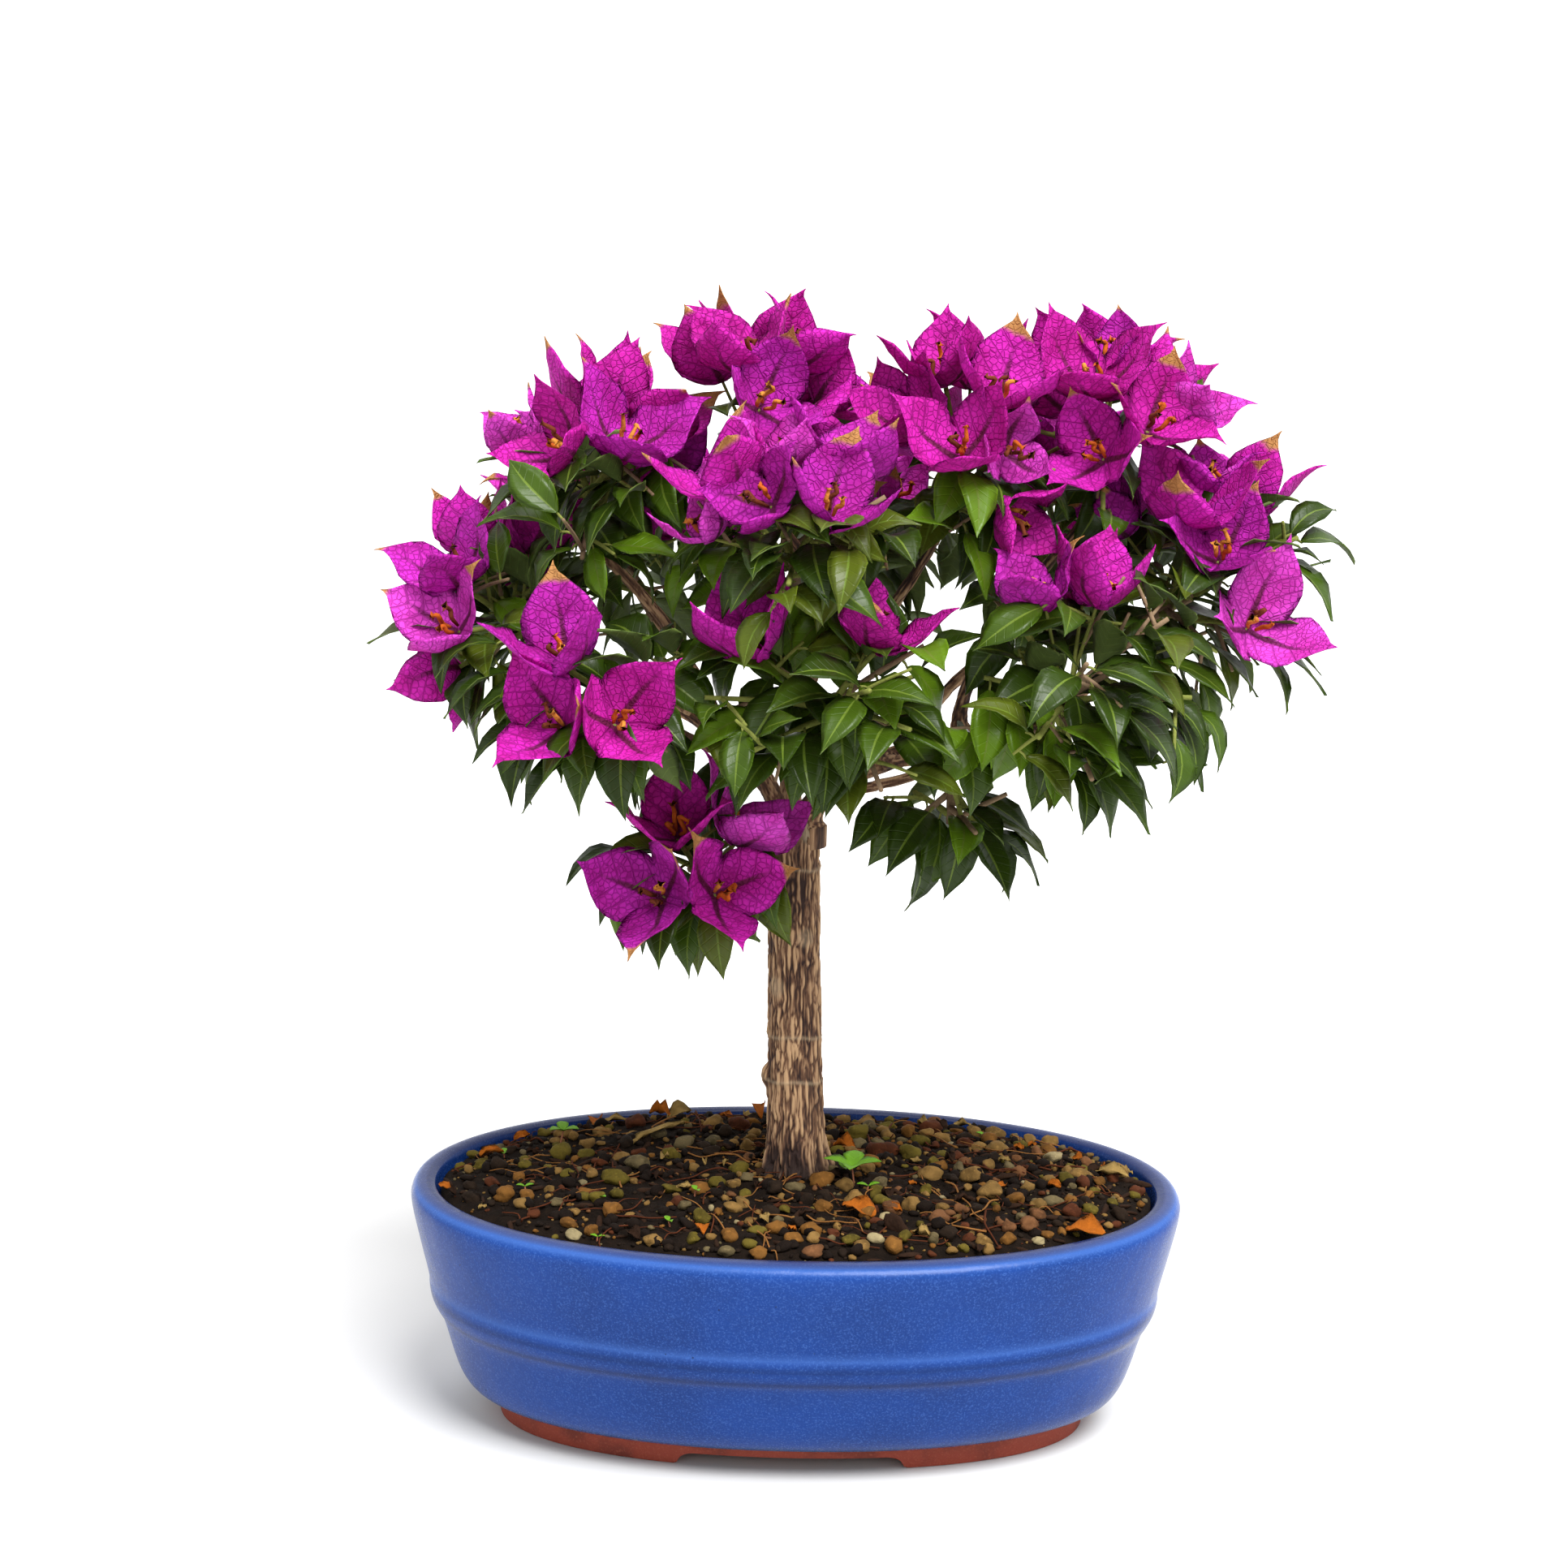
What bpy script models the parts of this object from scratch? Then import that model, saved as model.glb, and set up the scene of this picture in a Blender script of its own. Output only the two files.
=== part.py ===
"""A bougainvillea bonsai in its oval glazed pot, as closed solids a hair's breadth apart.

Metres, +Z up. The plant is drawn with the pot's centre at x = y = 0 and the ground at z = 0, and the last
step moves everything so that the middle of the whole outline stands over the origin.
"""

import math
import random

import bmesh
import bpy
import numpy as np
from mathutils import Vector
from mathutils.bvhtree import BVHTree

# Clearance between neighbouring solids
GAP = 0.0003

# Pot: an oval bowl, glazed outside, on an unglazed foot
POT_LENGTH = 0.255
POT_WIDTH = 0.163
POT_HEIGHT = 0.0817
OVAL_POWER = 2.12
POT_SEGMENTS = 40
SIDE_DRAFT = 1.1
WALL = 0.0086
BOWL_FLOOR = 0.0165
# The rounding of the rim's inner edge, how far the inner wall leans in by the floor, and its round corner
RIM_ROUNDING = (0.0012, 0.0016)
INNER_TAPER = 0.0105
INNER_ROUNDING = 0.0120
WALL_HEIGHTS = (0.060, 0.023)
FOOT_HEIGHT = 0.0075
FOOT_INSET = 0.0300
FOOT_RING = 0.0095
FOOT_PLATE = 0.0030
ARCH_WIDTH = 0.062
ARCH_SLANT = 0.005
ARCH_LIP = 0.0002
ARCH_OVERSHOOT = 0.002
# Height of each ring of the bowl's outside above the ground, and how far it lies inside the rim's edge
BOWL_PROFILE = (
    (0.0079, 0.0278),
    (0.0100, 0.0222),
    (0.0135, 0.0182),
    (0.0200, 0.0150),
    (0.0360, 0.0106),
    (0.0385, 0.0087),
    (0.0425, 0.0068),
    (0.0465, 0.0062),
    (0.0490, 0.0064),
    (0.0630, 0.0030),
    (0.0765, 0.0000),
    (0.0798, 0.0008),
    (POT_HEIGHT, 0.0034),
)

# Soil, heaped round the trunk
SOIL_EDGE = 0.0770
SOIL_CROWN = 0.0864
SOIL_RINGS = (0.92, 0.74, 0.54, 0.34)
SOIL_GAP = 0.00048
# Well under 1 the heap is broad and round-backed, over 1 it is peaked
SOIL_HEAP = 0.40
TRUNK_SEAT = 0.0160
# Broad swells of the heap: the middle's x and y, the reach and the rise
SOIL_SWELLS = (
    (-0.042, 0.048, 0.026, 0.0032),
    (-0.078, -0.020, 0.020, 0.0014),
    (0.070, 0.010, 0.024, 0.0016),
    (0.030, -0.052, 0.018, 0.0012),
)
# Clods: their rise, how far apart they are along x and y, and how much their rows wander
CLOD_RISE = 0.0009
CLOD_SPACING = (0.024, 0.021)
CLOD_WANDER = 0.9
# Stones that stand out of the soil: x, y, length and bearing in degrees
STONES = (
    (-0.060, -0.015, 0.0095, 20),
    (-0.079, 0.013, 0.0085, 60),
    (-0.095, -0.024, 0.0080, 130),
    (-0.059, -0.040, 0.0080, 80),
    (-0.038, 0.020, 0.0080, 40),
    (-0.066, 0.036, 0.0080, 100),
    (-0.031, -0.022, 0.0080, 30),
    (-0.030, -0.046, 0.0075, 110),
    (-0.020, 0.042, 0.0085, 70),
    (-0.006, -0.052, 0.0075, 160),
    (0.006, 0.058, 0.0080, 120),
    (0.021, 0.035, 0.0090, 50),
    (0.019, -0.031, 0.0090, 95),
    (0.044, -0.006, 0.0085, 5),
    (0.046, -0.042, 0.0080, 65),
    (0.046, 0.048, 0.0090, 35),
    (0.063, -0.018, 0.0095, 85),
    (0.068, 0.026, 0.0090, 125),
    (0.074, -0.042, 0.0080, 55),
    (0.094, 0.004, 0.0085, 145),
)
# A stone's width and its rise above the soil as shares of its length, how far it is sunk, and its sides
STONE_WIDTH = 0.78
STONE_RISE = 0.45
STONE_SINK = 0.0018
STONE_SIDES = 5
# How high its shoulder is and how wide there, as shares of its rise and its foot
STONE_SHOULDER = (0.62, 0.86)

# Trunk
TRUNK_TOP = 0.2030
TRUNK_FOOT_RADIUS = 0.0096
TRUNK_WAIST_RADIUS = 0.0085
TRUNK_FORK_RADIUS = 0.0092
# Where the straight taper ends and the fork's swelling starts, as shares of the trunk's height
WAIST_AT = 0.56
SWELLING_FROM = 0.67
ROOT_FLARE = 0.0036
ROOT_LOBES = 5
ROOT_LOBE_DEPTH = 0.38
ROOT_LOBE_TURN = 0.7
ROOT_HEIGHT = 0.0069
TRUNK_FOOT_X = -0.0004
TRUNK_LEAN = Vector((-0.0036, 0.0020, 0.0))
TRUNK_LEAN_POWER = 1.3
TRUNK_SIDES = 16
TRUNK_RINGS = 11
# Over 1 the trunk's rings stand closer together near the roots
TRUNK_RING_POWER = 1.6
FORK_SPREAD = 0.0052

# Foliage
LEAF_LENGTH = 0.031
LEAF_WIDTH = 0.0140
LEAF_THICKNESS = 0.0008
LEAF_FOLD = 0.16
LEAF_SINK = 0.0004
# Where along a leaf its search tree starts
GUARD_FROM = 0.14
BRACT_LENGTH = 0.031
BRACT_WIDTH = 0.0235
BRACT_THICKNESS = 0.0009
BRACT_FOLD = 0.02
BRACT_OPENING = (34, 44)
BRACT_SCALE = (0.92, 1.08)
# How far below its foot a bloom is sunk, the thickness above the foot, and where two bracts part
BLOOM_SINK = 0.0012
CUP_FLOOR = 0.0007
NOTCH = 0.22
BLOOM_INSET = 0.025
BLOOM_RISE = 0.80
BLOOM_TRIES = 24
BLOOM_STRAY = 0.07
BLOOM_SHRINK = 0.012
BLOOM_TWIG_LIFT = 0.06
CUP_ANCHORS = (0.008, 0.022)
STEM_RADIUS = 0.0023
STEM_TIP_RADIUS = 0.0018
TWIG_RADIUS = 0.0012
TWIG_TIP_RADIUS = 0.0009
TWIG_STEPS = 2
TWIG_BOW = 0.35
TWIG_LIFT = 0.05
TWIG_INSET = 0.016
TWIG_STRAY = 18
TWIG_SHARES = (1.0, 0.85, 0.7, 0.55, 0.4)
# The share of its stem that a mass's twigs leave from, counted back from the tip
TWIGGED_SHARE = 0.72
# Leafy twigs spread from this sine of the height above the middle down over this range
LEAFY_TOP = 0.72
LEAFY_RANGE = 1.5
# The widest place of a blade along its length
WIDEST = 0.42
LEAF_FROM = 0.24
LEAF_STEP = 0.0092
LEAF_TRIES = 3
LEAF_SCALE = (0.85, 1.12)
LEAF_STRAY = 0.2
# How strongly a leaf leans off its twig, along it and out of the crown
LEAF_LEAN = (0.9, 0.45, 0.55)
# How strongly its upper face looks out of the crown and off its twig, against upwards
LEAF_FACE = (0.75, 0.2)
TUFT_SPACING = (0.0, 0.0026)
TUFT_ROOM = 0.0018
LEAF_PROBES = (0.2, 0.42, 0.6, 0.8, 1.0)
SPACE_MARGIN = 0.0004
BLADE_ROOM = 0.0010
LIMB_PROBE = 0.0025
LIMB_ROOM = 0.0014
DROOP = (0.15, 0.75)
DROOP_FROM = 0.335
DROOP_DEPTH = 0.11
GOLDEN_ANGLE = math.radians(137.5)
CROWN_CENTRE = Vector((0.012, 0.005, 0.262))

# Colours as linear red, green and blue, with roughness
GLAZE = ((0.05, 0.11, 0.45), 0.25)
TERRACOTTA = ((0.34, 0.08, 0.04), 0.85)
EARTH = ((0.035, 0.022, 0.014), 0.95)
BARK = ((0.26, 0.18, 0.12), 0.9)
BOUGH_BARK = ((0.22, 0.17, 0.11), 0.9)
FOLIAGE = ((0.30, 0.02, 0.24), 0.6)


def clear_scene():
    """Removes whatever the scene starts with."""
    for thing in list(bpy.data.objects):
        bpy.data.objects.remove(thing)


def finish(name, colour):
    """A plain Principled material from a colour and a roughness."""
    material = bpy.data.materials.new(name)
    material.use_nodes = True
    shader = material.node_tree.nodes["Principled BSDF"]
    shader.inputs["Base Color"].default_value = (*colour[0], 1.0)
    shader.inputs["Roughness"].default_value = colour[1]
    shader.inputs["Metallic"].default_value = 0.0
    return material


def add_object(name, mesh, material=None, collection=None):
    """Links a mesh to the scene, or to a collection, under a name."""
    thing = bpy.data.objects.new(name, mesh)
    (collection or bpy.context.scene.collection).objects.link(thing)
    if material:
        mesh.materials.append(material)
    return thing


def mesh_of(name, points, faces):
    """A mesh from points and faces, its normals turned outwards."""
    mesh = bpy.data.meshes.new(name)
    mesh.from_pydata([tuple(p) for p in points], [], faces)
    shape = bmesh.new()
    shape.from_mesh(mesh)
    bmesh.ops.recalc_face_normals(shape, faces=shape.faces)
    shape.to_mesh(mesh)
    shape.free()
    return mesh


def skin(name, rings):
    """A closed mesh through rings of equal count, with a flat cap on the first and the last."""
    count = len(rings[0])
    points = [p for ring in rings for p in ring]
    faces = [tuple(range(count)), tuple(range(len(points) - count, len(points)))]
    for low in range(0, len(points) - count, count):
        for i in range(count):
            j = (i + 1) % count
            faces.append((low + i, low + j, low + count + j, low + count + i))
    return mesh_of(name, points, faces)


def smooth(mesh, angle):
    """Shades a mesh smooth up to a crease angle in degrees."""
    mesh.shade_smooth()
    mesh.set_sharp_from_angle(angle=math.radians(angle))


def oval(inset, height, segments=POT_SEGMENTS):
    """The pot's outline drawn in by an inset, as a ring of points at a height."""
    half_length = POT_LENGTH / 2 - inset
    half_width = POT_WIDTH / 2 - inset * SIDE_DRAFT
    ring = []
    for i in range(segments):
        turn = 2 * math.pi * i / segments
        c, s = math.cos(turn), math.sin(turn)
        x = half_length * math.copysign(abs(c) ** (2 / OVAL_POWER), c)
        y = half_width * math.copysign(abs(s) ** (2 / OVAL_POWER), s)
        ring.append(Vector((x, y, height)))
    return ring


def inner_inset(height):
    """How far inside the rim's edge the bowl's inner wall lies at a height."""
    share = (POT_HEIGHT - height) / (POT_HEIGHT - BOWL_FLOOR)
    return WALL + INNER_TAPER * share + INNER_ROUNDING * share**8


def build_bowl():
    """The glazed bowl, open at the top."""
    rings = [oval(inset, height) for height, inset in BOWL_PROFILE]
    rings.append(oval(WALL - RIM_ROUNDING[0], POT_HEIGHT))
    for height in (POT_HEIGHT - RIM_ROUNDING[1], *WALL_HEIGHTS, BOWL_FLOOR):
        rings.append(oval(inner_inset(height), height))
    mesh = skin("pot_bowl", rings)
    smooth(mesh, 40)
    return add_object("pot_bowl", mesh, finish("blue_glaze", GLAZE))


def prism(name, outline, low, high):
    """A closed prism between two values of y, from an outline of (x, z) pairs."""
    return skin(name, [[Vector((x, y, z)) for x, z in outline] for y in (low, high)])


def build_foot():
    """The unglazed foot: a thin base plate on a ring that is arched at the front and back."""
    top = FOOT_HEIGHT
    under_plate = top - FOOT_PLATE
    bottom = oval(FOOT_INSET, 0.0)
    rings = [
        oval(FOOT_INSET + FOOT_RING, under_plate),
        oval(FOOT_INSET + FOOT_RING, 0.0),
        bottom,
        oval(FOOT_INSET, top),
    ]
    foot = add_object("pot_foot", skin("pot_foot", rings), finish("terracotta", TERRACOTTA))
    half = ARCH_WIDTH / 2
    outline = (
        (-half - ARCH_SLANT, -ARCH_OVERSHOOT),
        (half + ARCH_SLANT, -ARCH_OVERSHOOT),
        (half, under_plate - ARCH_LIP),
        (-half, under_plate - ARCH_LIP),
    )
    cutter = add_object("arch_cutter", prism("arch_cutter", outline, -POT_WIDTH, POT_WIDTH))
    cutter.hide_render = True
    cutter.display_type = "WIRE"
    arch = foot.modifiers.new("arch", "BOOLEAN")
    arch.operation = "DIFFERENCE"
    arch.object = cutter
    return foot


def soil_share(x, y):
    """How far out a place is, from 0 in the middle to 1 at the soil's edge."""
    inset = inner_inset(SOIL_EDGE) + SOIL_GAP
    across = abs(x / (POT_LENGTH / 2 - inset)) ** OVAL_POWER
    deep = abs(y / (POT_WIDTH / 2 - inset * SIDE_DRAFT)) ** OVAL_POWER
    return (across + deep) ** (1 / OVAL_POWER)


def soil_height(x, y):
    """The height of the soil's surface at a place: a broad heap with swells and clods, flat at its edge."""
    slope = math.cos(min(soil_share(x, y), 1.0) * math.pi / 2) ** SOIL_HEAP
    lift = (SOIL_CROWN - GAP - SOIL_EDGE) * slope
    for middle_x, middle_y, reach, rise in SOIL_SWELLS:
        lift += rise * slope * math.exp(-((x - middle_x) ** 2 + (y - middle_y) ** 2) / reach**2)
    row = 2 * math.pi * x / CLOD_SPACING[0] + CLOD_WANDER * math.sin(math.pi * y / CLOD_SPACING[1])
    column = 2 * math.pi * y / CLOD_SPACING[1] + CLOD_WANDER * math.sin(math.pi * x / CLOD_SPACING[0])
    return SOIL_EDGE + lift + CLOD_RISE * slope * math.sin(row) * math.sin(column)


def build_stone(x, y, length, bearing, collection):
    """One stone, sunk into the soil by its foot."""
    ground = Vector((x, y, soil_height(x, y)))
    rise = length * STONE_RISE
    turn = math.radians(bearing)
    heading = Vector((math.cos(turn), math.sin(turn), 0))
    side = Vector((-math.sin(turn), math.cos(turn), 0))
    points = []
    for height, girth in ((-STONE_SINK, 1.0), (rise * STONE_SHOULDER[0], STONE_SHOULDER[1])):
        for i in range(STONE_SIDES):
            corner = 2 * math.pi * i / STONE_SIDES
            along = length / 2 * girth * math.cos(corner)
            across = length / 2 * girth * STONE_WIDTH * math.sin(corner)
            points.append(ground + heading * along + side * across + Vector((0, 0, height)))
    points.append(ground + Vector((0, 0, rise)))
    faces = [tuple(range(STONE_SIDES))]
    for i in range(STONE_SIDES):
        j = (i + 1) % STONE_SIDES
        faces.append((i, j, STONE_SIDES + j, STONE_SIDES + i))
        faces.append((STONE_SIDES + i, STONE_SIDES + j, len(points) - 1))
    add_object("stone", mesh_of("stone", points, faces), collection=collection)


def build_soil():
    """The soil that fills the bowl, heaped towards the trunk's flat seat, with its main stones fused to it."""
    rings = []
    for height in (BOWL_FLOOR + GAP, *reversed(WALL_HEIGHTS), SOIL_EDGE):
        rings.append(oval(inner_inset(height) + SOIL_GAP, height))
    edge = rings[-1]
    for share in SOIL_RINGS:
        spots = [(p.x * share, p.y * share) for p in edge]
        rings.append([Vector((x, y, soil_height(x, y))) for x, y in spots])
    seat = []
    for i in range(POT_SEGMENTS):
        turn = 2 * math.pi * i / POT_SEGMENTS
        x, y = TRUNK_SEAT * math.cos(turn), TRUNK_SEAT * math.sin(turn)
        seat.append(Vector((x, y, SOIL_CROWN - GAP)))
    rings.append(seat)
    stones = bpy.data.collections.new("stones")
    bpy.context.scene.collection.children.link(stones)
    for stone in STONES:
        build_stone(*stone, stones)
    soil = fuse("soil", add_object("soil", skin("soil", rings)), stones, finish("earth", EARTH))
    smooth(soil.data, 40)


class Limb:
    """One tapering limb along a quadratic curve, from a foot with a heading to a tip."""

    def __init__(self, name, foot, heading, tip, radii, bow):
        self.name = name
        self.foot = foot
        self.tip = Vector(tip)
        self.control = foot + heading * bow
        self.radii = radii

    def point(self, t):
        return self.foot * (1 - t) ** 2 + self.control * 2 * t * (1 - t) + self.tip * t**2

    def tangent(self, t):
        along = (self.control - self.foot) * (1 - t) + (self.tip - self.control) * t
        return along.normalized()

    def radius(self, t):
        return self.radii[0] + (self.radii[1] - self.radii[0]) * t

    def side(self, t, towards):
        """The heading at right angles to the limb at t that points most towards a place."""
        along = self.tangent(t)
        out = Vector(towards) - self.point(t)
        return (out - along * out.dot(along)).normalized()


def trunk_point(t):
    """The trunk's axis, from its flat cut at t = 0 to its fork at t = 1."""
    foot = Vector((TRUNK_FOOT_X, 0.0, SOIL_CROWN))
    return foot + TRUNK_LEAN * t**TRUNK_LEAN_POWER + Vector((0, 0, TRUNK_TOP - SOIL_CROWN)) * t


def trunk_radius(t):
    """The trunk's radius without its root flare: a slow taper, then a swelling at the fork."""
    slim = TRUNK_FOOT_RADIUS + (TRUNK_WAIST_RADIUS - TRUNK_FOOT_RADIUS) * min(1.0, t / WAIST_AT)
    swell = max(0.0, (t - SWELLING_FROM) / (1 - SWELLING_FROM))
    return slim + (TRUNK_FORK_RADIUS - TRUNK_WAIST_RADIUS) * swell**2


def build_trunk():
    """The trunk, with root lobes that flare at its flat cut."""
    rings = []
    for k in range(TRUNK_RINGS):
        t = (k / (TRUNK_RINGS - 1)) ** TRUNK_RING_POWER
        centre = trunk_point(t)
        flare = ROOT_FLARE * math.exp(-(centre.z - SOIL_CROWN) / ROOT_HEIGHT)
        ring = []
        for i in range(TRUNK_SIDES):
            turn = 2 * math.pi * i / TRUNK_SIDES
            lobe = 1 - ROOT_LOBE_DEPTH * (1 - math.cos(ROOT_LOBES * turn + ROOT_LOBE_TURN))
            radius = trunk_radius(t) + flare * lobe
            ring.append(centre + Vector((math.cos(turn), math.sin(turn), 0)) * radius)
        rings.append(ring)
    mesh = skin("trunk", rings)
    smooth(mesh, 50)
    return add_object("trunk", mesh, finish("bark", BARK))


# Main boughs, which stand on the fork's flat top: bearing there, tip, radii and bow
MAIN_BOUGHS = {
    "bough_right": (-15, (0.068, 0.004, 0.236), (0.0042, 0.0032), 0.020),
    "bough_centre": (100, (0.004, 0.010, 0.268), (0.0034, 0.0026), 0.030),
    "bough_left": (215, (-0.052, 0.004, 0.247), (0.0034, 0.0026), 0.022),
}
# Side boughs: the bough that carries it, where along that (1 is its tip), tip, radii and bow
SIDE_BOUGHS = {
    "bough_far_right": ("bough_right", 1.0, (0.100, -0.002, 0.266), (0.0030, 0.0020), 0.016),
    "bough_right_top": ("bough_right", 0.86, (0.088, 0.002, 0.306), (0.0024, 0.0016), 0.018),
    "bough_right_front": ("bough_right", 0.62, (0.072, -0.036, 0.246), (0.0022, 0.0016), 0.016),
    "bough_back_right": ("bough_right", 0.74, (0.074, 0.042, 0.264), (0.0022, 0.0016), 0.016),
    "bough_under_right": ("bough_right", 0.42, (0.041, -0.013, 0.226), (0.0018, 0.0015), 0.005),
    "bough_left_crest": ("bough_centre", 1.0, (-0.010, 0.006, 0.300), (0.0024, 0.0016), 0.012),
    "bough_right_crest": ("bough_centre", 0.86, (0.040, -0.006, 0.300), (0.0024, 0.0016), 0.016),
    "bough_front_top": ("bough_centre", 0.72, (-0.004, -0.034, 0.284), (0.0020, 0.0015), 0.016),
    "bough_front": ("bough_centre", 0.42, (0.014, -0.038, 0.246), (0.0020, 0.0015), 0.014),
    "bough_back": ("bough_centre", 0.58, (0.008, 0.050, 0.268), (0.0022, 0.0016), 0.014),
    "bough_far_left": ("bough_left", 1.0, (-0.078, 0.000, 0.262), (0.0024, 0.0016), 0.012),
    "bough_left_top": ("bough_left", 0.84, (-0.066, 0.002, 0.290), (0.0022, 0.0016), 0.016),
    "bough_left_front": ("bough_left", 0.58, (-0.050, -0.034, 0.246), (0.0020, 0.0015), 0.014),
    "bough_back_left": ("bough_left", 0.72, (-0.052, 0.042, 0.264), (0.0020, 0.0015), 0.014),
}


def grow_limbs():
    """Every bough as a Limb, each 0.3 mm clear of what carries it."""
    limbs = {}
    fork = trunk_point(1)
    for name, (bearing, tip, radii, bow) in MAIN_BOUGHS.items():
        turn = math.radians(bearing)
        offset = Vector((math.cos(turn), math.sin(turn), 0)) * FORK_SPREAD
        foot = fork + offset + Vector((0, 0, GAP))
        limbs[name] = Limb(name, foot, Vector((0, 0, 1)), tip, radii, bow)
    for name, (carrier, at, tip, radii, bow) in SIDE_BOUGHS.items():
        limb = limbs[carrier]
        if at == 1.0:
            heading = limb.tangent(1)
            foot = limb.tip + heading * GAP
        else:
            heading = limb.side(at, tip)
            foot = limb.point(at) + heading * (limb.radius(at) + GAP)
        limbs[name] = Limb(name, foot, heading, tip, radii, bow)
    return limbs


def tube_rings(points, radii, sides):
    """Rings of a tube along a line of points, carried without twist."""
    rings = []
    along = (points[1] - points[0]).normalized()
    reference = along.orthogonal().normalized()
    for i, point in enumerate(points):
        before, after = points[max(i - 1, 0)], points[min(i + 1, len(points) - 1)]
        along = (after - before).normalized()
        reference = (reference - along * reference.dot(along)).normalized()
        across = along.cross(reference)
        ring = []
        for k in range(sides):
            turn = 2 * math.pi * k / sides
            ring.append(point + (reference * math.cos(turn) + across * math.sin(turn)) * radii[i])
        rings.append(ring)
    return rings


def build_limb(limb, material):
    """A bough's solid, its foot cut square to its heading."""
    steps, sides = (6, 8) if limb.name in MAIN_BOUGHS else (4, 5)
    shares = [i / steps for i in range(steps + 1)]
    points = [limb.point(t) for t in shares]
    rings = tube_rings(points, [limb.radius(t) for t in shares], sides)
    for end, t in ((0, 0.0), (steps, 1.0)):
        heading, centre = limb.tangent(t), points[end]
        rings[end] = [p - heading * heading.dot(p - centre) for p in rings[end]]
    mesh = skin(limb.name, rings)
    smooth(mesh, 60)
    return add_object(limb.name, mesh, material)


class Mass:
    """A mass of foliage: its middle, its reach each way, its share of the leafy twigs and its blooms.

    A bloom is a bearing, from +X round to +Y, and a height above the middle, both in degrees.
    """

    def __init__(self, carrier, middle, reach, leafy_twigs, blooms):
        self.carrier = carrier
        self.middle = Vector(middle)
        self.reach = Vector(reach)
        self.leafy_twigs = leafy_twigs
        self.blooms = blooms

    def shell(self, bearing, height, inset):
        """The point of its outline, drawn in by an inset, in a direction."""
        out = heading_of(bearing, height)
        return self.middle + Vector([(r - inset) * o for r, o in zip(self.reach, out)])

    def holds(self, point):
        """Whether a point is inside its outline."""
        off = point - self.middle
        return Vector([o / r for o, r in zip(off, self.reach)]).length <= 1.0

    def outward(self, point):
        """The way straight out of its outline near a point."""
        off = point - self.middle
        return Vector([o / (r * r) for o, r in zip(off, self.reach)]).normalized()


def heading_of(bearing, height):
    """A unit vector from a bearing and a height in degrees."""
    turn, rise = math.radians(bearing), math.radians(height)
    flat = math.cos(rise)
    return Vector((math.cos(turn) * flat, math.sin(turn) * flat, math.sin(rise)))


MASSES = {
    "foliage_far_right": Mass(
        "bough_far_right", (0.122, -0.004, 0.282), (0.054, 0.056, 0.056), 4,
        ((260, 55), (280, 30), (300, -10), (70, 20)),
    ),
    "foliage_right_top": Mass(
        "bough_right_top", (0.092, 0.002, 0.330), (0.046, 0.052, 0.048), 3,
        ((250, 45), (305, 15), (265, -5), (80, 40)),
    ),
    "foliage_right_crest": Mass(
        "bough_right_crest", (0.048, -0.014, 0.322), (0.042, 0.054, 0.054), 2,
        ((260, 15), (180, 65), (310, 50), (310, 20), (305, -15)),
    ),
    "foliage_left_crest": Mass(
        "bough_left_crest", (-0.016, 0.006, 0.326), (0.044, 0.050, 0.053), 2,
        ((230, 60), (340, 60), (265, 30), (315, 15), (90, 45)),
    ),
    "foliage_front_top": Mass(
        "bough_front_top", (-0.006, -0.056, 0.300), (0.050, 0.050, 0.052), 5,
        ((300, 35), (250, 45), (195, 45), (20, 60)),
    ),
    "foliage_left_top": Mass(
        "bough_left_top", (-0.070, 0.000, 0.312), (0.048, 0.054, 0.048), 3,
        ((305, 35), (255, 40), (230, 10), (0, 40), (90, 50)),
    ),
    "foliage_far_left": Mass(
        "bough_far_left", (-0.096, -0.002, 0.268), (0.048, 0.058, 0.048), 4,
        ((220, 40), (235, 5), (230, -25), (110, 10)),
    ),
    "foliage_left_front": Mass(
        "bough_left_front", (-0.062, -0.056, 0.256), (0.048, 0.048, 0.046), 6,
        ((235, 35), (240, -15), (280, -10)),
    ),
    "foliage_front": Mass(
        "bough_front", (0.006, -0.062, 0.256), (0.054, 0.048, 0.046), 11, ((340, 60), (190, 45))
    ),
    "foliage_right_front": Mass(
        "bough_right_front", (0.080, -0.058, 0.262), (0.054, 0.050, 0.052), 12, ()
    ),
    "foliage_under_right": Mass(
        "bough_under_right", (0.046, -0.028, 0.212), (0.038, 0.036, 0.034), 6, ()
    ),
    "foliage_back_right": Mass(
        "bough_back_right", (0.080, 0.054, 0.284), (0.056, 0.056, 0.058), 4,
        ((60, 45), (110, 15), (20, 25), (75, -15)),
    ),
    "foliage_back": Mass(
        "bough_back", (0.010, 0.064, 0.286), (0.052, 0.052, 0.060), 4,
        ((60, 50), (120, 45), (90, 10), (50, 5)),
    ),
    "foliage_back_left": Mass(
        "bough_back_left", (-0.062, 0.054, 0.282), (0.056, 0.056, 0.056), 4,
        ((100, 50), (150, 25), (120, 0), (160, -20)),
    ),
    "foliage_low_left": Mass(
        "trunk", (-0.036, -0.030, 0.196), (0.042, 0.042, 0.040), 4,
        ((250, 50), (350, 35), (240, -25), (300, -20)),
    ),
}
LOW_SPRAY_AT = 0.86


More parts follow.
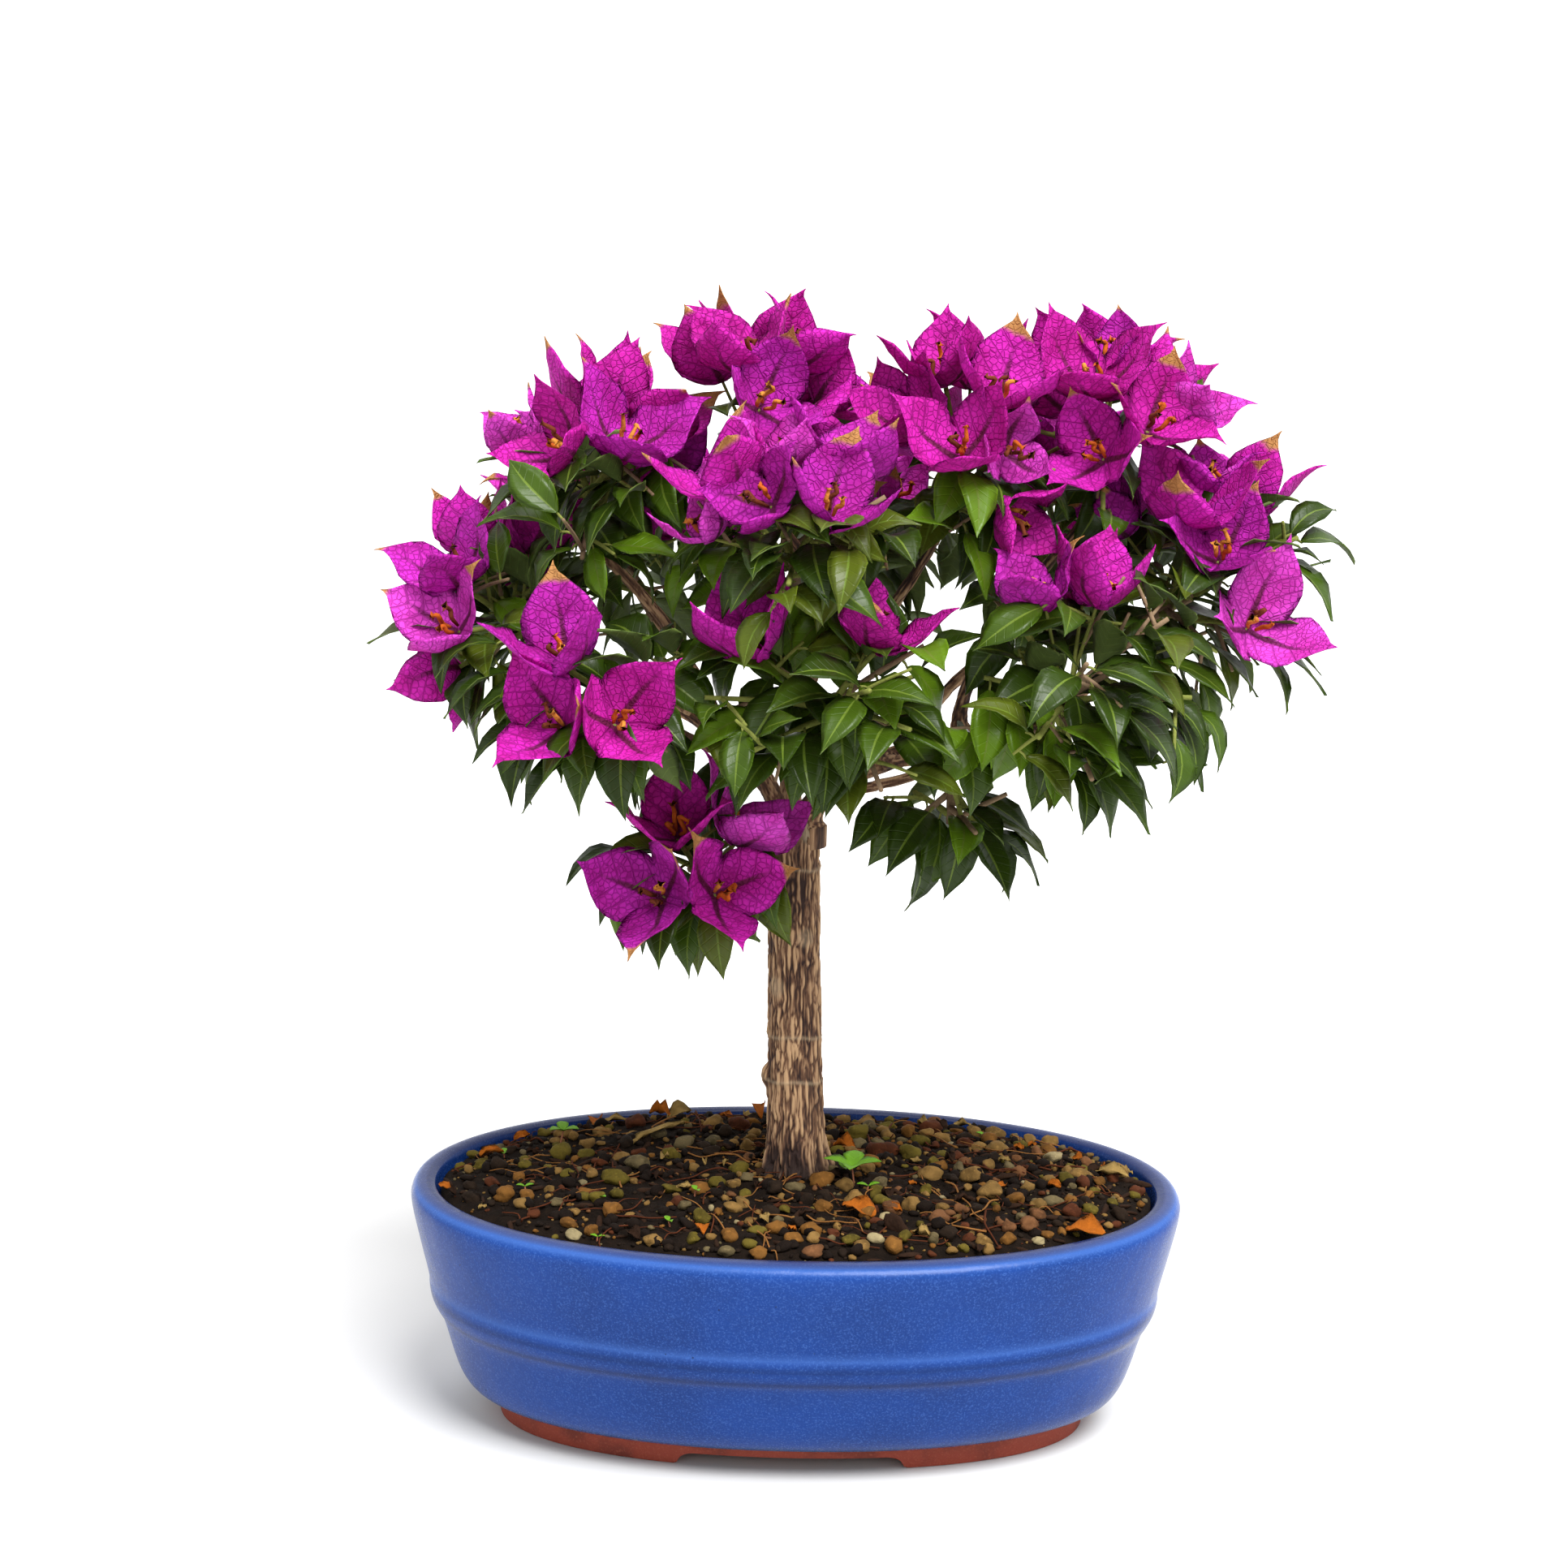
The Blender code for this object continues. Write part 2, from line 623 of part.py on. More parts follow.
def leaf_shape(root, heading, face, size, start):
    """The points and eight faces of a folded leaf of a length, width and thickness.

    start is how far along its length it begins, negative where its root is sunk into its twig.
    """
    length, width, thickness = size
    across = heading.cross(face)
    middle = root + heading * length * WIDEST
    edge = middle + face * LEAF_FOLD * width
    points = (
        root + heading * length * start,
        root + heading * length,
        edge + across * width / 2,
        edge - across * width / 2,
        middle + face * thickness / 2,
        middle - face * thickness / 2,
    )
    faces = ((0, 2, 4), (0, 4, 3), (1, 4, 2), (1, 3, 4), (0, 5, 2), (0, 3, 5), (1, 2, 5), (1, 5, 3))
    return points, faces


def guard_of(root, heading, face, size):
    """A search tree of a leaf with some room round it, to find what it would touch past its own root."""
    length, width, thickness = size
    roomy = (length, width, thickness + BLADE_ROOM)
    return BVHTree.FromPolygons(*leaf_shape(root, heading, face, roomy, GUARD_FROM))


def guard_of_tube(points, radii, sides):
    """A search tree of a tube's walls."""
    rings = tube_rings(points, radii, sides)
    places = [p for ring in rings for p in ring]
    faces = []
    for low in range(0, len(places) - sides, sides):
        for i in range(sides):
            j = (i + 1) % sides
            faces.append((low + i, low + j, low + sides + j, low + sides + i))
    return BVHTree.FromPolygons(places, faces)


class Bloom:
    """Three bracts in a cup round an axis: its foot, the roll and opening in radians, and the scale."""

    def __init__(self, foot, axis, roll, opening, scale):
        self.foot = foot
        self.axis = axis
        self.roll = roll
        self.opening = opening
        self.scale = scale

    def bracts(self):
        """The heading and inner face of each bract."""
        first = self.axis.orthogonal().normalized()
        second = self.axis.cross(first)
        for i in range(3):
            turn = self.roll + i * 2 * math.pi / 3
            out = first * math.cos(turn) + second * math.sin(turn)
            heading = self.axis * math.cos(self.opening) + out * math.sin(self.opening)
            face = self.axis * math.sin(self.opening) - out * math.cos(self.opening)
            yield heading, face

    def size(self):
        """A bract's length, width and thickness."""
        return BRACT_LENGTH * self.scale, BRACT_WIDTH * self.scale, BRACT_THICKNESS

    def shape(self, room=0.0):
        """The points and faces of the cup, made thicker by some room.

        Each bract has a tip, two edges and a middle inside and outside. Neighbours part at a notch.
        """
        length, width, thickness = self.size()
        half = (thickness + room) / 2
        bracts = list(self.bracts())
        points = [self.foot + self.axis * (CUP_FLOOR + room / 2), self.foot - self.axis * BLOOM_SINK]
        for i in range(3):
            between = (bracts[i][0] + bracts[(i + 1) % 3][0]).normalized()
            points.append(self.foot + between * length * NOTCH)
        faces = []
        for i, (heading, face) in enumerate(bracts):
            across = heading.cross(face)
            middle = self.foot + heading * length * WIDEST
            edge = middle + face * BRACT_FOLD * width
            tip = len(points)
            points.append(self.foot + heading * length)
            points += [edge + across * width / 2, edge - across * width / 2]
            points += [middle + face * half, middle - face * half]
            before, after = 2 + (i + 2) % 3, 2 + i
            for foot, centre in ((0, tip + 3), (1, tip + 4)):
                ring = (foot, before, tip + 1, tip, tip + 2, after)
                faces += [(centre, ring[k], ring[(k + 1) % 6]) for k in range(6)]
        return points, faces

    def guard(self):
        """A search tree of the cup with some room round it."""
        return BVHTree.FromPolygons(*self.shape(BLADE_ROOM))


class Growth:
    """The seeded rule that fills each mass with twigs, leaves and blooms.

    The stems, the flowering twigs and the blooms come first. The space nearer to a mass's own ones than to
    any other mass's is its space, and its leafy twigs and leaves keep to it.
    """

    def __init__(self, limbs):
        self.limbs = limbs
        spots = [(trunk_point(i / 40), trunk_radius(i / 40)) for i in range(41)]
        self.wood_guards = []
        for limb in limbs.values():
            count = max(4, int((limb.tip - limb.foot).length / LIMB_PROBE))
            shares = [i / count for i in range(count + 1)]
            spots += [(limb.point(t), limb.radius(t)) for t in shares]
            radii = [limb.radius(t) + GAP for t in shares]
            self.wood_guards.append(guard_of_tube([limb.point(t) for t in shares], radii, 6))
        self.limb_places = np.array([tuple(p) for p, _ in spots])
        self.limb_radii = np.array([r for _, r in spots])
        self.stems, self.stem_headings, self.blooms, self.bloom_twigs = {}, {}, {}, {}
        self.blade_guards, self.wood_of = [], {}
        anchors = []
        for name, mass in MASSES.items():
            self.stem_headings[name], self.stems[name] = self.stem_line(mass)
            self.wood_of[name] = [guard_of_tube(self.stems[name], taper(STEM_RADIUS, STEM_TIP_RADIUS), 3)]
            anchors += [(name, p) for p in self.stems[name]]
        for name, mass in MASSES.items():
            rng = random.Random(name)
            self.blooms[name], self.bloom_twigs[name] = [], []
            for k, (bearing, height) in enumerate(mass.blooms):
                bloom, line = self.plan_bloom(name, k, bearing, height, rng)
                if bloom:
                    self.blooms[name].append(bloom)
                    self.bloom_twigs[name].append(line)
                    anchors += [(name, bloom.foot + bloom.axis * reach) for reach in CUP_ANCHORS]
                    anchors += [(name, p) for p in line[1:]]
        self.anchor_owners = np.array([owner for owner, _ in anchors])
        self.anchor_places = np.array([tuple(p) for _, p in anchors])

    def twig_root(self, name, k):
        """Where the k-th twig leaves its mass's stem: every second place carries a bloom, the rest leaves."""
        mass = MASSES[name]
        places = 2 * max(len(mass.blooms), mass.leafy_twigs)
        return along_line(self.stems[name], 1.0 - TWIGGED_SHARE * k / places)

    def wood_guards_but(self, name):
        """Search trees of the stems and twigs of every mass but one."""
        return [guard for owner, guards in self.wood_of.items() if owner != name for guard in guards]

    def in_space(self, name, points):
        """Whether all the points are nearer to a mass's own wood and blooms than to any other's."""
        places = np.array([tuple(p) for p in points])
        away = np.linalg.norm(places[:, None, :] - self.anchor_places[None, :, :], axis=2)
        own = self.anchor_owners == name
        return bool((away[:, ~own].min(axis=1) - away[:, own].min(axis=1) > SPACE_MARGIN).all())

    def clear_of_limbs(self, points, room):
        """Whether all the points keep some room to the trunk and every bough."""
        places = np.array([tuple(p) for p in points])
        away = np.linalg.norm(places[:, None, :] - self.limb_places[None, :, :], axis=2)
        return bool((away > self.limb_radii[None, :] + room).all())

    def touches(self, guard, others):
        """How many of some search trees a blade's own tree meets."""
        return sum(1 for other in others if guard.overlap(other))

    def stem_line(self, mass):
        """A mass's stem, from just clear of what carries it to the mass's middle, with its first heading."""
        if mass.carrier == "trunk":
            centre = trunk_point(LOW_SPRAY_AT)
            out = mass.middle - centre
            heading = Vector((out.x, out.y, 0)).normalized()
            start = centre + heading * (trunk_radius(LOW_SPRAY_AT) + GAP * 2)
        else:
            limb = self.limbs[mass.carrier]
            heading = limb.tangent(1)
            start = limb.tip + heading * GAP
        return heading, twig_line(start, heading, mass.middle, 0.0)

    def plan_bloom(self, name, k, bearing, height, rng):
        """A mass's k-th bloom and its twig, at the first try that touches nothing, or None and None."""
        mass = MASSES[name]
        foot = mass.shell(bearing, height, BLOOM_INSET)
        root = self.twig_root(name, 2 * k + 1)
        line = twig_line(root, (foot - root).normalized(), foot, BLOOM_TWIG_LIFT)
        twig = guard_of_tube(line, taper(TWIG_RADIUS, TWIG_TIP_RADIUS), 3)
        others = self.wood_guards_but(name)
        if self.touches(twig, self.blade_guards + self.wood_guards + others):
            return None, None
        for attempt in range(BLOOM_TRIES):
            stray = Vector([rng.uniform(-BLOOM_STRAY, BLOOM_STRAY) * attempt for _ in range(3)])
            axis = (mass.outward(foot) + Vector((0, 0, BLOOM_RISE)) + stray).normalized()
            opening = math.radians(rng.uniform(*BRACT_OPENING))
            scale = rng.uniform(*BRACT_SCALE) * (1 - BLOOM_SHRINK * attempt)
            bloom = Bloom(foot, axis, rng.uniform(0, 2 * math.pi), opening, scale)
            guard = bloom.guard()
            if not self.touches(guard, self.blade_guards + self.wood_guards + self.wood_of[name] + others):
                self.blade_guards.append(guard)
                self.wood_of[name].append(twig)
                return bloom, line
        return None, None

    def leaf_at(self, place, twig_heading, turn, rng):
        """A leaf's root, heading, face and size where it leaves a twig."""
        side = twig_heading.orthogonal().normalized()
        side = side * math.cos(turn) + twig_heading.cross(side) * math.sin(turn)
        outward = place - CROWN_CENTRE
        outward.z = 0
        outward.normalize()
        droop = DROOP[0] + DROOP[1] * min(1.0, max(0.0, (DROOP_FROM - place.z) / DROOP_DEPTH))
        heading = side * LEAF_LEAN[0] + twig_heading * LEAF_LEAN[1] + outward * LEAF_LEAN[2]
        heading = heading - Vector((0, 0, droop))
        stray = Vector([rng.uniform(-LEAF_STRAY, LEAF_STRAY) for _ in range(3)])
        heading = (heading + stray).normalized()
        face = outward * LEAF_FACE[0] + Vector((0, 0, 1)) + side * LEAF_FACE[1]
        face = (face - heading * face.dot(heading)).normalized()
        scale = rng.uniform(*LEAF_SCALE)
        return place, heading, face, (LEAF_LENGTH * scale, LEAF_WIDTH * scale, LEAF_THICKNESS)

    def leaf_fits(self, name, leaf):
        """The leaf's search tree if it stays in its mass's space and touches nothing, or None."""
        root, heading, face, size = leaf
        across = heading.cross(face)
        probes = []
        for along in LEAF_PROBES:
            half = size[1] / 2 * min(along / WIDEST, (1 - along) / (1 - WIDEST))
            middle = root + heading * size[0] * along
            edge = face * LEAF_FOLD * half * 2
            probes += [middle, middle + across * half + edge, middle - across * half + edge]
        mass = MASSES[name]
        if not all(mass.holds(p) for p in probes) or not self.in_space(name, probes):
            return None
        if not self.clear_of_limbs(probes, LIMB_ROOM):
            return None
        guard = guard_of(*leaf)
        others = self.blade_guards + self.wood_guards + self.wood_of[name] + self.wood_guards_but(name)
        return None if self.touches(guard, others) else guard

    def leafy_twigs(self, name, rng):
        """Twigs that end in leaves, on a spiral over the mass, cut short where they would leave its space."""
        mass = MASSES[name]
        lines = []
        for k in range(mass.leafy_twigs):
            sine = LEAFY_TOP - LEAFY_RANGE * (k + 0.5) / mass.leafy_twigs
            bearing = math.degrees(k * GOLDEN_ANGLE) + rng.uniform(-TWIG_STRAY, TWIG_STRAY)
            root = self.twig_root(name, 2 * k)
            target = mass.shell(bearing, math.degrees(math.asin(sine)), TWIG_INSET)
            for share in TWIG_SHARES:
                tip = root.lerp(target, share)
                line = twig_line(root, (tip - root).normalized(), tip, TWIG_LIFT)
                if self.twig_fits(name, line):
                    lines.append(line)
                    break
        return lines

    def twig_fits(self, name, line):
        """Whether a leafy twig stays in its mass's space, and touches no blade and no other mass's wood."""
        probes = [a.lerp(b, part) for a, b in zip(line, line[1:]) for part in (0.4, 0.7, 1.0)]
        if not self.in_space(name, probes) or not self.clear_of_limbs(probes, LIMB_ROOM):
            return False
        guard = guard_of_tube(line, taper(TWIG_RADIUS, TWIG_TIP_RADIUS), 3)
        if self.touches(guard, self.blade_guards + self.wood_guards_but(name)):
            return False
        self.wood_of[name].append(guard)
        return True

    def leaves_on(self, name, line, carries_bloom, rng):
        """Leaves along a twig, spiralling round it, and a tuft at a leafy twig's tip."""
        spans = [(b - a).length for a, b in zip(line, line[1:])]
        end = sum(spans) - (0.004 if carries_bloom else 0.0012)
        turn = rng.uniform(0, 2 * math.pi)
        tried, at = [], sum(spans) * LEAF_FROM
        while at < end:
            tried.append(at)
            at += LEAF_STEP
        if not carries_bloom:
            tried += [end - back for back in TUFT_SPACING if end - back > tried[-1] + TUFT_ROOM]
        leaves = []
        for at in tried:
            segment = 0
            while segment < len(spans) - 1 and at > spans[segment]:
                at -= spans[segment]
                segment += 1
            a, b = line[segment], line[segment + 1]
            place = a.lerp(b, at / spans[segment])
            for _ in range(LEAF_TRIES):
                turn += GOLDEN_ANGLE
                leaf = self.leaf_at(place, (b - a).normalized(), turn, rng)
                guard = self.leaf_fits(name, leaf)
                if guard:
                    self.blade_guards.append(guard)
                    leaves.append(leaf)
                    break
        return leaves

    def grow(self, name):
        """A mass's leafy twigs and all its leaves."""
        rng = random.Random(name + " leaves")
        twigs = self.leafy_twigs(name, rng)
        leaves = []
        for line in self.bloom_twigs[name]:
            leaves += self.leaves_on(name, line, True, rng)
        for line in twigs:
            leaves += self.leaves_on(name, line, False, rng)
        return twigs, leaves


def along_line(line, share):
    """The point at a share of a line's length."""
    spans = [(b - a).length for a, b in zip(line, line[1:])]
    at = share * sum(spans)
    for a, b, span in zip(line, line[1:], spans):
        if at <= span:
            return a.lerp(b, at / span)
        at -= span
    return line[-1].copy()


def twig_line(start, heading, end, lift):
    """Points along a curved twig."""
    reach = (end - start).length
    control = start + heading * reach * TWIG_BOW + Vector((0, 0, lift * reach))
    shares = [i / TWIG_STEPS for i in range(TWIG_STEPS + 1)]
    return [start * (1 - t) ** 2 + control * 2 * t * (1 - t) + end * t**2 for t in shares]


def fuse(name, stem, collection, material):
    """Joins a collection's solids to a stem, and keeps only the main body, with no sealed hollow."""
    join = stem.modifiers.new("join", "BOOLEAN")
    join.operation = "UNION"
    join.operand_type = "COLLECTION"
    join.collection = collection
    join.solver = "EXACT"
    graph = bpy.context.evaluated_depsgraph_get()
    mesh = bpy.data.meshes.new_from_object(stem.evaluated_get(graph))
    bpy.data.objects.remove(stem)
    for thing in list(collection.objects):
        bpy.data.objects.remove(thing)
    bpy.data.collections.remove(collection)
    mesh.name = name
    keep_main_body(mesh)
    mesh.materials.clear()
    return add_object(name, mesh, material)


def keep_main_body(mesh):
    """Deletes every shell of a mesh but the one that holds the most."""
    shape = bmesh.new()
    shape.from_mesh(mesh)
    bmesh.ops.triangulate(shape, faces=shape.faces)
    unseen = set(shape.faces)
    shells = []
    while unseen:
        front = [unseen.pop()]
        shell = list(front)
        while front:
            near = {f for e in front.pop().edges for f in e.link_faces} & unseen
            unseen -= near
            front += near
            shell += near
        volume = sum(f.verts[0].co.dot(f.verts[1].co.cross(f.verts[2].co)) / 6 for f in shell)
        shells.append((volume, shell))
    shells.sort(key=lambda entry: entry[0])
    for _, shell in shells[:-1]:
        bmesh.ops.delete(shape, geom=shell, context="FACES")
    loose = [v for v in shape.verts if not v.link_faces]
    bmesh.ops.delete(shape, geom=loose, context="VERTS")
    shape.to_mesh(mesh)
    shape.free()


def taper(first, last):
    """Radii along a twig."""
    return [first + (last - first) * i / TWIG_STEPS for i in range(TWIG_STEPS + 1)]


def build_mass(growth, name, material):
    """One mass of foliage as a single solid."""
    leafy_twigs, leaves = growth.grow(name)
    collection = bpy.data.collections.new(name + "_pieces")
    bpy.context.scene.collection.children.link(collection)
    line = growth.stems[name]
    rings = tube_rings(line, taper(STEM_RADIUS, STEM_TIP_RADIUS), 3)
    heading = growth.stem_headings[name]
    rings[0] = [p - heading * heading.dot(p - line[0]) for p in rings[0]]
    stem = add_object(name, skin(name, rings))
    for line in growth.bloom_twigs[name] + leafy_twigs:
        rings = tube_rings(line, taper(TWIG_RADIUS, TWIG_TIP_RADIUS), 3)
        add_object("twig", skin("twig", rings), collection=collection)
    for leaf in leaves:
        length = leaf[3][0]
        add_object("leaf", mesh_of("leaf", *leaf_shape(*leaf, -LEAF_SINK / length)), collection=collection)
    for bloom in growth.blooms[name]:
        add_object("bloom", mesh_of("bloom", *bloom.shape()), collection=collection)
    mass = fuse(name, stem, collection, material)
    print(f"{name}: {len(leaves)} leaves, {len(growth.blooms[name])} of {len(MASSES[name].blooms)} blooms,"
          f" {len(mass.data.polygons)} triangles")


def stand_over_origin():
    """Moves every solid so that the whole outline's middle is over the origin."""
    graph = bpy.context.evaluated_depsgraph_get()
    corners = []
    for thing in bpy.context.scene.objects:
        if not thing.hide_render:
            seen = thing.evaluated_get(graph)
            corners += [seen.matrix_world @ Vector(c) for c in seen.bound_box]
    shift = Vector((0, 0, 0))
    for axis in (0, 1):
        values = [c[axis] for c in corners]
        shift[axis] = -(min(values) + max(values)) / 2
    for thing in bpy.context.scene.objects:
        thing.location += shift
    return shift


def main():
    clear_scene()
    build_bowl()
    build_foot()
    build_soil()
    build_trunk()
    limbs = grow_limbs()
    bough_bark = finish("bough_bark", BOUGH_BARK)
    for limb in limbs.values():
        build_limb(limb, bough_bark)
    growth = Growth(limbs)
    foliage = finish("leaves_and_bracts", FOLIAGE)
    for name in MASSES:
        build_mass(growth, name, foliage)
    stand_over_origin()


main()
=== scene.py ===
"""The looks of a potted bougainvillea bonsai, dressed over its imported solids.

Metres, +Z up. The plant and the pot are drawn round the pot's centre and moved to the frame's own place when
each mesh is made. The crown grows by the same seeded rule as the solids do, and is then carried on to finer
twigs and more leaves inside the same reach.
"""

import sys
import logging
import math
import random
from collections.abc import Iterator, Mapping, Sequence
from dataclasses import dataclass, field
from enum import IntEnum
from functools import cached_property

import bmesh
import bpy
import numpy as np
from mathutils import Euler, Matrix, Vector, noise
from mathutils.bvhtree import BVHTree


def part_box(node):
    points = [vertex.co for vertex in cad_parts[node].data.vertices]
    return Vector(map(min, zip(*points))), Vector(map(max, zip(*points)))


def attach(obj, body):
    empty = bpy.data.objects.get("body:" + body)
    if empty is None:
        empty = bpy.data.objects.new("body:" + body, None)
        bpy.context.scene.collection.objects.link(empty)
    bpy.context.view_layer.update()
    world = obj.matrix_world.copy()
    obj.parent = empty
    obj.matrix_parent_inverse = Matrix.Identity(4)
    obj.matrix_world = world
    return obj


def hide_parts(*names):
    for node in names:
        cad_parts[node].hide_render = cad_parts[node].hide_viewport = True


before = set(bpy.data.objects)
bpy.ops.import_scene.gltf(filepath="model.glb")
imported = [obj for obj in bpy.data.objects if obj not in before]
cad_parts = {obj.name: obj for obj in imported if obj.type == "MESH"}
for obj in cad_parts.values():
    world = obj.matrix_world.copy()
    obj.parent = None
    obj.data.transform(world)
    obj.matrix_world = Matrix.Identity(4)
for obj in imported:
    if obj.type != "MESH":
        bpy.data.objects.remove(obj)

log = logging.getLogger("bonsai")
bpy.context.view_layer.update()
GOLDEN_ANGLE = math.radians(137.5)
GAP = 0.0003
MM = 0.001
UP = Vector((0, 0, 1))
Pair = tuple[float, float]
Triple = tuple[float, float, float]
Colour = Triple
Line = list[Vector]


def pot_centre() -> Vector:
    """Where the pot's centre stands in the frame, on the ground."""
    low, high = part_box("pot_bowl")
    return Vector(((low.x + high.x) / 2, (low.y + high.y) / 2, 0.0))


def tint(red: int, green: int, blue: int) -> Colour:
    """A screen colour from 0 to 255 as linear light."""
    shares = [value / 255 for value in (red, green, blue)]
    return tuple(s / 12.92 if s <= 0.04045 else ((s + 0.055) / 1.055) ** 2.4 for s in shares)


def shade(colour: Colour, share: float) -> Colour:
    """A colour made darker or lighter by a factor."""
    return tuple(min(1.0, value * share) for value in colour)


@dataclass(frozen=True, eq=False)
class Wire:
    """One output socket of a shader graph, which takes part in sums as a number would."""

    paint: "Paint"
    socket: bpy.types.NodeSocket

    def _sum(self, operation: str, *values: "Signal") -> "Wire":
        """A Math node over some values."""
        return self.paint.node("ShaderNodeMath", {"operation": operation}, dict(enumerate(values)))

    def __add__(self, other: "Signal") -> "Wire":
        """The sum with another value."""
        return self._sum("ADD", self, other)

    def __sub__(self, other: "Signal") -> "Wire":
        """What is left when another value is taken off."""
        return self._sum("SUBTRACT", self, other)

    def __rsub__(self, other: "Signal") -> "Wire":
        """What is left when this value is taken off a number, as in 1 - mask."""
        return self._sum("SUBTRACT", other, self)

    def __mul__(self, other: "Signal") -> "Wire":
        """The product with another value."""
        return self._sum("MULTIPLY", self, other)

    __radd__ = __add__
    __rmul__ = __mul__

    def __abs__(self) -> "Wire":
        """The value without its sign."""
        return self._sum("ABSOLUTE", self)

    def sine(self) -> "Wire":
        """The sine of the value in radians."""
        return self._sum("SINE", self)

    def most(self, other: "Signal") -> "Wire":
        """The larger of two values."""
        return self._sum("MAXIMUM", self, other)

    def between(self, low: float, high: float) -> "Wire":
        """A soft step from 0 at low to 1 at high, where low may be the larger."""
        sockets = {"Value": self, "From Min": low, "From Max": high}
        return self.paint.node("ShaderNodeMapRange", {"interpolation_type": "SMOOTHSTEP"}, sockets)


Signal = float | Wire


class Paint:
    """A material drawn as a graph of nodes in front of one Principled shader."""

    def __init__(self, name: str) -> None:
        """Starts a material.

        Args:
            name: The material's name.
        """
        self.material = bpy.data.materials.new(name)
        self.material.use_nodes = True
        self.tree = self.material.node_tree
        self.shader = self.tree.nodes["Principled BSDF"]

    def node(
        self,
        kind: str,
        settings: Mapping[str, object] | None = None,
        sockets: Mapping[str | int, object] | None = None,
        output: str | int = 0,
    ) -> Wire:
        """Adds a node.

        Args:
            kind: The node's type.
            settings: Its own settings, set first, such as an operation, or "stops" for a ramp.
            sockets: The value or link of each input.
            output: Which output the result stands for.

        Returns:
            That output as a Wire.
        """
        made = self.tree.nodes.new(kind)
        for key, value in (settings or {}).items():
            if key == "stops":
                self._set_stops(made.color_ramp, value)
            else:
                setattr(made, key, value)
        for key, value in (sockets or {}).items():
            self.plug(made.inputs[key], value)
        return Wire(self, made.outputs[output])

    @staticmethod
    def _set_stops(ramp: bpy.types.ColorRamp, stops: Sequence[tuple[float, Colour]]) -> None:
        """Fills a ramp with places and colours.

        Args:
            ramp: The ramp, with the two stops that it starts with.
            stops: Each stop's place and colour.
        """
        for place, _ in stops[2:]:
            ramp.elements.new(place)
        for element, (place, colour) in zip(ramp.elements, stops):
            element.position = place
            element.color = (*colour, 1.0)

    def plug(self, socket: bpy.types.NodeSocket, value: object) -> None:
        """Links a Wire to a socket, or sets the socket's own number, colour or vector.

        Args:
            socket: The input.
            value: A Wire to link, or a number, colour or vector.
        """
        if isinstance(value, Wire):
            self.tree.links.new(value.socket, socket)
        elif isinstance(value, tuple) and socket.type == "RGBA":
            socket.default_value = (*value, 1.0)
        else:
            socket.default_value = value

    def set(self, **values: object) -> None:
        """Sets the shader's sockets by name, with _ for a space."""
        for name, value in values.items():
            self.plug(self.shader.inputs[name.replace("_", " ")], value)

    @cached_property
    def place(self) -> Wire:
        """The place on the object in metres."""
        return self.node("ShaderNodeTexCoord", output="Object")

    def mark(self, name: str) -> Wire:
        """A vector that the mesh carries under a name."""
        return self.node("ShaderNodeAttribute", {"attribute_name": name}, output="Vector")

    def parts(self, vector: Wire) -> tuple[Wire, Wire, Wire]:
        """A vector's x, y and z.

        Args:
            vector: The vector.

        Returns:
            Its three parts.
        """
        first = self.node("ShaderNodeSeparateXYZ", sockets={0: vector})
        outputs = first.socket.node.outputs
        return first, Wire(self, outputs[1]), Wire(self, outputs[2])

    def stretch(self, vector: Wire, scale: Triple) -> Wire:
        """A vector scaled along each axis."""
        return self.node("ShaderNodeVectorMath", {"operation": "MULTIPLY"}, {0: vector, 1: scale})

    def noise(
        self, scale: float, detail: float = 3.0, roughness: float = 0.55, at: Wire | None = None
    ) -> Wire:
        """Smooth noise about 0.5, with this many features a metre."""
        sockets = {"Vector": at or self.place, "Scale": scale, "Detail": detail, "Roughness": roughness}
        return self.node("ShaderNodeTexNoise", sockets=sockets)

    def cells(self, scale: float, feature: str = "F1") -> Wire:
        """The distance to the nearest cell's middle or edge."""
        return self.node("ShaderNodeTexVoronoi", {"feature": feature}, {"Vector": self.place, "Scale": scale})

    def mix(self, share: Signal, first: object, second: object) -> Wire:
        """A colour between two, the second where share is 1."""
        return self.node("ShaderNodeMix", {"data_type": "RGBA"}, {0: share, 6: first, 7: second}, output=2)

    def ramp(self, value: Wire, *stops: tuple[float, Colour]) -> Wire:
        """A colour read off a ramp of places and colours."""
        return self.node("ShaderNodeValToRGB", {"stops": stops}, {0: value})

    def bump(self, height: Wire, depth: float, strength: float) -> Wire:
        """A surface normal that leans as a height of some depth in metres does."""
        sockets = {"Strength": strength, "Distance": depth, "Height": height}
        return self.node("ShaderNodeBump", sockets=sockets)

    def shine_through(self, colour: object, share: float) -> None:
        """Lets a share of the light through, as thin leaves and petals do.

        Args:
            colour: The colour that the light takes on.
            share: How much of it comes through, from 0 to 1.
        """
        glow = self.node("ShaderNodeBsdfTranslucent", sockets={"Color": colour})
        plain = Wire(self, self.shader.outputs[0])
        both = self.node("ShaderNodeMixShader", sockets={0: share, 1: plain, 2: glow})
        self.tree.links.new(both.socket, self.tree.nodes["Material Output"].inputs["Surface"])


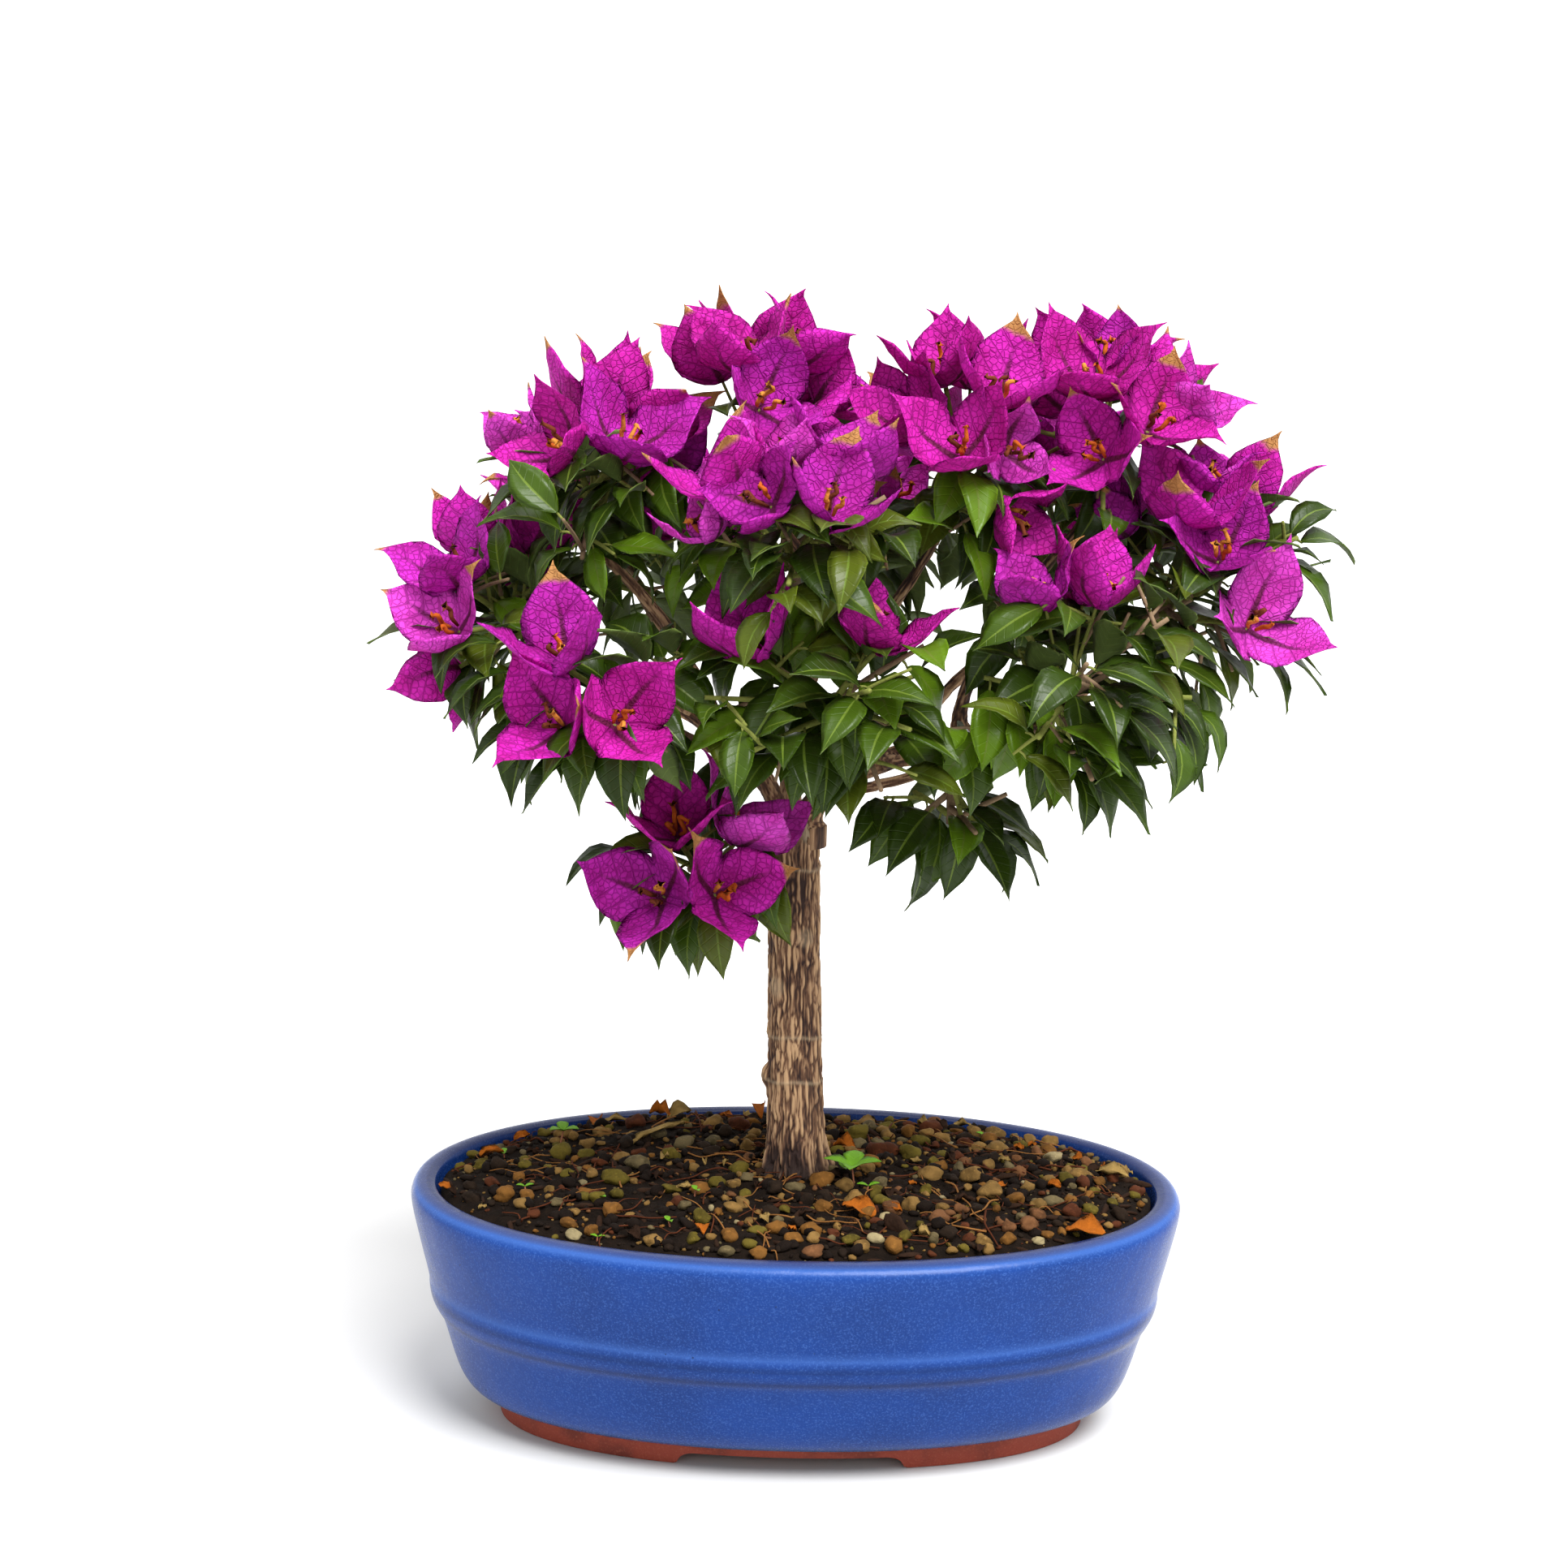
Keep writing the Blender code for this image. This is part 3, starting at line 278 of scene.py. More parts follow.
@dataclass(frozen=True)
class Glaze:
    """Cobalt blue glaze, finely speckled, thin and teal at its lower edge."""

    body: Colour = tint(19, 56, 126)
    deep: Colour = tint(18, 47, 106)
    # The pale colour is that of the specks, and also of the painted highlight along the edges
    pale: Colour = tint(54, 90, 158)
    # The rim's colour is a painted reflection of the pale surroundings
    rim: Colour = tint(52, 52, 76)
    teal: Colour = tint(24, 54, 78)
    worn: Colour = tint(150, 140, 120)
    edge_height: float = 0.0098

    def make(self) -> bpy.types.Material:
        """The glaze as a material.

        Returns:
            The material.
        """
        paint = Paint("blue_glaze")
        _, _, height = paint.parts(paint.place)
        cloud = paint.noise(26, 4)
        speck = paint.noise(1500, 2, 0.7)
        edge, rim, painted_shade = paint.parts(paint.mark("glaze"))
        colour = paint.mix(cloud.between(0.3, 0.75) * 0.8, self.body, self.deep)
        colour = paint.mix(speck.between(0.46, 0.7) * 0.55, colour, self.pale)
        # A painted reflection of the pale surroundings over the rim's top
        colour = paint.mix(rim * 0.7, colour, self.rim)
        # Painted highlight along the rim's crease and the bead's crest, then painted shade in the step, under
        # the bead and on the upper inside
        colour = paint.mix(edge * 0.75, colour, self.pale)
        colour = paint.mix(painted_shade * 0.7, colour, shade(self.deep, 0.5))
        low = (height + cloud * 0.004).between(self.edge_height + 0.0062, self.edge_height + 0.0005)
        colour = paint.mix(low * 0.8, colour, self.teal)
        dots = paint.cells(420).between(0.16, 0.1) * low
        rim_wear = paint.noise(300, 3).between(0.6, 0.75) * low
        colour = paint.mix(dots.most(rim_wear) * 0.6, colour, self.worn)
        pits = paint.cells(105).between(0.045, 0.02)
        colour = paint.mix(pits * 0.7, colour, shade(self.deep, 0.25))
        paint.set(Base_Color=colour, Roughness=0.2 + speck * 0.12, Specular_IOR_Level=0.15)
        relief = paint.noise(90, 3) * 0.7 + speck * 0.06 - pits * 0.3
        paint.set(Normal=paint.bump(relief, 0.0011, 0.55))
        return paint.material


@dataclass(frozen=True)
class Clay:
    """Unglazed red clay, matt, with darker smudges."""

    body: Colour = tint(142, 58, 40)
    dark: Colour = tint(94, 38, 27)
    pale: Colour = tint(176, 94, 70)

    def make(self) -> bpy.types.Material:
        """The clay as a material.

        Returns:
            The material.
        """
        paint = Paint("red_clay")
        cloud = paint.noise(70, 4)
        grain = paint.noise(1400, 2, 0.7)
        colour = paint.mix(cloud.between(0.42, 0.7) * 0.7, self.body, self.dark)
        colour = paint.mix(grain.between(0.52, 0.75) * 0.5, colour, self.pale)
        paint.set(Base_Color=colour, Roughness=0.84)
        paint.set(Normal=paint.bump(grain * 0.6 + cloud, 0.0005, 0.6))
        return paint.material


@dataclass(frozen=True)
class Grainy:
    """A rough natural matter of one base colour with grains, for soil, pebbles, bark bits and fibres."""

    name: str
    body: Colour
    scale: float = 900.0
    contrast: float = 0.5
    roughness: float = 0.85
    depth: float = 0.0005

    def make(self) -> bpy.types.Material:
        """The matter as a material.

        Returns:
            The material.
        """
        paint = Paint(self.name)
        cloud = paint.noise(self.scale * 0.22, 3)
        grain = paint.noise(self.scale, 3, 0.65)
        colour = paint.mix(cloud.between(0.35, 0.7) * self.contrast, self.body, shade(self.body, 0.4))
        colour = paint.mix(grain.between(0.5, 0.8) * self.contrast, colour, shade(self.body, 1.55))
        paint.set(Base_Color=colour, Roughness=self.roughness, Specular_IOR_Level=0.1)
        paint.set(Normal=paint.bump(grain + cloud * 0.5, self.depth, 0.7))
        return paint.material


@dataclass(frozen=True)
class Bark:
    """Bark with pale ridges and red-brown furrows, read from the relief that the mesh carries."""

    ridge: Colour = tint(184, 148, 110)
    middle: Colour = tint(106, 74, 52)
    furrow: Colour = tint(42, 22, 16)
    scar: Colour = tint(180, 160, 130)
    foot_darkening: Colour = tint(40, 27, 20)

    def make(self) -> bpy.types.Material:
        """The bark as a material.

        Returns:
            The material.
        """
        paint = Paint("fissured_bark")
        relief, scar, foot_darkening = paint.parts(paint.mark("bark"))
        fibre = paint.noise(1, 4, 0.6, paint.stretch(paint.place, (1500, 1500, 160)))
        cloud = paint.noise(55, 3)
        level = relief + (fibre - 0.5) * 0.5 + (cloud - 0.5) * 0.4
        colour = paint.ramp(level, (0.1, self.furrow), (0.42, self.middle), (0.78, self.ridge))
        colour = paint.mix(cloud.between(0.5, 0.72) * 0.3, colour, self.middle)
        colour = paint.mix(scar, colour, self.scar)
        # Darker towards the trunk's foot and in the troughs between its root lobes
        colour = paint.mix(foot_darkening, colour, self.foot_darkening)
        paint.set(Base_Color=colour, Roughness=0.88)
        paint.set(Normal=paint.bump(fibre, 0.0006, 0.8))
        return paint.material


@dataclass(frozen=True)
class LeafSkin:
    """One side or the midrib of a leaf: satin, with veins that slant off the midrib and a pale edge."""

    name: str
    body: Colour
    roughness: float = 0.26
    veins: float = 0.2

    def make(self) -> bpy.types.Material:
        """The leaf's skin as a material.

        Returns:
            The material.
        """
        paint = Paint(self.name)
        across, along, rim = paint.parts(paint.mark("blade"))
        vein = (along * 1.9 - abs(across) * 1.5).sine().between(0.86, 1.0)
        net = paint.noise(700, 3, 0.6)
        cloud = paint.noise(120, 2)
        colour = paint.mix(cloud.between(0.35, 0.7) * 0.5, self.body, shade(self.body, 0.6))
        colour = paint.mix(vein * self.veins, colour, shade(self.body, 1.7))
        colour = paint.mix(rim.between(0.86, 0.98) * 0.6, colour, shade(self.body, 2.6))
        paint.set(Base_Color=colour, Roughness=self.roughness + net * 0.12, Specular_IOR_Level=0.24)
        paint.set(Normal=paint.bump(net * 0.5 - vein * 0.6, 0.0003, 0.6))
        paint.shine_through(shade(self.body, 1.6), 0.12)
        return paint.material


@dataclass(frozen=True)
class BractPaper:
    """A papery bract: net veins, a brown-olive midrib towards its foot and, on some, a dry tan tip."""

    name: str
    body: Colour
    deep: Colour
    rib: Colour = tint(88, 34, 44)
    tan: Colour = tint(190, 138, 84)
    length: float = 31.0

    def make(self) -> bpy.types.Material:
        """The bract as a material.

        Returns:
            The material.
        """
        paint = Paint(self.name)
        across, along, dry = paint.parts(paint.mark("blade"))
        wander = paint.noise(160, 2)
        slant = along * 0.95 - abs(across) * 0.8 + wander * 2.2
        vein = slant.sine().between(0.90, 1.0)
        net = paint.cells(520, "DISTANCE_TO_EDGE").between(0.12, 0.0)
        lines = vein.most(net * 0.7)
        cloud = paint.noise(85, 3)
        colour = paint.mix(cloud.between(0.34, 0.72) * 0.7, self.body, self.deep)
        colour = paint.mix(lines * 0.5, colour, shade(self.deep, 0.5))
        lower_part = along.between(self.length * 0.85, self.length * 0.3)
        midrib = (abs(across) + along * 0.03).between(1.6, 0.7) * lower_part
        colour = paint.mix(midrib * 0.85, colour, self.rib)
        dryness = (along + (cloud - 0.5) * 6.0 + dry).between(self.length - 1.2, self.length + 1.0)
        colour = paint.mix(dryness, colour, self.tan)
        paint.set(Base_Color=colour, Roughness=0.62, Specular_IOR_Level=0.12)
        relief = lines * -0.8 + midrib * -0.8 + paint.noise(330, 3) * 1.2
        paint.set(Normal=paint.bump(relief, 0.0007, 0.8))
        paint.shine_through(colour, 0.36)
        return paint.material


@dataclass(frozen=True)
class Faces:
    """The faces of a shape: their corners in one row, how many each has, and the slot of each."""

    corners: np.ndarray
    sizes: np.ndarray
    slots: np.ndarray

    @staticmethod
    def of(faces: Sequence[Sequence[int]], slots: Sequence[int] | int = 0) -> "Faces":
        """Packs faces given as lists of corners.

        Args:
            faces: Each face's corners. A corner that repeats counts once.
            slots: Each face's material slot, or one for all.

        Returns:
            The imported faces.
        """
        clean = [list(dict.fromkeys(face)) for face in faces]
        every = [slots] * len(clean) if isinstance(slots, int) else slots
        kept = [(face, slot) for face, slot in zip(clean, every) if len(face) > 2]
        corners = np.array([corner for face, _ in kept for corner in face], np.int32)
        sizes = np.array([len(face) for face, _ in kept], np.int32)
        return Faces(corners, sizes, np.array([slot for _, slot in kept], np.int32))


def show(name: str, data: bpy.types.ID) -> bpy.types.Object:
    """Puts a mesh, a lamp or a camera into the scene as a new object.

    Args:
        name: The object's name.
        data: The mesh, lamp or camera.

    Returns:
        The object.
    """
    made = bpy.data.objects.new(name, data)
    bpy.context.scene.collection.objects.link(made)
    return made


@dataclass
class Batch:
    """Many small shapes that become one joined mesh."""

    mark: str = "blade"
    points: list[np.ndarray] = field(default_factory=list)
    marks: list[np.ndarray] = field(default_factory=list)
    faces: list[Faces] = field(default_factory=list)
    count: int = 0

    def add(
        self, points: np.ndarray, faces: Faces, palette: Sequence[int] = (0,), marks: np.ndarray | None = None
    ) -> None:
        """Adds one shape.

        Args:
            points: Its points, round the pot's centre.
            faces: Its faces.
            palette: The piece's slot for each of the shape's own slots.
            marks: A vector for each point, for the material to read.
        """
        self.points.append(points)
        self.marks.append(np.zeros_like(points) if marks is None else marks)
        self.faces.append(Faces(faces.corners + self.count, faces.sizes, np.array(palette)[faces.slots]))
        self.count += len(points)

    def build(
        self,
        name: str,
        finishes: Sequence[bpy.types.Material],
        slot: str,
        replaced: Sequence[str] = (),
        crease: float | None = None,
    ) -> bpy.types.Object:
        """Makes the joined mesh as a piece that rides on the part's one body.

        Args:
            name: The piece's name.
            finishes: The material of each slot.
            slot: The record's material slot. It is not used.
            replaced: The solids that it stands for.
            crease: The angle in degrees from which an edge shows sharp, or None for none.

        Returns:
            The piece.
        """
        mesh = bpy.data.meshes.new(name)
        corners = np.concatenate([faces.corners for faces in self.faces])
        sizes = np.concatenate([faces.sizes for faces in self.faces])
        places = np.concatenate(self.points) + np.array(pot_centre())
        mesh.vertices.add(self.count)
        mesh.vertices.foreach_set("co", places.astype(np.float32).ravel())
        mesh.loops.add(len(corners))
        mesh.loops.foreach_set("vertex_index", corners)
        mesh.polygons.add(len(sizes))
        mesh.polygons.foreach_set("loop_start", np.concatenate([[0], np.cumsum(sizes)[:-1]]))
        mesh.polygons.foreach_set("material_index", np.concatenate([faces.slots for faces in self.faces]))
        attribute = mesh.attributes.new(self.mark, "FLOAT_VECTOR", "POINT")
        attribute.data.foreach_set("vector", np.concatenate(self.marks).astype(np.float32).ravel())
        mesh.update(calc_edges=True)
        mesh.shade_smooth()
        if crease:
            mesh.set_sharp_from_angle(angle=math.radians(crease))
        for material in finishes:
            mesh.materials.append(material)
        piece = show(name, mesh)
        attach(piece, "root")
        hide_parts(*replaced)
        log.info("%s: %d triangles", name, int((sizes - 2).sum()))
        return piece


def array(points: Sequence[Vector]) -> np.ndarray:
    """Points as rows of an array."""
    return np.array([tuple(p) for p in points])


def walls(sides: int, rings: int) -> list[tuple[int, ...]]:
    """The faces between rings whose points follow one another.

    Args:
        sides: How many points a ring has.
        rings: How many rings there are.

    Returns:
        The corners of each face.
    """
    found = []
    for low in range(0, sides * (rings - 1), sides):
        for i in range(sides):
            j = (i + 1) % sides
            found.append((low + i, low + j, low + sides + j, low + sides + i))
    return found


def rings_shape(rings: Sequence[np.ndarray]) -> tuple[np.ndarray, Faces]:
    """A closed skin over rings of equal count, which run against the clock seen from the last one.

    Args:
        rings: The points of each ring.

    Returns:
        All the points, and the faces with both caps.
    """
    count = len(rings[0])
    last = count * (len(rings) - 1)
    caps = (tuple(reversed(range(count))), tuple(range(last, last + count)))
    return np.concatenate(rings), Faces.of([*walls(count, len(rings)), *caps])


def turns(sides: int) -> list[float]:
    """The turns in radians of even steps all the way round."""
    return [2 * math.pi * k / sides for k in range(sides)]


def around(turn: float) -> Vector:
    """The level unit vector at a turn in radians."""
    return Vector((math.cos(turn), math.sin(turn), 0))


def square(way: Vector, along: Vector) -> Vector:
    """The unit vector at right angles to along that points most the given way."""
    return (way - along * way.dot(along)).normalized()


def jitter(rng: random.Random, reach: float) -> Vector:
    """A random vector whose parts each lie up to a reach either way."""
    return Vector([rng.uniform(-reach, reach) for _ in range(3)])


def spans_of(line: Line) -> list[float]:
    """The lengths of a line's straight parts."""
    return [(b - a).length for a, b in zip(line, line[1:])]


def bend(start: Vector, control: Vector, end: Vector, t: float) -> Vector:
    """The point at a share of the way along a quadratic curve."""
    return start * (1 - t) ** 2 + control * 2 * t * (1 - t) + end * t**2


def bell(off: float) -> float:
    """A bump of height 1 that dies away about as far as 1 to either side."""
    return math.exp(-off * off)


def curve_through(points: Sequence[Vector], steps: int) -> Line:
    """A smooth line through some points, with this many steps between each pair.

    Args:
        points: The points, two or more.
        steps: How many steps lie between two.

    Returns:
        The line's points.
    """
    ends = [points[0] * 2 - points[1], *points, points[-1] * 2 - points[-2]]
    line = []
    for a, b, c, d in zip(ends, ends[1:], ends[2:], ends[3:]):
        for k in range(steps):
            t = k / steps
            bent = (a * 2 - b * 5 + c * 4 - d) * t**2
            swung = (b * 3 - a - c * 3 + d) * t**3
            line.append((b * 2 + (c - a) * t + bent + swung) / 2)
    return [*line, points[-1].copy()]


def tube_rings(points: Line, radii: Sequence[float], sides: int) -> list[Line]:
    """Rings of a tube along a line of points, carried without twist.

    Args:
        points: The line's points.
        radii: The radius at each.
        sides: How many points a ring has.

    Returns:
        The points of each ring.
    """
    rings = []
    along = (points[1] - points[0]).normalized()
    reference = along.orthogonal().normalized()
    for i, point in enumerate(points):
        before, after = points[max(i - 1, 0)], points[min(i + 1, len(points) - 1)]
        along = (after - before).normalized()
        reference = square(reference, along)
        across = along.cross(reference)
        ring = [reference * math.cos(t) + across * math.sin(t) for t in turns(sides)]
        rings.append([point + out * radii[i] for out in ring])
    return rings


def tube(points: Line, radii: Sequence[float], sides: int) -> tuple[np.ndarray, Faces]:
    """A closed tube along a line."""
    return rings_shape([array(ring) for ring in tube_rings(points, radii, sides)])


def even(first: float, last: float, count: int) -> list[float]:
    """Evenly spaced values from the first to the last."""
    return [first + (last - first) * i / (count - 1) for i in range(count)]


@dataclass(frozen=True)
class Trunk:
    """The trunk's axis and radius, as the solids have them.

    Its radii are those of the foot, the waist and the fork, and its lobes are their number, depth and phase.
    """

    foot_height: float = 0.0864
    top_height: float = 0.2030
    foot_x: float = -0.0004
    lean: Vector = Vector((-0.0036, 0.0020, 0.0))
    lean_power: float = 1.3
    radii: Triple = (0.0096, 0.0085, 0.0092)
    waist_at: float = 0.56
    swelling_from: float = 0.67
    flare: float = 0.0036
    flare_height: float = 0.0069
    lobes: tuple[int, float, float] = (5, 0.38, 0.7)

    def point(self, t: float) -> Vector:
        """The axis, from the flat cut at t = 0 to the fork at t = 1.

        Args:
            t: The share of the way, from 0 to 1.

        Returns:
            The place there.
        """
        foot = Vector((self.foot_x, 0.0, self.foot_height))
        rise = Vector((0, 0, self.top_height - self.foot_height))
        return foot + self.lean * t**self.lean_power + rise * t

    def radius(self, t: float) -> float:
        """The radius without its root flare: a slow taper, then a swelling at the fork.

        Args:
            t: The share of the way, from 0 to 1.

        Returns:
            The radius there.
        """
        foot, waist, fork = self.radii
        slim = foot + (waist - foot) * min(1.0, t / self.waist_at)
        swell = max(0.0, (t - self.swelling_from) / (1 - self.swelling_from))
        return slim + (fork - waist) * swell**2


@dataclass
class Limb:
    """One tapering limb along a quadratic curve, from a foot with a heading to a tip."""

    name: str
    foot: Vector
    heading: Vector
    tip: Vector
    radii: Pair
    bow: float

    @cached_property
    def control(self) -> Vector:
        """The point that bends the curve."""
        return self.foot + self.heading * self.bow

    def point(self, t: float) -> Vector:
        """The axis at a share of the way."""
        return bend(self.foot, self.control, self.tip, t)

    def tangent(self, t: float) -> Vector:
        """The way the axis runs there."""
        along = (self.control - self.foot) * (1 - t) + (self.tip - self.control) * t
        return along.normalized()

    def radius(self, t: float) -> float:
        """The radius there."""
        return self.radii[0] + (self.radii[1] - self.radii[0]) * t

    def side(self, t: float, towards: Sequence[float]) -> Vector:
        """The heading at right angles to the limb that points most towards a place."""
        return square(Vector(towards) - self.point(t), self.tangent(t))


# Main boughs, which stand on the fork's flat top: bearing there, tip, radii and bow
MAIN_BOUGHS = {
    "bough_right": (-15, (0.068, 0.004, 0.236), (0.0042, 0.0032), 0.020),
    "bough_centre": (100, (0.004, 0.010, 0.268), (0.0034, 0.0026), 0.030),
    "bough_left": (215, (-0.052, 0.004, 0.247), (0.0034, 0.0026), 0.022),
}
# Side boughs: the bough that carries it, where along that (1 is its tip), tip, radii and bow
SIDE_BOUGHS = {
    "bough_far_right": ("bough_right", 1.0, (0.100, -0.002, 0.266), (0.0030, 0.0020), 0.016),
    "bough_right_top": ("bough_right", 0.86, (0.088, 0.002, 0.306), (0.0024, 0.0016), 0.018),
    "bough_right_front": ("bough_right", 0.62, (0.072, -0.036, 0.246), (0.0022, 0.0016), 0.016),
    "bough_back_right": ("bough_right", 0.74, (0.074, 0.042, 0.264), (0.0022, 0.0016), 0.016),
    "bough_under_right": ("bough_right", 0.42, (0.041, -0.013, 0.226), (0.0018, 0.0015), 0.005),
    "bough_left_crest": ("bough_centre", 1.0, (-0.010, 0.006, 0.300), (0.0024, 0.0016), 0.012),
    "bough_right_crest": ("bough_centre", 0.86, (0.040, -0.006, 0.300), (0.0024, 0.0016), 0.016),
    "bough_front_top": ("bough_centre", 0.72, (-0.004, -0.034, 0.284), (0.0020, 0.0015), 0.016),
    "bough_front": ("bough_centre", 0.42, (0.014, -0.038, 0.246), (0.0020, 0.0015), 0.014),
    "bough_back": ("bough_centre", 0.58, (0.008, 0.050, 0.268), (0.0022, 0.0016), 0.014),
    "bough_far_left": ("bough_left", 1.0, (-0.078, 0.000, 0.262), (0.0024, 0.0016), 0.012),
    "bough_left_top": ("bough_left", 0.84, (-0.066, 0.002, 0.290), (0.0022, 0.0016), 0.016),
    "bough_left_front": ("bough_left", 0.58, (-0.050, -0.034, 0.246), (0.0020, 0.0015), 0.014),
    "bough_back_left": ("bough_left", 0.72, (-0.052, 0.042, 0.264), (0.0020, 0.0015), 0.014),
}
FORK_SPREAD = 0.0052


def grow_limbs(trunk: Trunk) -> dict[str, Limb]:
    """Every bough, each 0.3 mm clear of what carries it, by name.

    Args:
        trunk: The trunk that carries them.

    Returns:
        The limbs in the order they grow.
    """
    limbs = {}
    fork = trunk.point(1)
    for name, (bearing, tip, radii, bow) in MAIN_BOUGHS.items():
        foot = fork + around(math.radians(bearing)) * FORK_SPREAD + UP * GAP
        limbs[name] = Limb(name, foot, UP, Vector(tip), radii, bow)
    for name, (carrier, at, tip, radii, bow) in SIDE_BOUGHS.items():
        limb = limbs[carrier]
        if at == 1.0:
            heading = limb.tangent(1)
            foot = limb.tip + heading * GAP
        else:
            heading = limb.side(at, tip)
            foot = limb.point(at) + heading * (limb.radius(at) + GAP)
        limbs[name] = Limb(name, foot, heading, Vector(tip), radii, bow)
    return limbs


def heading_of(bearing: float, height: float) -> Vector:
    """A unit vector from a bearing and a height in degrees.

    Args:
        bearing: The turn from +X round to +Y.
        height: The height above level.

    Returns:
        The vector.
    """
    turn, rise = math.radians(bearing), math.radians(height)
    flat = math.cos(rise)
    return Vector((math.cos(turn) * flat, math.sin(turn) * flat, math.sin(rise)))


@dataclass
class Mass:
    """A mass of foliage: its carrier, middle, reach each way, number of leafy twigs, and blooms.

    A bloom is a bearing, from +X round to +Y, and a height above the middle, both in degrees.
    """

    carrier: str
    middle: Vector
    reach: Vector
    leafy_twigs: int
    blooms: Sequence[Pair]

    def __post_init__(self) -> None:
        """Turns the middle and the reach, which the table gives as plain numbers, into vectors."""
        self.middle = Vector(self.middle)
        self.reach = Vector(self.reach)

    def shell(self, bearing: float, height: float, inset: float) -> Vector:
        """The point of its outline, drawn in by an inset, in a direction."""
        out = heading_of(bearing, height)
        return self.middle + Vector([(r - inset) * o for r, o in zip(self.reach, out)])

    def holds(self, point: Vector) -> bool:
        """Whether a point is inside its outline."""
        off = point - self.middle
        return Vector([o / r for o, r in zip(off, self.reach)]).length <= 1.0

    def outward(self, point: Vector) -> Vector:
        """The way straight out of its outline near a point."""
        off = point - self.middle
        return Vector([o / (r * r) for o, r in zip(off, self.reach)]).normalized()


MASSES = {
    "foliage_far_right": Mass(
        "bough_far_right", (0.122, -0.004, 0.282), (0.054, 0.056, 0.056), 4,
        ((260, 55), (280, 30), (300, -10), (70, 20)),
    ),
    "foliage_right_top": Mass(
        "bough_right_top", (0.092, 0.002, 0.330), (0.046, 0.052, 0.048), 3,
        ((250, 45), (305, 15), (265, -5), (80, 40)),
    ),
    "foliage_right_crest": Mass(
        "bough_right_crest", (0.048, -0.014, 0.322), (0.042, 0.054, 0.054), 2,
        ((260, 15), (180, 65), (310, 50), (310, 20), (305, -15)),
    ),
    "foliage_left_crest": Mass(
        "bough_left_crest", (-0.016, 0.006, 0.326), (0.044, 0.050, 0.053), 2,
        ((230, 60), (340, 60), (265, 30), (315, 15), (90, 45)),
    ),
    "foliage_front_top": Mass(
        "bough_front_top", (-0.006, -0.056, 0.300), (0.050, 0.050, 0.052), 5,
        ((300, 35), (250, 45), (195, 45), (20, 60)),
    ),
    "foliage_left_top": Mass(
        "bough_left_top", (-0.070, 0.000, 0.312), (0.048, 0.054, 0.048), 3,
        ((305, 35), (255, 40), (230, 10), (0, 40), (90, 50)),
    ),
    "foliage_far_left": Mass(
        "bough_far_left", (-0.096, -0.002, 0.268), (0.048, 0.058, 0.048), 4,
        ((220, 40), (235, 5), (230, -25), (110, 10)),
    ),
    "foliage_left_front": Mass(
        "bough_left_front", (-0.062, -0.056, 0.256), (0.048, 0.048, 0.046), 6,
        ((235, 35), (240, -15), (280, -10)),
    ),
    "foliage_front": Mass(
        "bough_front", (0.006, -0.062, 0.256), (0.054, 0.048, 0.046), 11, ((340, 60), (190, 45))
    ),
    "foliage_right_front": Mass(
        "bough_right_front", (0.080, -0.058, 0.262), (0.054, 0.050, 0.052), 12, ()
    ),
    "foliage_under_right": Mass(
        "bough_under_right", (0.046, -0.028, 0.212), (0.038, 0.036, 0.034), 6, ()
    ),
    "foliage_back_right": Mass(
        "bough_back_right", (0.080, 0.054, 0.284), (0.056, 0.056, 0.058), 4,
        ((60, 45), (110, 15), (20, 25), (75, -15)),
    ),
    "foliage_back": Mass(
        "bough_back", (0.010, 0.064, 0.286), (0.052, 0.052, 0.060), 4,
        ((60, 50), (120, 45), (90, 10), (50, 5)),
    ),
    "foliage_back_left": Mass(
        "bough_back_left", (-0.062, 0.054, 0.282), (0.056, 0.056, 0.056), 4,
        ((100, 50), (150, 25), (120, 0), (160, -20)),
    ),
    "foliage_low_left": Mass(
        "trunk", (-0.036, -0.030, 0.196), (0.042, 0.042, 0.040), 4,
        ((250, 50), (350, 35), (240, -25), (300, -20)),
    ),
}
TWIG_STEPS = 2
TWIG_BOW = 0.35
WIDEST = 0.42
BLADE_ROOM = 0.0010
CROWN_CENTRE = Vector((0.012, 0.005, 0.262))


def along_line(line: Line, share: float) -> Vector:
    """The point at a share of a line's length.

    Args:
        line: The line's points.
        share: The share, from 0 to 1.

    Returns:
        The point.
    """
    spans = spans_of(line)
    at = share * sum(spans)
    for a, b, span in zip(line, line[1:], spans):
        if at <= span:
            return a.lerp(b, at / span)
        at -= span
    return line[-1].copy()


def twig_line(start: Vector, heading: Vector, end: Vector, lift: float) -> Line:
    """Points along a curved twig.

    Args:
        start: Where the twig starts.
        heading: The way it leaves.
        end: Where it ends.
        lift: How far it bows up, as a share of its reach.

    Returns:
        Its points.
    """
    reach = (end - start).length
    control = start + heading * reach * TWIG_BOW + Vector((0, 0, lift * reach))
    return [bend(start, control, end, i / TWIG_STEPS) for i in range(TWIG_STEPS + 1)]


class Guard:
    """A search tree of a shape with the sphere that holds it, to find what it would touch."""

    def __init__(self, points: Sequence[Vector], faces: Sequence[Sequence[int]]) -> None:
        """Builds the tree and its sphere.

        Args:
            points: The shape's points.
            faces: The corners of each face.
        """
        self.tree = BVHTree.FromPolygons(points, faces)
        low = Vector([min(p[axis] for p in points) for axis in range(3)])
        high = Vector([max(p[axis] for p in points) for axis in range(3)])
        self.middle = (low + high) / 2
        self.reach = (high - low).length / 2

    @staticmethod
    def of_tube(points: Line, radii: Sequence[float], sides: int) -> "Guard":
        """The guard of a tube's walls."""
        rings = tube_rings(points, radii, sides)
        return Guard([p for ring in rings for p in ring], walls(sides, len(rings)))


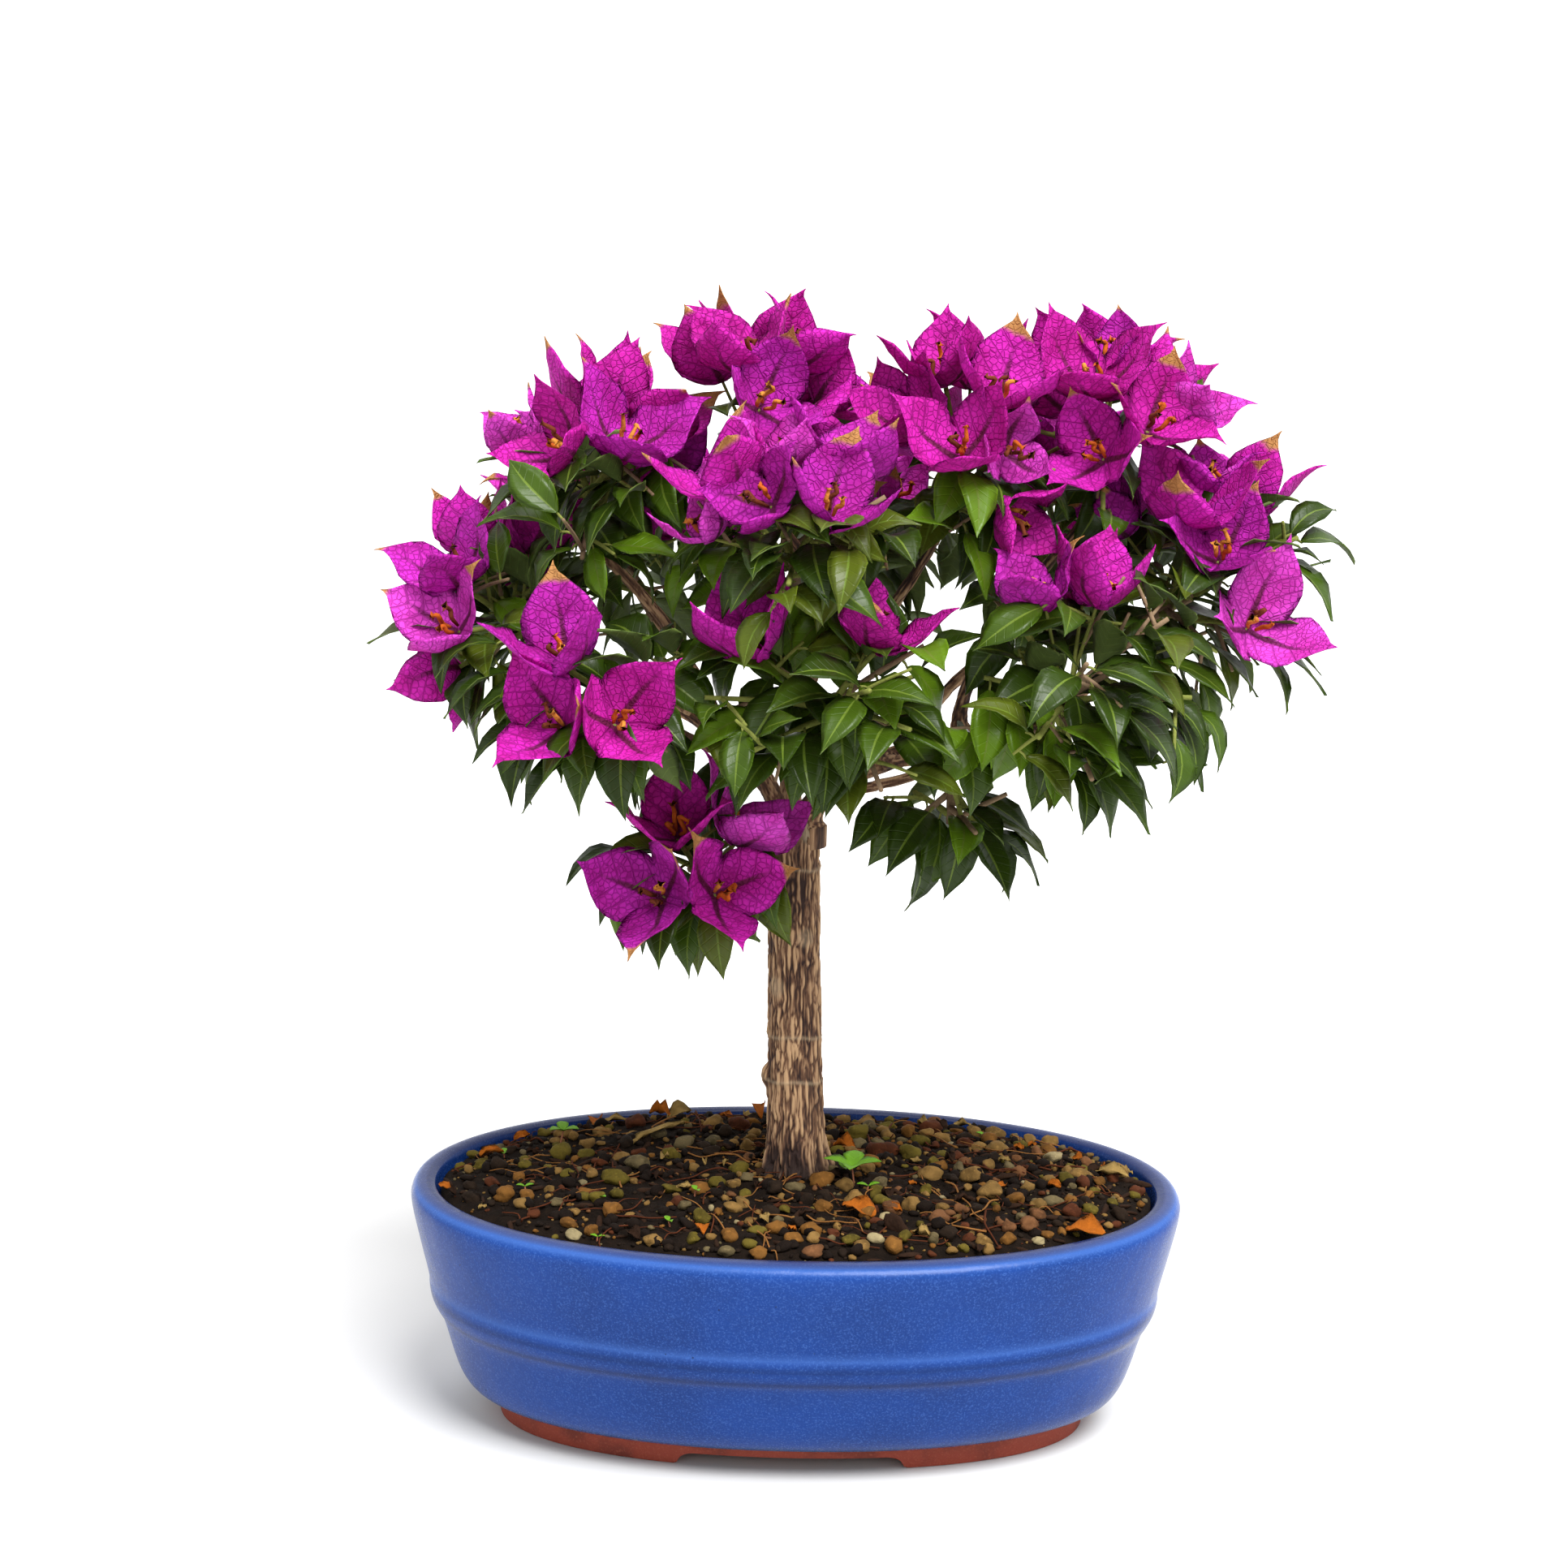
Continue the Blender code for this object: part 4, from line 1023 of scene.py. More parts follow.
@dataclass
class Crowd:
    """Guards that have taken their place, each with the mass that owns it."""

    slack: float = 1e-6
    guards: list[Guard] = field(default_factory=list)
    owners: list[str] = field(default_factory=list)
    spheres: np.ndarray = field(default_factory=lambda: np.zeros((0, 4)))

    def add(self, guard: Guard, owner: str = "") -> None:
        """Gives a guard its place.

        Args:
            guard: The guard.
            owner: The mass that owns it, if one does.
        """
        self.guards.append(guard)
        self.owners.append(owner)
        self.spheres = np.vstack([self.spheres, [*guard.middle, guard.reach + self.slack]])

    def meets(self, guard: Guard, but: str | None = None) -> bool:
        """Whether a guard touches any here, one owner's left out.

        Args:
            guard: The guard to try.
            but: The owner whose guards don't count.

        Returns:
            Whether it touches one.
        """
        away = np.linalg.norm(self.spheres[:, :3] - np.array(guard.middle), axis=1)
        near = np.flatnonzero(away < self.spheres[:, 3] + guard.reach)
        return any(self.owners[i] != but and guard.tree.overlap(self.guards[i].tree) for i in near)


@dataclass
class Leaf:
    """A leaf where it leaves its twig, folded along its midrib."""

    root: Vector
    heading: Vector
    face: Vector
    length: float
    width: float

    thickness: float = 0.0008
    fold: float = 0.16
    guard_from: float = 0.14
    probes_at: tuple[float, ...] = (0.2, 0.42, 0.6, 0.8, 1.0)

    def guard(self) -> Guard:
        """The leaf's guard, with some room round it, past its own root.

        Returns:
            The guard.
        """
        half = (self.thickness + BLADE_ROOM) / 2
        across = self.heading.cross(self.face)
        middle = self.root + self.heading * self.length * WIDEST
        edge = middle + self.face * self.fold * self.width
        points = (
            self.root + self.heading * self.length * self.guard_from,
            self.root + self.heading * self.length,
            edge + across * self.width / 2,
            edge - across * self.width / 2,
            middle + self.face * half,
            middle - self.face * half,
        )
        faces = ((0, 2, 4), (0, 4, 3), (1, 4, 2), (1, 3, 4), (0, 5, 2), (0, 3, 5), (1, 2, 5), (1, 5, 3))
        return Guard(points, faces)

    def probes(self) -> Line:
        """Points along its midrib and both edges.

        Returns:
            The points, from the foot to the tip.
        """
        across = self.heading.cross(self.face)
        found = []
        for along in self.probes_at:
            half = self.width / 2 * min(along / WIDEST, (1 - along) / (1 - WIDEST))
            middle = self.root + self.heading * self.length * along
            edge = self.face * self.fold * half * 2
            found += [middle, middle + across * half + edge, middle - across * half + edge]
        return found


@dataclass
class Bloom:
    """Three bracts in a cup round an axis, with the roll and the opening in radians."""

    foot: Vector
    axis: Vector
    roll: float
    opening: float
    scale: float

    length: float = 0.031
    width: float = 0.0235
    thickness: float = 0.0009
    sink: float = 0.0012
    floor: float = 0.0007
    notch: float = 0.22
    fold: float = 0.02

    def bracts(self) -> Iterator[tuple[Vector, Vector]]:
        """The heading and the inner face of each bract.

        Yields:
            A bract's two unit vectors.
        """
        first = self.axis.orthogonal().normalized()
        second = self.axis.cross(first)
        for i in range(3):
            turn = self.roll + i * 2 * math.pi / 3
            out = first * math.cos(turn) + second * math.sin(turn)
            heading = self.axis * math.cos(self.opening) + out * math.sin(self.opening)
            face = self.axis * math.sin(self.opening) - out * math.cos(self.opening)
            yield heading, face

    def guard(self, room: float = BLADE_ROOM) -> Guard:
        """The cup's guard, with some room round it.

        Args:
            room: How much thicker than a bract it is.

        Returns:
            The guard.
        """
        length, width = self.length * self.scale, self.width * self.scale
        half = (self.thickness + room) / 2
        bracts = list(self.bracts())
        points = [self.foot + self.axis * (self.floor + BLADE_ROOM / 2), self.foot - self.axis * self.sink]
        for i in range(3):
            between = (bracts[i][0] + bracts[(i + 1) % 3][0]).normalized()
            points.append(self.foot + between * length * self.notch)
        faces = []
        for i, (heading, face) in enumerate(bracts):
            across = heading.cross(face)
            middle = self.foot + heading * length * WIDEST
            edge = middle + face * self.fold * width
            tip = len(points)
            points.append(self.foot + heading * length)
            points += [edge + across * width / 2, edge - across * width / 2]
            points += [middle + face * half, middle - face * half]
            before, after = 2 + (i + 2) % 3, 2 + i
            for foot, centre in ((0, tip + 3), (1, tip + 4)):
                ring = (foot, before, tip + 1, tip, tip + 2, after)
                faces += [(centre, ring[k], ring[(k + 1) % 6]) for k in range(6)]
        return Guard(points, faces)


@dataclass
class Spray:
    """A twig with its leaves and, where it flowers, its bloom. Fine ones are the scene's own."""

    line: Line
    leaves: list[Leaf]
    bloom: Bloom | None = None
    fine: bool = False


@dataclass
class Growth:
    """The seeded rule that fills each mass with twigs, leaves and blooms.

    The stems, the flowering twigs and the blooms come first. The space nearer to a mass's own ones than to
    any other mass's is its space, and its leafy twigs and leaves keep to it. That far the crown is the
    solids' own. Finer shoots with more leaves then fill the same reach.
    """

    trunk: Trunk
    limbs: Mapping[str, Limb]
    trunk_probes: int = 40
    limb_sides: int = 6
    twig_sides: int = 3
    # What stays bare at the end of a leafy and of a flowering twig
    bare_end: Pair = (0.0012, 0.0040)
    leaf_size: Pair = (0.031, 0.0140)
    stem_radii: Pair = (0.0023, 0.0018)
    twig_radii: Pair = (0.0012, 0.0009)
    twigged_share: float = 0.72
    low_spray_at: float = 0.86
    space_margin: float = 0.0004
    limb_probe: float = 0.0025
    limb_room: float = 0.0014
    bloom_inset: float = 0.025
    bloom_rise: float = 0.80
    bloom_tries: int = 24
    bloom_stray: float = 0.07
    bloom_shrink: float = 0.012
    bloom_lift: float = 0.06
    bract_opening: Pair = (34, 44)
    bract_scale: Pair = (0.92, 1.08)
    cup_anchors: Pair = (0.008, 0.022)
    leafy_top: float = 0.72
    leafy_range: float = 1.5
    twig_stray: float = 18
    twig_inset: float = 0.016
    twig_lift: float = 0.05
    twig_shares: tuple[float, ...] = (1.0, 0.85, 0.7, 0.55, 0.4)
    leaf_from: float = 0.24
    leaf_step: float = 0.0092
    leaf_tries: int = 3
    leaf_scale: Pair = (0.85, 1.12)
    leaf_stray: float = 0.2
    leaf_lean: Triple = (0.9, 0.45, 0.55)
    leaf_face: Pair = (0.75, 0.2)
    tuft_spacing: Pair = (0.0, 0.0026)
    tuft_room: float = 0.0018
    droop: Pair = (0.15, 0.75)
    droop_from: float = 0.335
    droop_depth: float = 0.11
    # Finer shoots: their spacing along a twig, reach, tries, lean outward and any way, and their leaves
    shoot_step: float = 0.0085
    shoot_from: float = 0.25
    shoot_reach: Pair = (0.010, 0.024)
    shoot_tries: int = 4
    shoot_lean: Pair = (0.5, 0.9)
    shoot_probes: Triple = (0.4, 0.7, 1.0)
    fine_scale: Pair = (0.70, 1.08)
    fine_step: float = 0.0062
    fine_droop: float = 0.42
    fine_stray: float = 0.7
    fine_ceiling: float = 0.320
    belly_room: float = 0.006
    # Smaller blooms of the scene's own
    extra_root: Pair = (0.5, 1.0)
    extra_tries: int = 70
    extra_most: int = 5
    extra_heights: Pair = (10, 85)
    extra_from: float = 0.286
    extra_stray: float = 0.35
    extra_opening: Pair = (24, 42)
    extra_scale: Pair = (0.72, 1.0)
    extra_rooms: Pair = (0.72, 0.45)
    # Where the sky shows through, seen from the front: middle and half sizes, with the view's slant
    sky: tuple[tuple[float, ...], ...] = (
        (0.0354, 0.2551, 0.0105, 0.0105),
        (0.0231, 0.2262, 0.0075, 0.0080),
        (0.0700, 0.1640, 0.0600, 0.0330),
    )
    view_slant: float = 0.2406
    # What has grown: guards of the blades, cups, roomy cups, twigs and boughs, then stems and sprays
    blades: Crowd = field(default_factory=Crowd)
    cups: Crowd = field(default_factory=Crowd)
    bellies: Crowd = field(default_factory=Crowd)
    wood: Crowd = field(default_factory=Crowd)
    limb_guards: Crowd = field(default_factory=Crowd)
    stems: dict[str, Line] = field(default_factory=dict)
    sprays: dict[str, list[Spray]] = field(default_factory=lambda: {name: [] for name in MASSES})

    def __post_init__(self) -> None:
        """Grows the crown in its fixed order."""
        self.measure_limbs()
        self.plan_blooms()
        for grow_mass in (self.grow, self.bloom_again, self.refine):
            for name in MASSES:
                grow_mass(name)

    def measure_limbs(self) -> None:
        """Takes places and radii all along the trunk and the boughs, and guards the boughs."""
        shares = [i / self.trunk_probes for i in range(self.trunk_probes + 1)]
        spots = [(self.trunk.point(t), self.trunk.radius(t)) for t in shares]
        for limb in self.limbs.values():
            count = max(4, int((limb.tip - limb.foot).length / self.limb_probe))
            shares = [i / count for i in range(count + 1)]
            spots += [(limb.point(t), limb.radius(t)) for t in shares]
            radii = [limb.radius(t) + GAP for t in shares]
            self.limb_guards.add(Guard.of_tube([limb.point(t) for t in shares], radii, self.limb_sides))
        self.limb_places = array([p for p, _ in spots])
        self.limb_radii = np.array([r for _, r in spots])

    def plan_blooms(self) -> None:
        """Grows every stem, then the flowering twigs with their blooms, and shares out the space."""
        anchors = []
        for name, mass in MASSES.items():
            self.stems[name] = self.stem_line(mass)
            self.wood.add(self.twig_guard(self.stems[name], self.stem_radii), name)
            anchors += [(name, p) for p in self.stems[name]]
        for name, mass in MASSES.items():
            rng = random.Random(name)
            for k, (bearing, height) in enumerate(mass.blooms):
                spray = self.plan_bloom(name, k, bearing, height, rng)
                if spray:
                    self.sprays[name].append(spray)
                    bloom = spray.bloom
                    anchors += [(name, bloom.foot + bloom.axis * reach) for reach in self.cup_anchors]
                    anchors += [(name, p) for p in spray.line[1:]]
        self.anchor_owners = np.array([owner for owner, _ in anchors])
        self.anchor_places = array([p for _, p in anchors])

    def twig_guard(self, line: Line, radii: Pair) -> Guard:
        """The guard of a twig or a stem along a line."""
        return Guard.of_tube(line, even(*radii, TWIG_STEPS + 1), self.twig_sides)

    def touches(self, guard: Guard, but: str | None = None) -> bool:
        """Whether a guard touches a blade, a bough or the twigs of any mass, one mass's left out."""
        return self.blades.meets(guard) or self.limb_guards.meets(guard) or self.wood.meets(guard, but)

    def twig_root(self, name: str, k: int) -> Vector:
        """Where a twig leaves its mass's stem: every second place carries a bloom, the rest leaves.

        Args:
            name: The mass's name.
            k: The place's number, from the stem's end down.

        Returns:
            The point.
        """
        mass = MASSES[name]
        places = 2 * max(len(mass.blooms), mass.leafy_twigs)
        return along_line(self.stems[name], 1.0 - self.twigged_share * k / places)

    def in_space(self, name: str, points: Line) -> bool:
        """Whether all the points are nearer to a mass's own wood and blooms than to any other's.

        Args:
            name: The mass's name.
            points: The points to try.

        Returns:
            Whether all of them are.
        """
        away = np.linalg.norm(array(points)[:, None, :] - self.anchor_places[None, :, :], axis=2)
        own = self.anchor_owners == name
        return bool((away[:, ~own].min(axis=1) - away[:, own].min(axis=1) > self.space_margin).all())

    def in_sky(self, point: Vector) -> bool:
        """Whether a point would cover a place where the sky or only blooms show.

        Args:
            point: The point.

        Returns:
            Whether it would.
        """
        rise = point.z + point.y * self.view_slant
        windows = (math.hypot((point.x - x) / wide, (rise - z) / high) < 1 for x, z, wide, high in self.sky)
        return rise > self.fine_ceiling or any(windows)

    def clear_of_limbs(self, points: Line, room: float) -> bool:
        """Whether all the points keep some room to the trunk and every bough."""
        away = np.linalg.norm(array(points)[:, None, :] - self.limb_places[None, :, :], axis=2)
        return bool((away > self.limb_radii[None, :] + room).all())

    def stem_line(self, mass: Mass) -> Line:
        """A mass's stem, from just clear of what carries it to the mass's middle.

        Args:
            mass: The mass.

        Returns:
            The stem's points.
        """
        if mass.carrier == "trunk":
            centre = self.trunk.point(self.low_spray_at)
            out = mass.middle - centre
            heading = Vector((out.x, out.y, 0)).normalized()
            start = centre + heading * (self.trunk.radius(self.low_spray_at) + GAP * 2)
        else:
            limb = self.limbs[mass.carrier]
            heading = limb.tangent(1)
            start = limb.tip + heading * GAP
        return twig_line(start, heading, mass.middle, 0.0)

    def plan_bloom(
        self, name: str, k: int, bearing: float, height: float, rng: random.Random
    ) -> Spray | None:
        """A mass's k-th flowering twig, at the first try that touches nothing, or None.

        Args:
            name: The mass's name.
            k: The bloom's number.
            bearing: Its turn from +X round to +Y.
            height: Its height above the mass's middle, in degrees.
            rng: Where the random numbers come from.

        Returns:
            The twig with its bloom, or None.
        """
        mass = MASSES[name]
        foot = mass.shell(bearing, height, self.bloom_inset)
        root = self.twig_root(name, 2 * k + 1)
        line = twig_line(root, (foot - root).normalized(), foot, self.bloom_lift)
        twig = self.twig_guard(line, self.twig_radii)
        if self.touches(twig, name):
            return None
        for attempt in range(self.bloom_tries):
            stray = Vector([rng.uniform(-self.bloom_stray, self.bloom_stray) * attempt for _ in range(3)])
            axis = (mass.outward(foot) + Vector((0, 0, self.bloom_rise)) + stray).normalized()
            opening = math.radians(rng.uniform(*self.bract_opening))
            scale = rng.uniform(*self.bract_scale) * (1 - self.bloom_shrink * attempt)
            bloom = Bloom(foot, axis, rng.uniform(0, 2 * math.pi), opening, scale)
            guard = bloom.guard()
            if not self.touches(guard):
                self.blades.add(guard)
                self.cups.add(guard)
                self.bellies.add(bloom.guard(self.belly_room))
                self.wood.add(twig, name)
                return Spray(line, [], bloom)
        return None

    def leaf_at(self, place: Vector, along: Vector, turn: float, rng: random.Random, fine: bool) -> Leaf:
        """A leaf where it leaves a twig that runs along a heading.

        Args:
            place: Where it leaves.
            along: The way the twig runs there.
            turn: How far round the twig it stands.
            rng: Where the random numbers come from.
            fine: Whether it is one of the scene's own, finer ones.

        Returns:
            The leaf.
        """
        side = along.orthogonal().normalized()
        side = side * math.cos(turn) + along.cross(side) * math.sin(turn)
        outward = place - CROWN_CENTRE
        outward.z = 0
        outward.normalize()
        sag = min(1.0, max(0.0, (self.droop_from - place.z) / self.droop_depth))
        sag = self.droop[0] + self.droop[1] * sag * (self.fine_droop if fine else 1.0)
        heading = side * self.leaf_lean[0] + along * self.leaf_lean[1] + outward * self.leaf_lean[2]
        heading = heading - Vector((0, 0, sag))
        stray = jitter(rng, self.fine_stray if fine else self.leaf_stray)
        heading = (heading + stray).normalized()
        face = square(outward * self.leaf_face[0] + UP + side * self.leaf_face[1], heading)
        scale = rng.uniform(*(self.fine_scale if fine else self.leaf_scale))
        return Leaf(place, heading, face, self.leaf_size[0] * scale, self.leaf_size[1] * scale)

    def leaf_fits(self, name: str, leaf: Leaf, fine: bool) -> bool:
        """Whether a leaf touches nothing inside its mass. One that fits takes its place.

        The fine ones needn't keep to their mass's own space.

        Args:
            name: The mass's name.
            leaf: The leaf to try.
            fine: Whether it is one of the scene's own, finer ones.

        Returns:
            Whether it has taken its place.
        """
        probes = leaf.probes()
        mass = MASSES[name]
        if not all(mass.holds(p) for p in probes) or not (fine or self.in_space(name, probes)):
            return False
        if fine and any(self.in_sky(p) for p in probes):
            return False
        if not self.clear_of_limbs(probes, self.limb_room):
            return False
        guard = leaf.guard()
        if self.touches(guard) or fine and self.bellies.meets(guard):
            return False
        self.blades.add(guard)
        return True

    def leafy_twigs(self, name: str, rng: random.Random) -> list[Line]:
        """Twigs that end in leaves, on a spiral over the mass, cut short where they would leave its space.

        Args:
            name: The mass's name.
            rng: Where the random numbers come from.

        Returns:
            Each twig's points.
        """
        mass = MASSES[name]
        lines = []
        for k in range(mass.leafy_twigs):
            sine = self.leafy_top - self.leafy_range * (k + 0.5) / mass.leafy_twigs
            bearing = math.degrees(k * GOLDEN_ANGLE) + rng.uniform(-self.twig_stray, self.twig_stray)
            root = self.twig_root(name, 2 * k)
            target = mass.shell(bearing, math.degrees(math.asin(sine)), self.twig_inset)
            for share in self.twig_shares:
                tip = root.lerp(target, share)
                line = twig_line(root, (tip - root).normalized(), tip, self.twig_lift)
                if self.twig_fits(name, line, False):
                    lines.append(line)
                    break
        return lines

    def twig_fits(self, name: str, line: Line, fine: bool) -> bool:
        """Whether a leafy twig stays in its mass's space, and touches no blade and no other mass's wood.

        Args:
            name: The mass's name.
            line: The twig's points.
            fine: Whether it is one of the scene's own, finer ones.

        Returns:
            Whether it has taken its place.
        """
        probes = [a.lerp(b, part) for a, b in zip(line, line[1:]) for part in self.shoot_probes]
        if not (fine or self.in_space(name, probes)) or not self.clear_of_limbs(probes, self.limb_room):
            return False
        guard = self.twig_guard(line, self.twig_radii)
        if self.blades.meets(guard) or self.wood.meets(guard, name):
            return False
        self.wood.add(guard, name)
        return True

    def leaves_on(self, name: str, line: Line, rng: random.Random, flowers: bool, fine: bool) -> list[Leaf]:
        """Leaves along a twig, spiralling round it, and a tuft at a leafy twig's tip.

        Args:
            name: The mass's name.
            line: The twig's points.
            rng: Where the random numbers come from.
            flowers: Whether the twig ends in a bloom.
            fine: Whether it is one of the scene's own, finer ones.

        Returns:
            The leaves that fit.
        """
        spans = spans_of(line)
        end = sum(spans) - self.bare_end[flowers]
        turn = rng.uniform(0, 2 * math.pi)
        tried, at = [], sum(spans) * self.leaf_from
        while at < end:
            tried.append(at)
            at += self.fine_step if fine else self.leaf_step
        if not flowers:
            tried += [end - back for back in self.tuft_spacing if end - back > tried[-1] + self.tuft_room]
        leaves = []
        for at in tried:
            segment = 0
            while segment < len(spans) - 1 and at > spans[segment]:
                at -= spans[segment]
                segment += 1
            a, b = line[segment], line[segment + 1]
            place = a.lerp(b, at / spans[segment])
            for _ in range(self.leaf_tries):
                turn += GOLDEN_ANGLE
                leaf = self.leaf_at(place, (b - a).normalized(), turn, rng, fine)
                if self.leaf_fits(name, leaf, fine):
                    leaves.append(leaf)
                    break
        return leaves

    def grow(self, name: str) -> None:
        """Grows a mass's leafy twigs and all its leaves, as the solids have them.

        Args:
            name: The mass's name.
        """
        rng = random.Random(name + " leaves")
        self.sprays[name] += [Spray(line, []) for line in self.leafy_twigs(name, rng)]
        for spray in self.sprays[name]:
            spray.leaves = self.leaves_on(name, spray.line, rng, spray.bloom is not None, False)

    def bloom_again(self, name: str) -> None:
        """Adds smaller blooms between a mass's own, on its upper side.

        Args:
            name: The mass's name.
        """
        rng = random.Random(name + " blooms")
        mass, added = MASSES[name], 0
        for _ in range(self.extra_tries):
            foot = mass.shell(rng.uniform(0, 360), rng.uniform(*self.extra_heights), self.bloom_inset)
            stray = jitter(rng, 1) * self.extra_stray
            axis = (mass.outward(foot) + Vector((0, 0, self.bloom_rise)) + stray).normalized()
            opening = math.radians(rng.uniform(*self.extra_opening))
            roll = rng.uniform(0, 2 * math.pi)
            scale = rng.uniform(*self.extra_scale)
            sizes = [scale * room for room in self.extra_rooms]
            core, heart = (Bloom(foot, axis, roll, opening, size).guard() for size in sizes)
            if foot.z < self.extra_from or self.cups.meets(core) or self.blades.meets(heart):
                continue
            if self.limb_guards.meets(core) or added == self.extra_most:
                continue
            added += 1
            root = along_line(self.stems[name], rng.uniform(*self.extra_root))
            line = twig_line(root, (foot - root).normalized(), foot, self.bloom_lift)
            self.cups.add(core)
            bloom = Bloom(foot, axis, roll, opening, scale)
            self.bellies.add(bloom.guard(self.belly_room))
            self.sprays[name].append(Spray(line, [], bloom, fine=True))

    def refine(self, name: str) -> None:
        """Carries a mass on to finer shoots, out from its stem and every twig.

        Args:
            name: The mass's name.
        """
        rng = random.Random(name + " shoots")
        mass = MASSES[name]
        for line in [self.stems[name]] + [spray.line for spray in self.sprays[name]]:
            length = sum(spans_of(line))
            count = max(1, int(length * (1 - self.shoot_from) / self.shoot_step))
            for k in range(count):
                root = along_line(line, self.shoot_from + (1 - self.shoot_from) * (k + 0.5) / count)
                for _ in range(self.shoot_tries):
                    out = mass.outward(root) * self.shoot_lean[0]
                    heading = (out + jitter(rng, 1) * self.shoot_lean[1]).normalized()
                    tip = root + heading * rng.uniform(*self.shoot_reach)
                    shoot = twig_line(root, heading, tip, self.twig_lift)
                    if mass.holds(tip) and self.twig_fits(name, shoot, True):
                        leaves = self.leaves_on(name, shoot, rng, False, True)
                        if leaves:
                            self.sprays[name].append(Spray(shoot, leaves, fine=True))
                        break


@dataclass(frozen=True)
class BladeGrid:
    """The grid over a blade's two sheets, which share one outline.

    The half width runs from 0 to 1 at the widest place and back to 0 where the body ends, as a sine whose
    power changes along it. A narrow point carries the body on to the tip. The upper sheet has slot 0, with
    slot 1 between the columns of its rib, and the lower sheet slot 2.
    """

    widest: float
    powers: Pair
    stations: int
    columns: tuple[float, ...]
    rib: float = 0.0
    body: float = 1.0
    point: float = 0.0

    @cached_property
    def along(self) -> np.ndarray:
        """The share of the length at each station, closer together at both ends, as a column."""
        return (0.5 - 0.5 * np.cos(np.linspace(0, np.pi, self.stations)))[:, None]

    @cached_property
    def across(self) -> np.ndarray:
        """The share of the half width at each column, as a row."""
        return np.array(self.columns)[None, :]

    @cached_property
    def half_width(self) -> np.ndarray:
        """The outline's half width at each station, as a column.

        Returns:
            The half widths, up to 1.
        """
        bent = (self.along / self.body).clip(0, 1) ** (math.log(0.5) / math.log(self.widest / self.body))
        power = self.powers[0] + (self.powers[1] - self.powers[0]) * self.along
        point_from = self.body * 0.7
        point = np.where(self.along > point_from, self.point * (1 - self.along) / (1 - point_from), 0.0)
        return np.maximum(np.sin(np.pi * bent).clip(0, 1) ** power, point)

    @cached_property
    def sheets(self) -> tuple[np.ndarray, Faces]:
        """Which points of both sheets' grids are in use, and the faces over them.

        Returns:
            The points' numbers, and the faces over those points alone.
        """
        count = len(self.columns)
        top = np.arange(self.stations * count).reshape(self.stations, count)
        top[0], top[-1] = top[0, 0], top[-1, 0]
        bottom = top + top.size
        for edge in (np.s_[0], np.s_[-1], np.s_[:, 0], np.s_[:, -1]):
            bottom[edge] = top[edge]
        faces, slots = [], []
        for i in range(self.stations - 1):
            for j in range(count - 1):
                ribbed = max(abs(self.columns[j]), abs(self.columns[j + 1])) <= self.rib
                faces.append((top[i, j], top[i, j + 1], top[i + 1, j + 1], top[i + 1, j]))
                faces.append((bottom[i, j], bottom[i + 1, j], bottom[i + 1, j + 1], bottom[i, j + 1]))
                slots += [int(ribbed), 2]
        packed = Faces.of(faces, slots)
        used, corners = np.unique(packed.corners, return_inverse=True)
        return used, Faces(corners, packed.sizes, packed.slots)

    def lay(
        self, shape: Sequence[np.ndarray], thickness: float, root: Vector, heading: Vector, face: Vector
    ) -> np.ndarray:
        """The points of a blade.

        Args:
            shape: How far each point of the grid lies across, along and above, from the root.
            thickness: How far apart the sheets are.
            root: Where the blade starts.
            heading: The way it runs.
            face: The way its upper face looks.

        Returns:
            The points in use.
        """
        axes = array([heading.cross(face), heading, face])
        top = np.stack(np.broadcast_arrays(*shape), axis=-1).reshape(-1, 3)
        both = np.concatenate([top, top - (0, 0, thickness)])[self.sheets[0]]
        return both @ axes + np.array(root)

    def marks(self, across: np.ndarray, along: np.ndarray, extra: np.ndarray | float) -> np.ndarray:
        """What the material reads at each point in use: millimetres across and along, and one more value."""
        grid = np.stack(np.broadcast_arrays(across / MM, along / MM, extra), axis=-1).reshape(-1, 3)
        return np.concatenate([grid, grid])[self.sheets[0]]


LEAF_GRID = BladeGrid(0.44, (0.85, 1.05), 10, (-1, -0.5, -0.06, 0.06, 0.5, 1), 0.1, 0.95, 0.18)
BRACT_GRID = BladeGrid(
    0.40, (0.55, 1.05), 15, (-1, -0.75, -0.5, -0.25, 0, 0.25, 0.5, 0.75, 1), body=0.94, point=0.30
)
SCRAP_GRID = BladeGrid(0.46, (0.7, 1.0), 7, (-1, -0.5, 0, 0.5, 1))


class LeafTint(IntEnum):
    """The greens that are dealt out to the leaves, one to a spray."""

    DARK = 0
    MID = 1
    OLIVE = 2
    YOUNG = 3


# The finish of each leaf tint, then of the rib and of the underside
GREENS = (
    LeafSkin("leaf_dark", tint(42, 60, 10)),
    LeafSkin("leaf_mid", tint(56, 78, 12)),
    LeafSkin("leaf_olive", tint(74, 86, 18)),
    LeafSkin("leaf_young", tint(84, 114, 18)),
    LeafSkin("leaf_rib", tint(94, 114, 38), veins=0.0),
    LeafSkin("leaf_underside", tint(78, 94, 42), roughness=0.6, veins=0.4),
)
# The finishes that are dealt out to the blooms and to their flowers
MAGENTAS = (
    BractPaper("bract_magenta", tint(222, 48, 196), tint(170, 12, 124)),
    BractPaper("bract_bright", tint(232, 82, 216), tint(192, 34, 156)),
    BractPaper("bract_purple", tint(208, 50, 194), tint(156, 14, 122)),
    BractPaper("bract_pink", tint(218, 44, 184), tint(164, 10, 118)),
)
DRIED = (
    Grainy("flower_ochre", tint(196, 128, 52)),
    Grainy("flower_orange", tint(176, 84, 28)),
    Grainy("flower_brown", tint(104, 50, 30)),
)


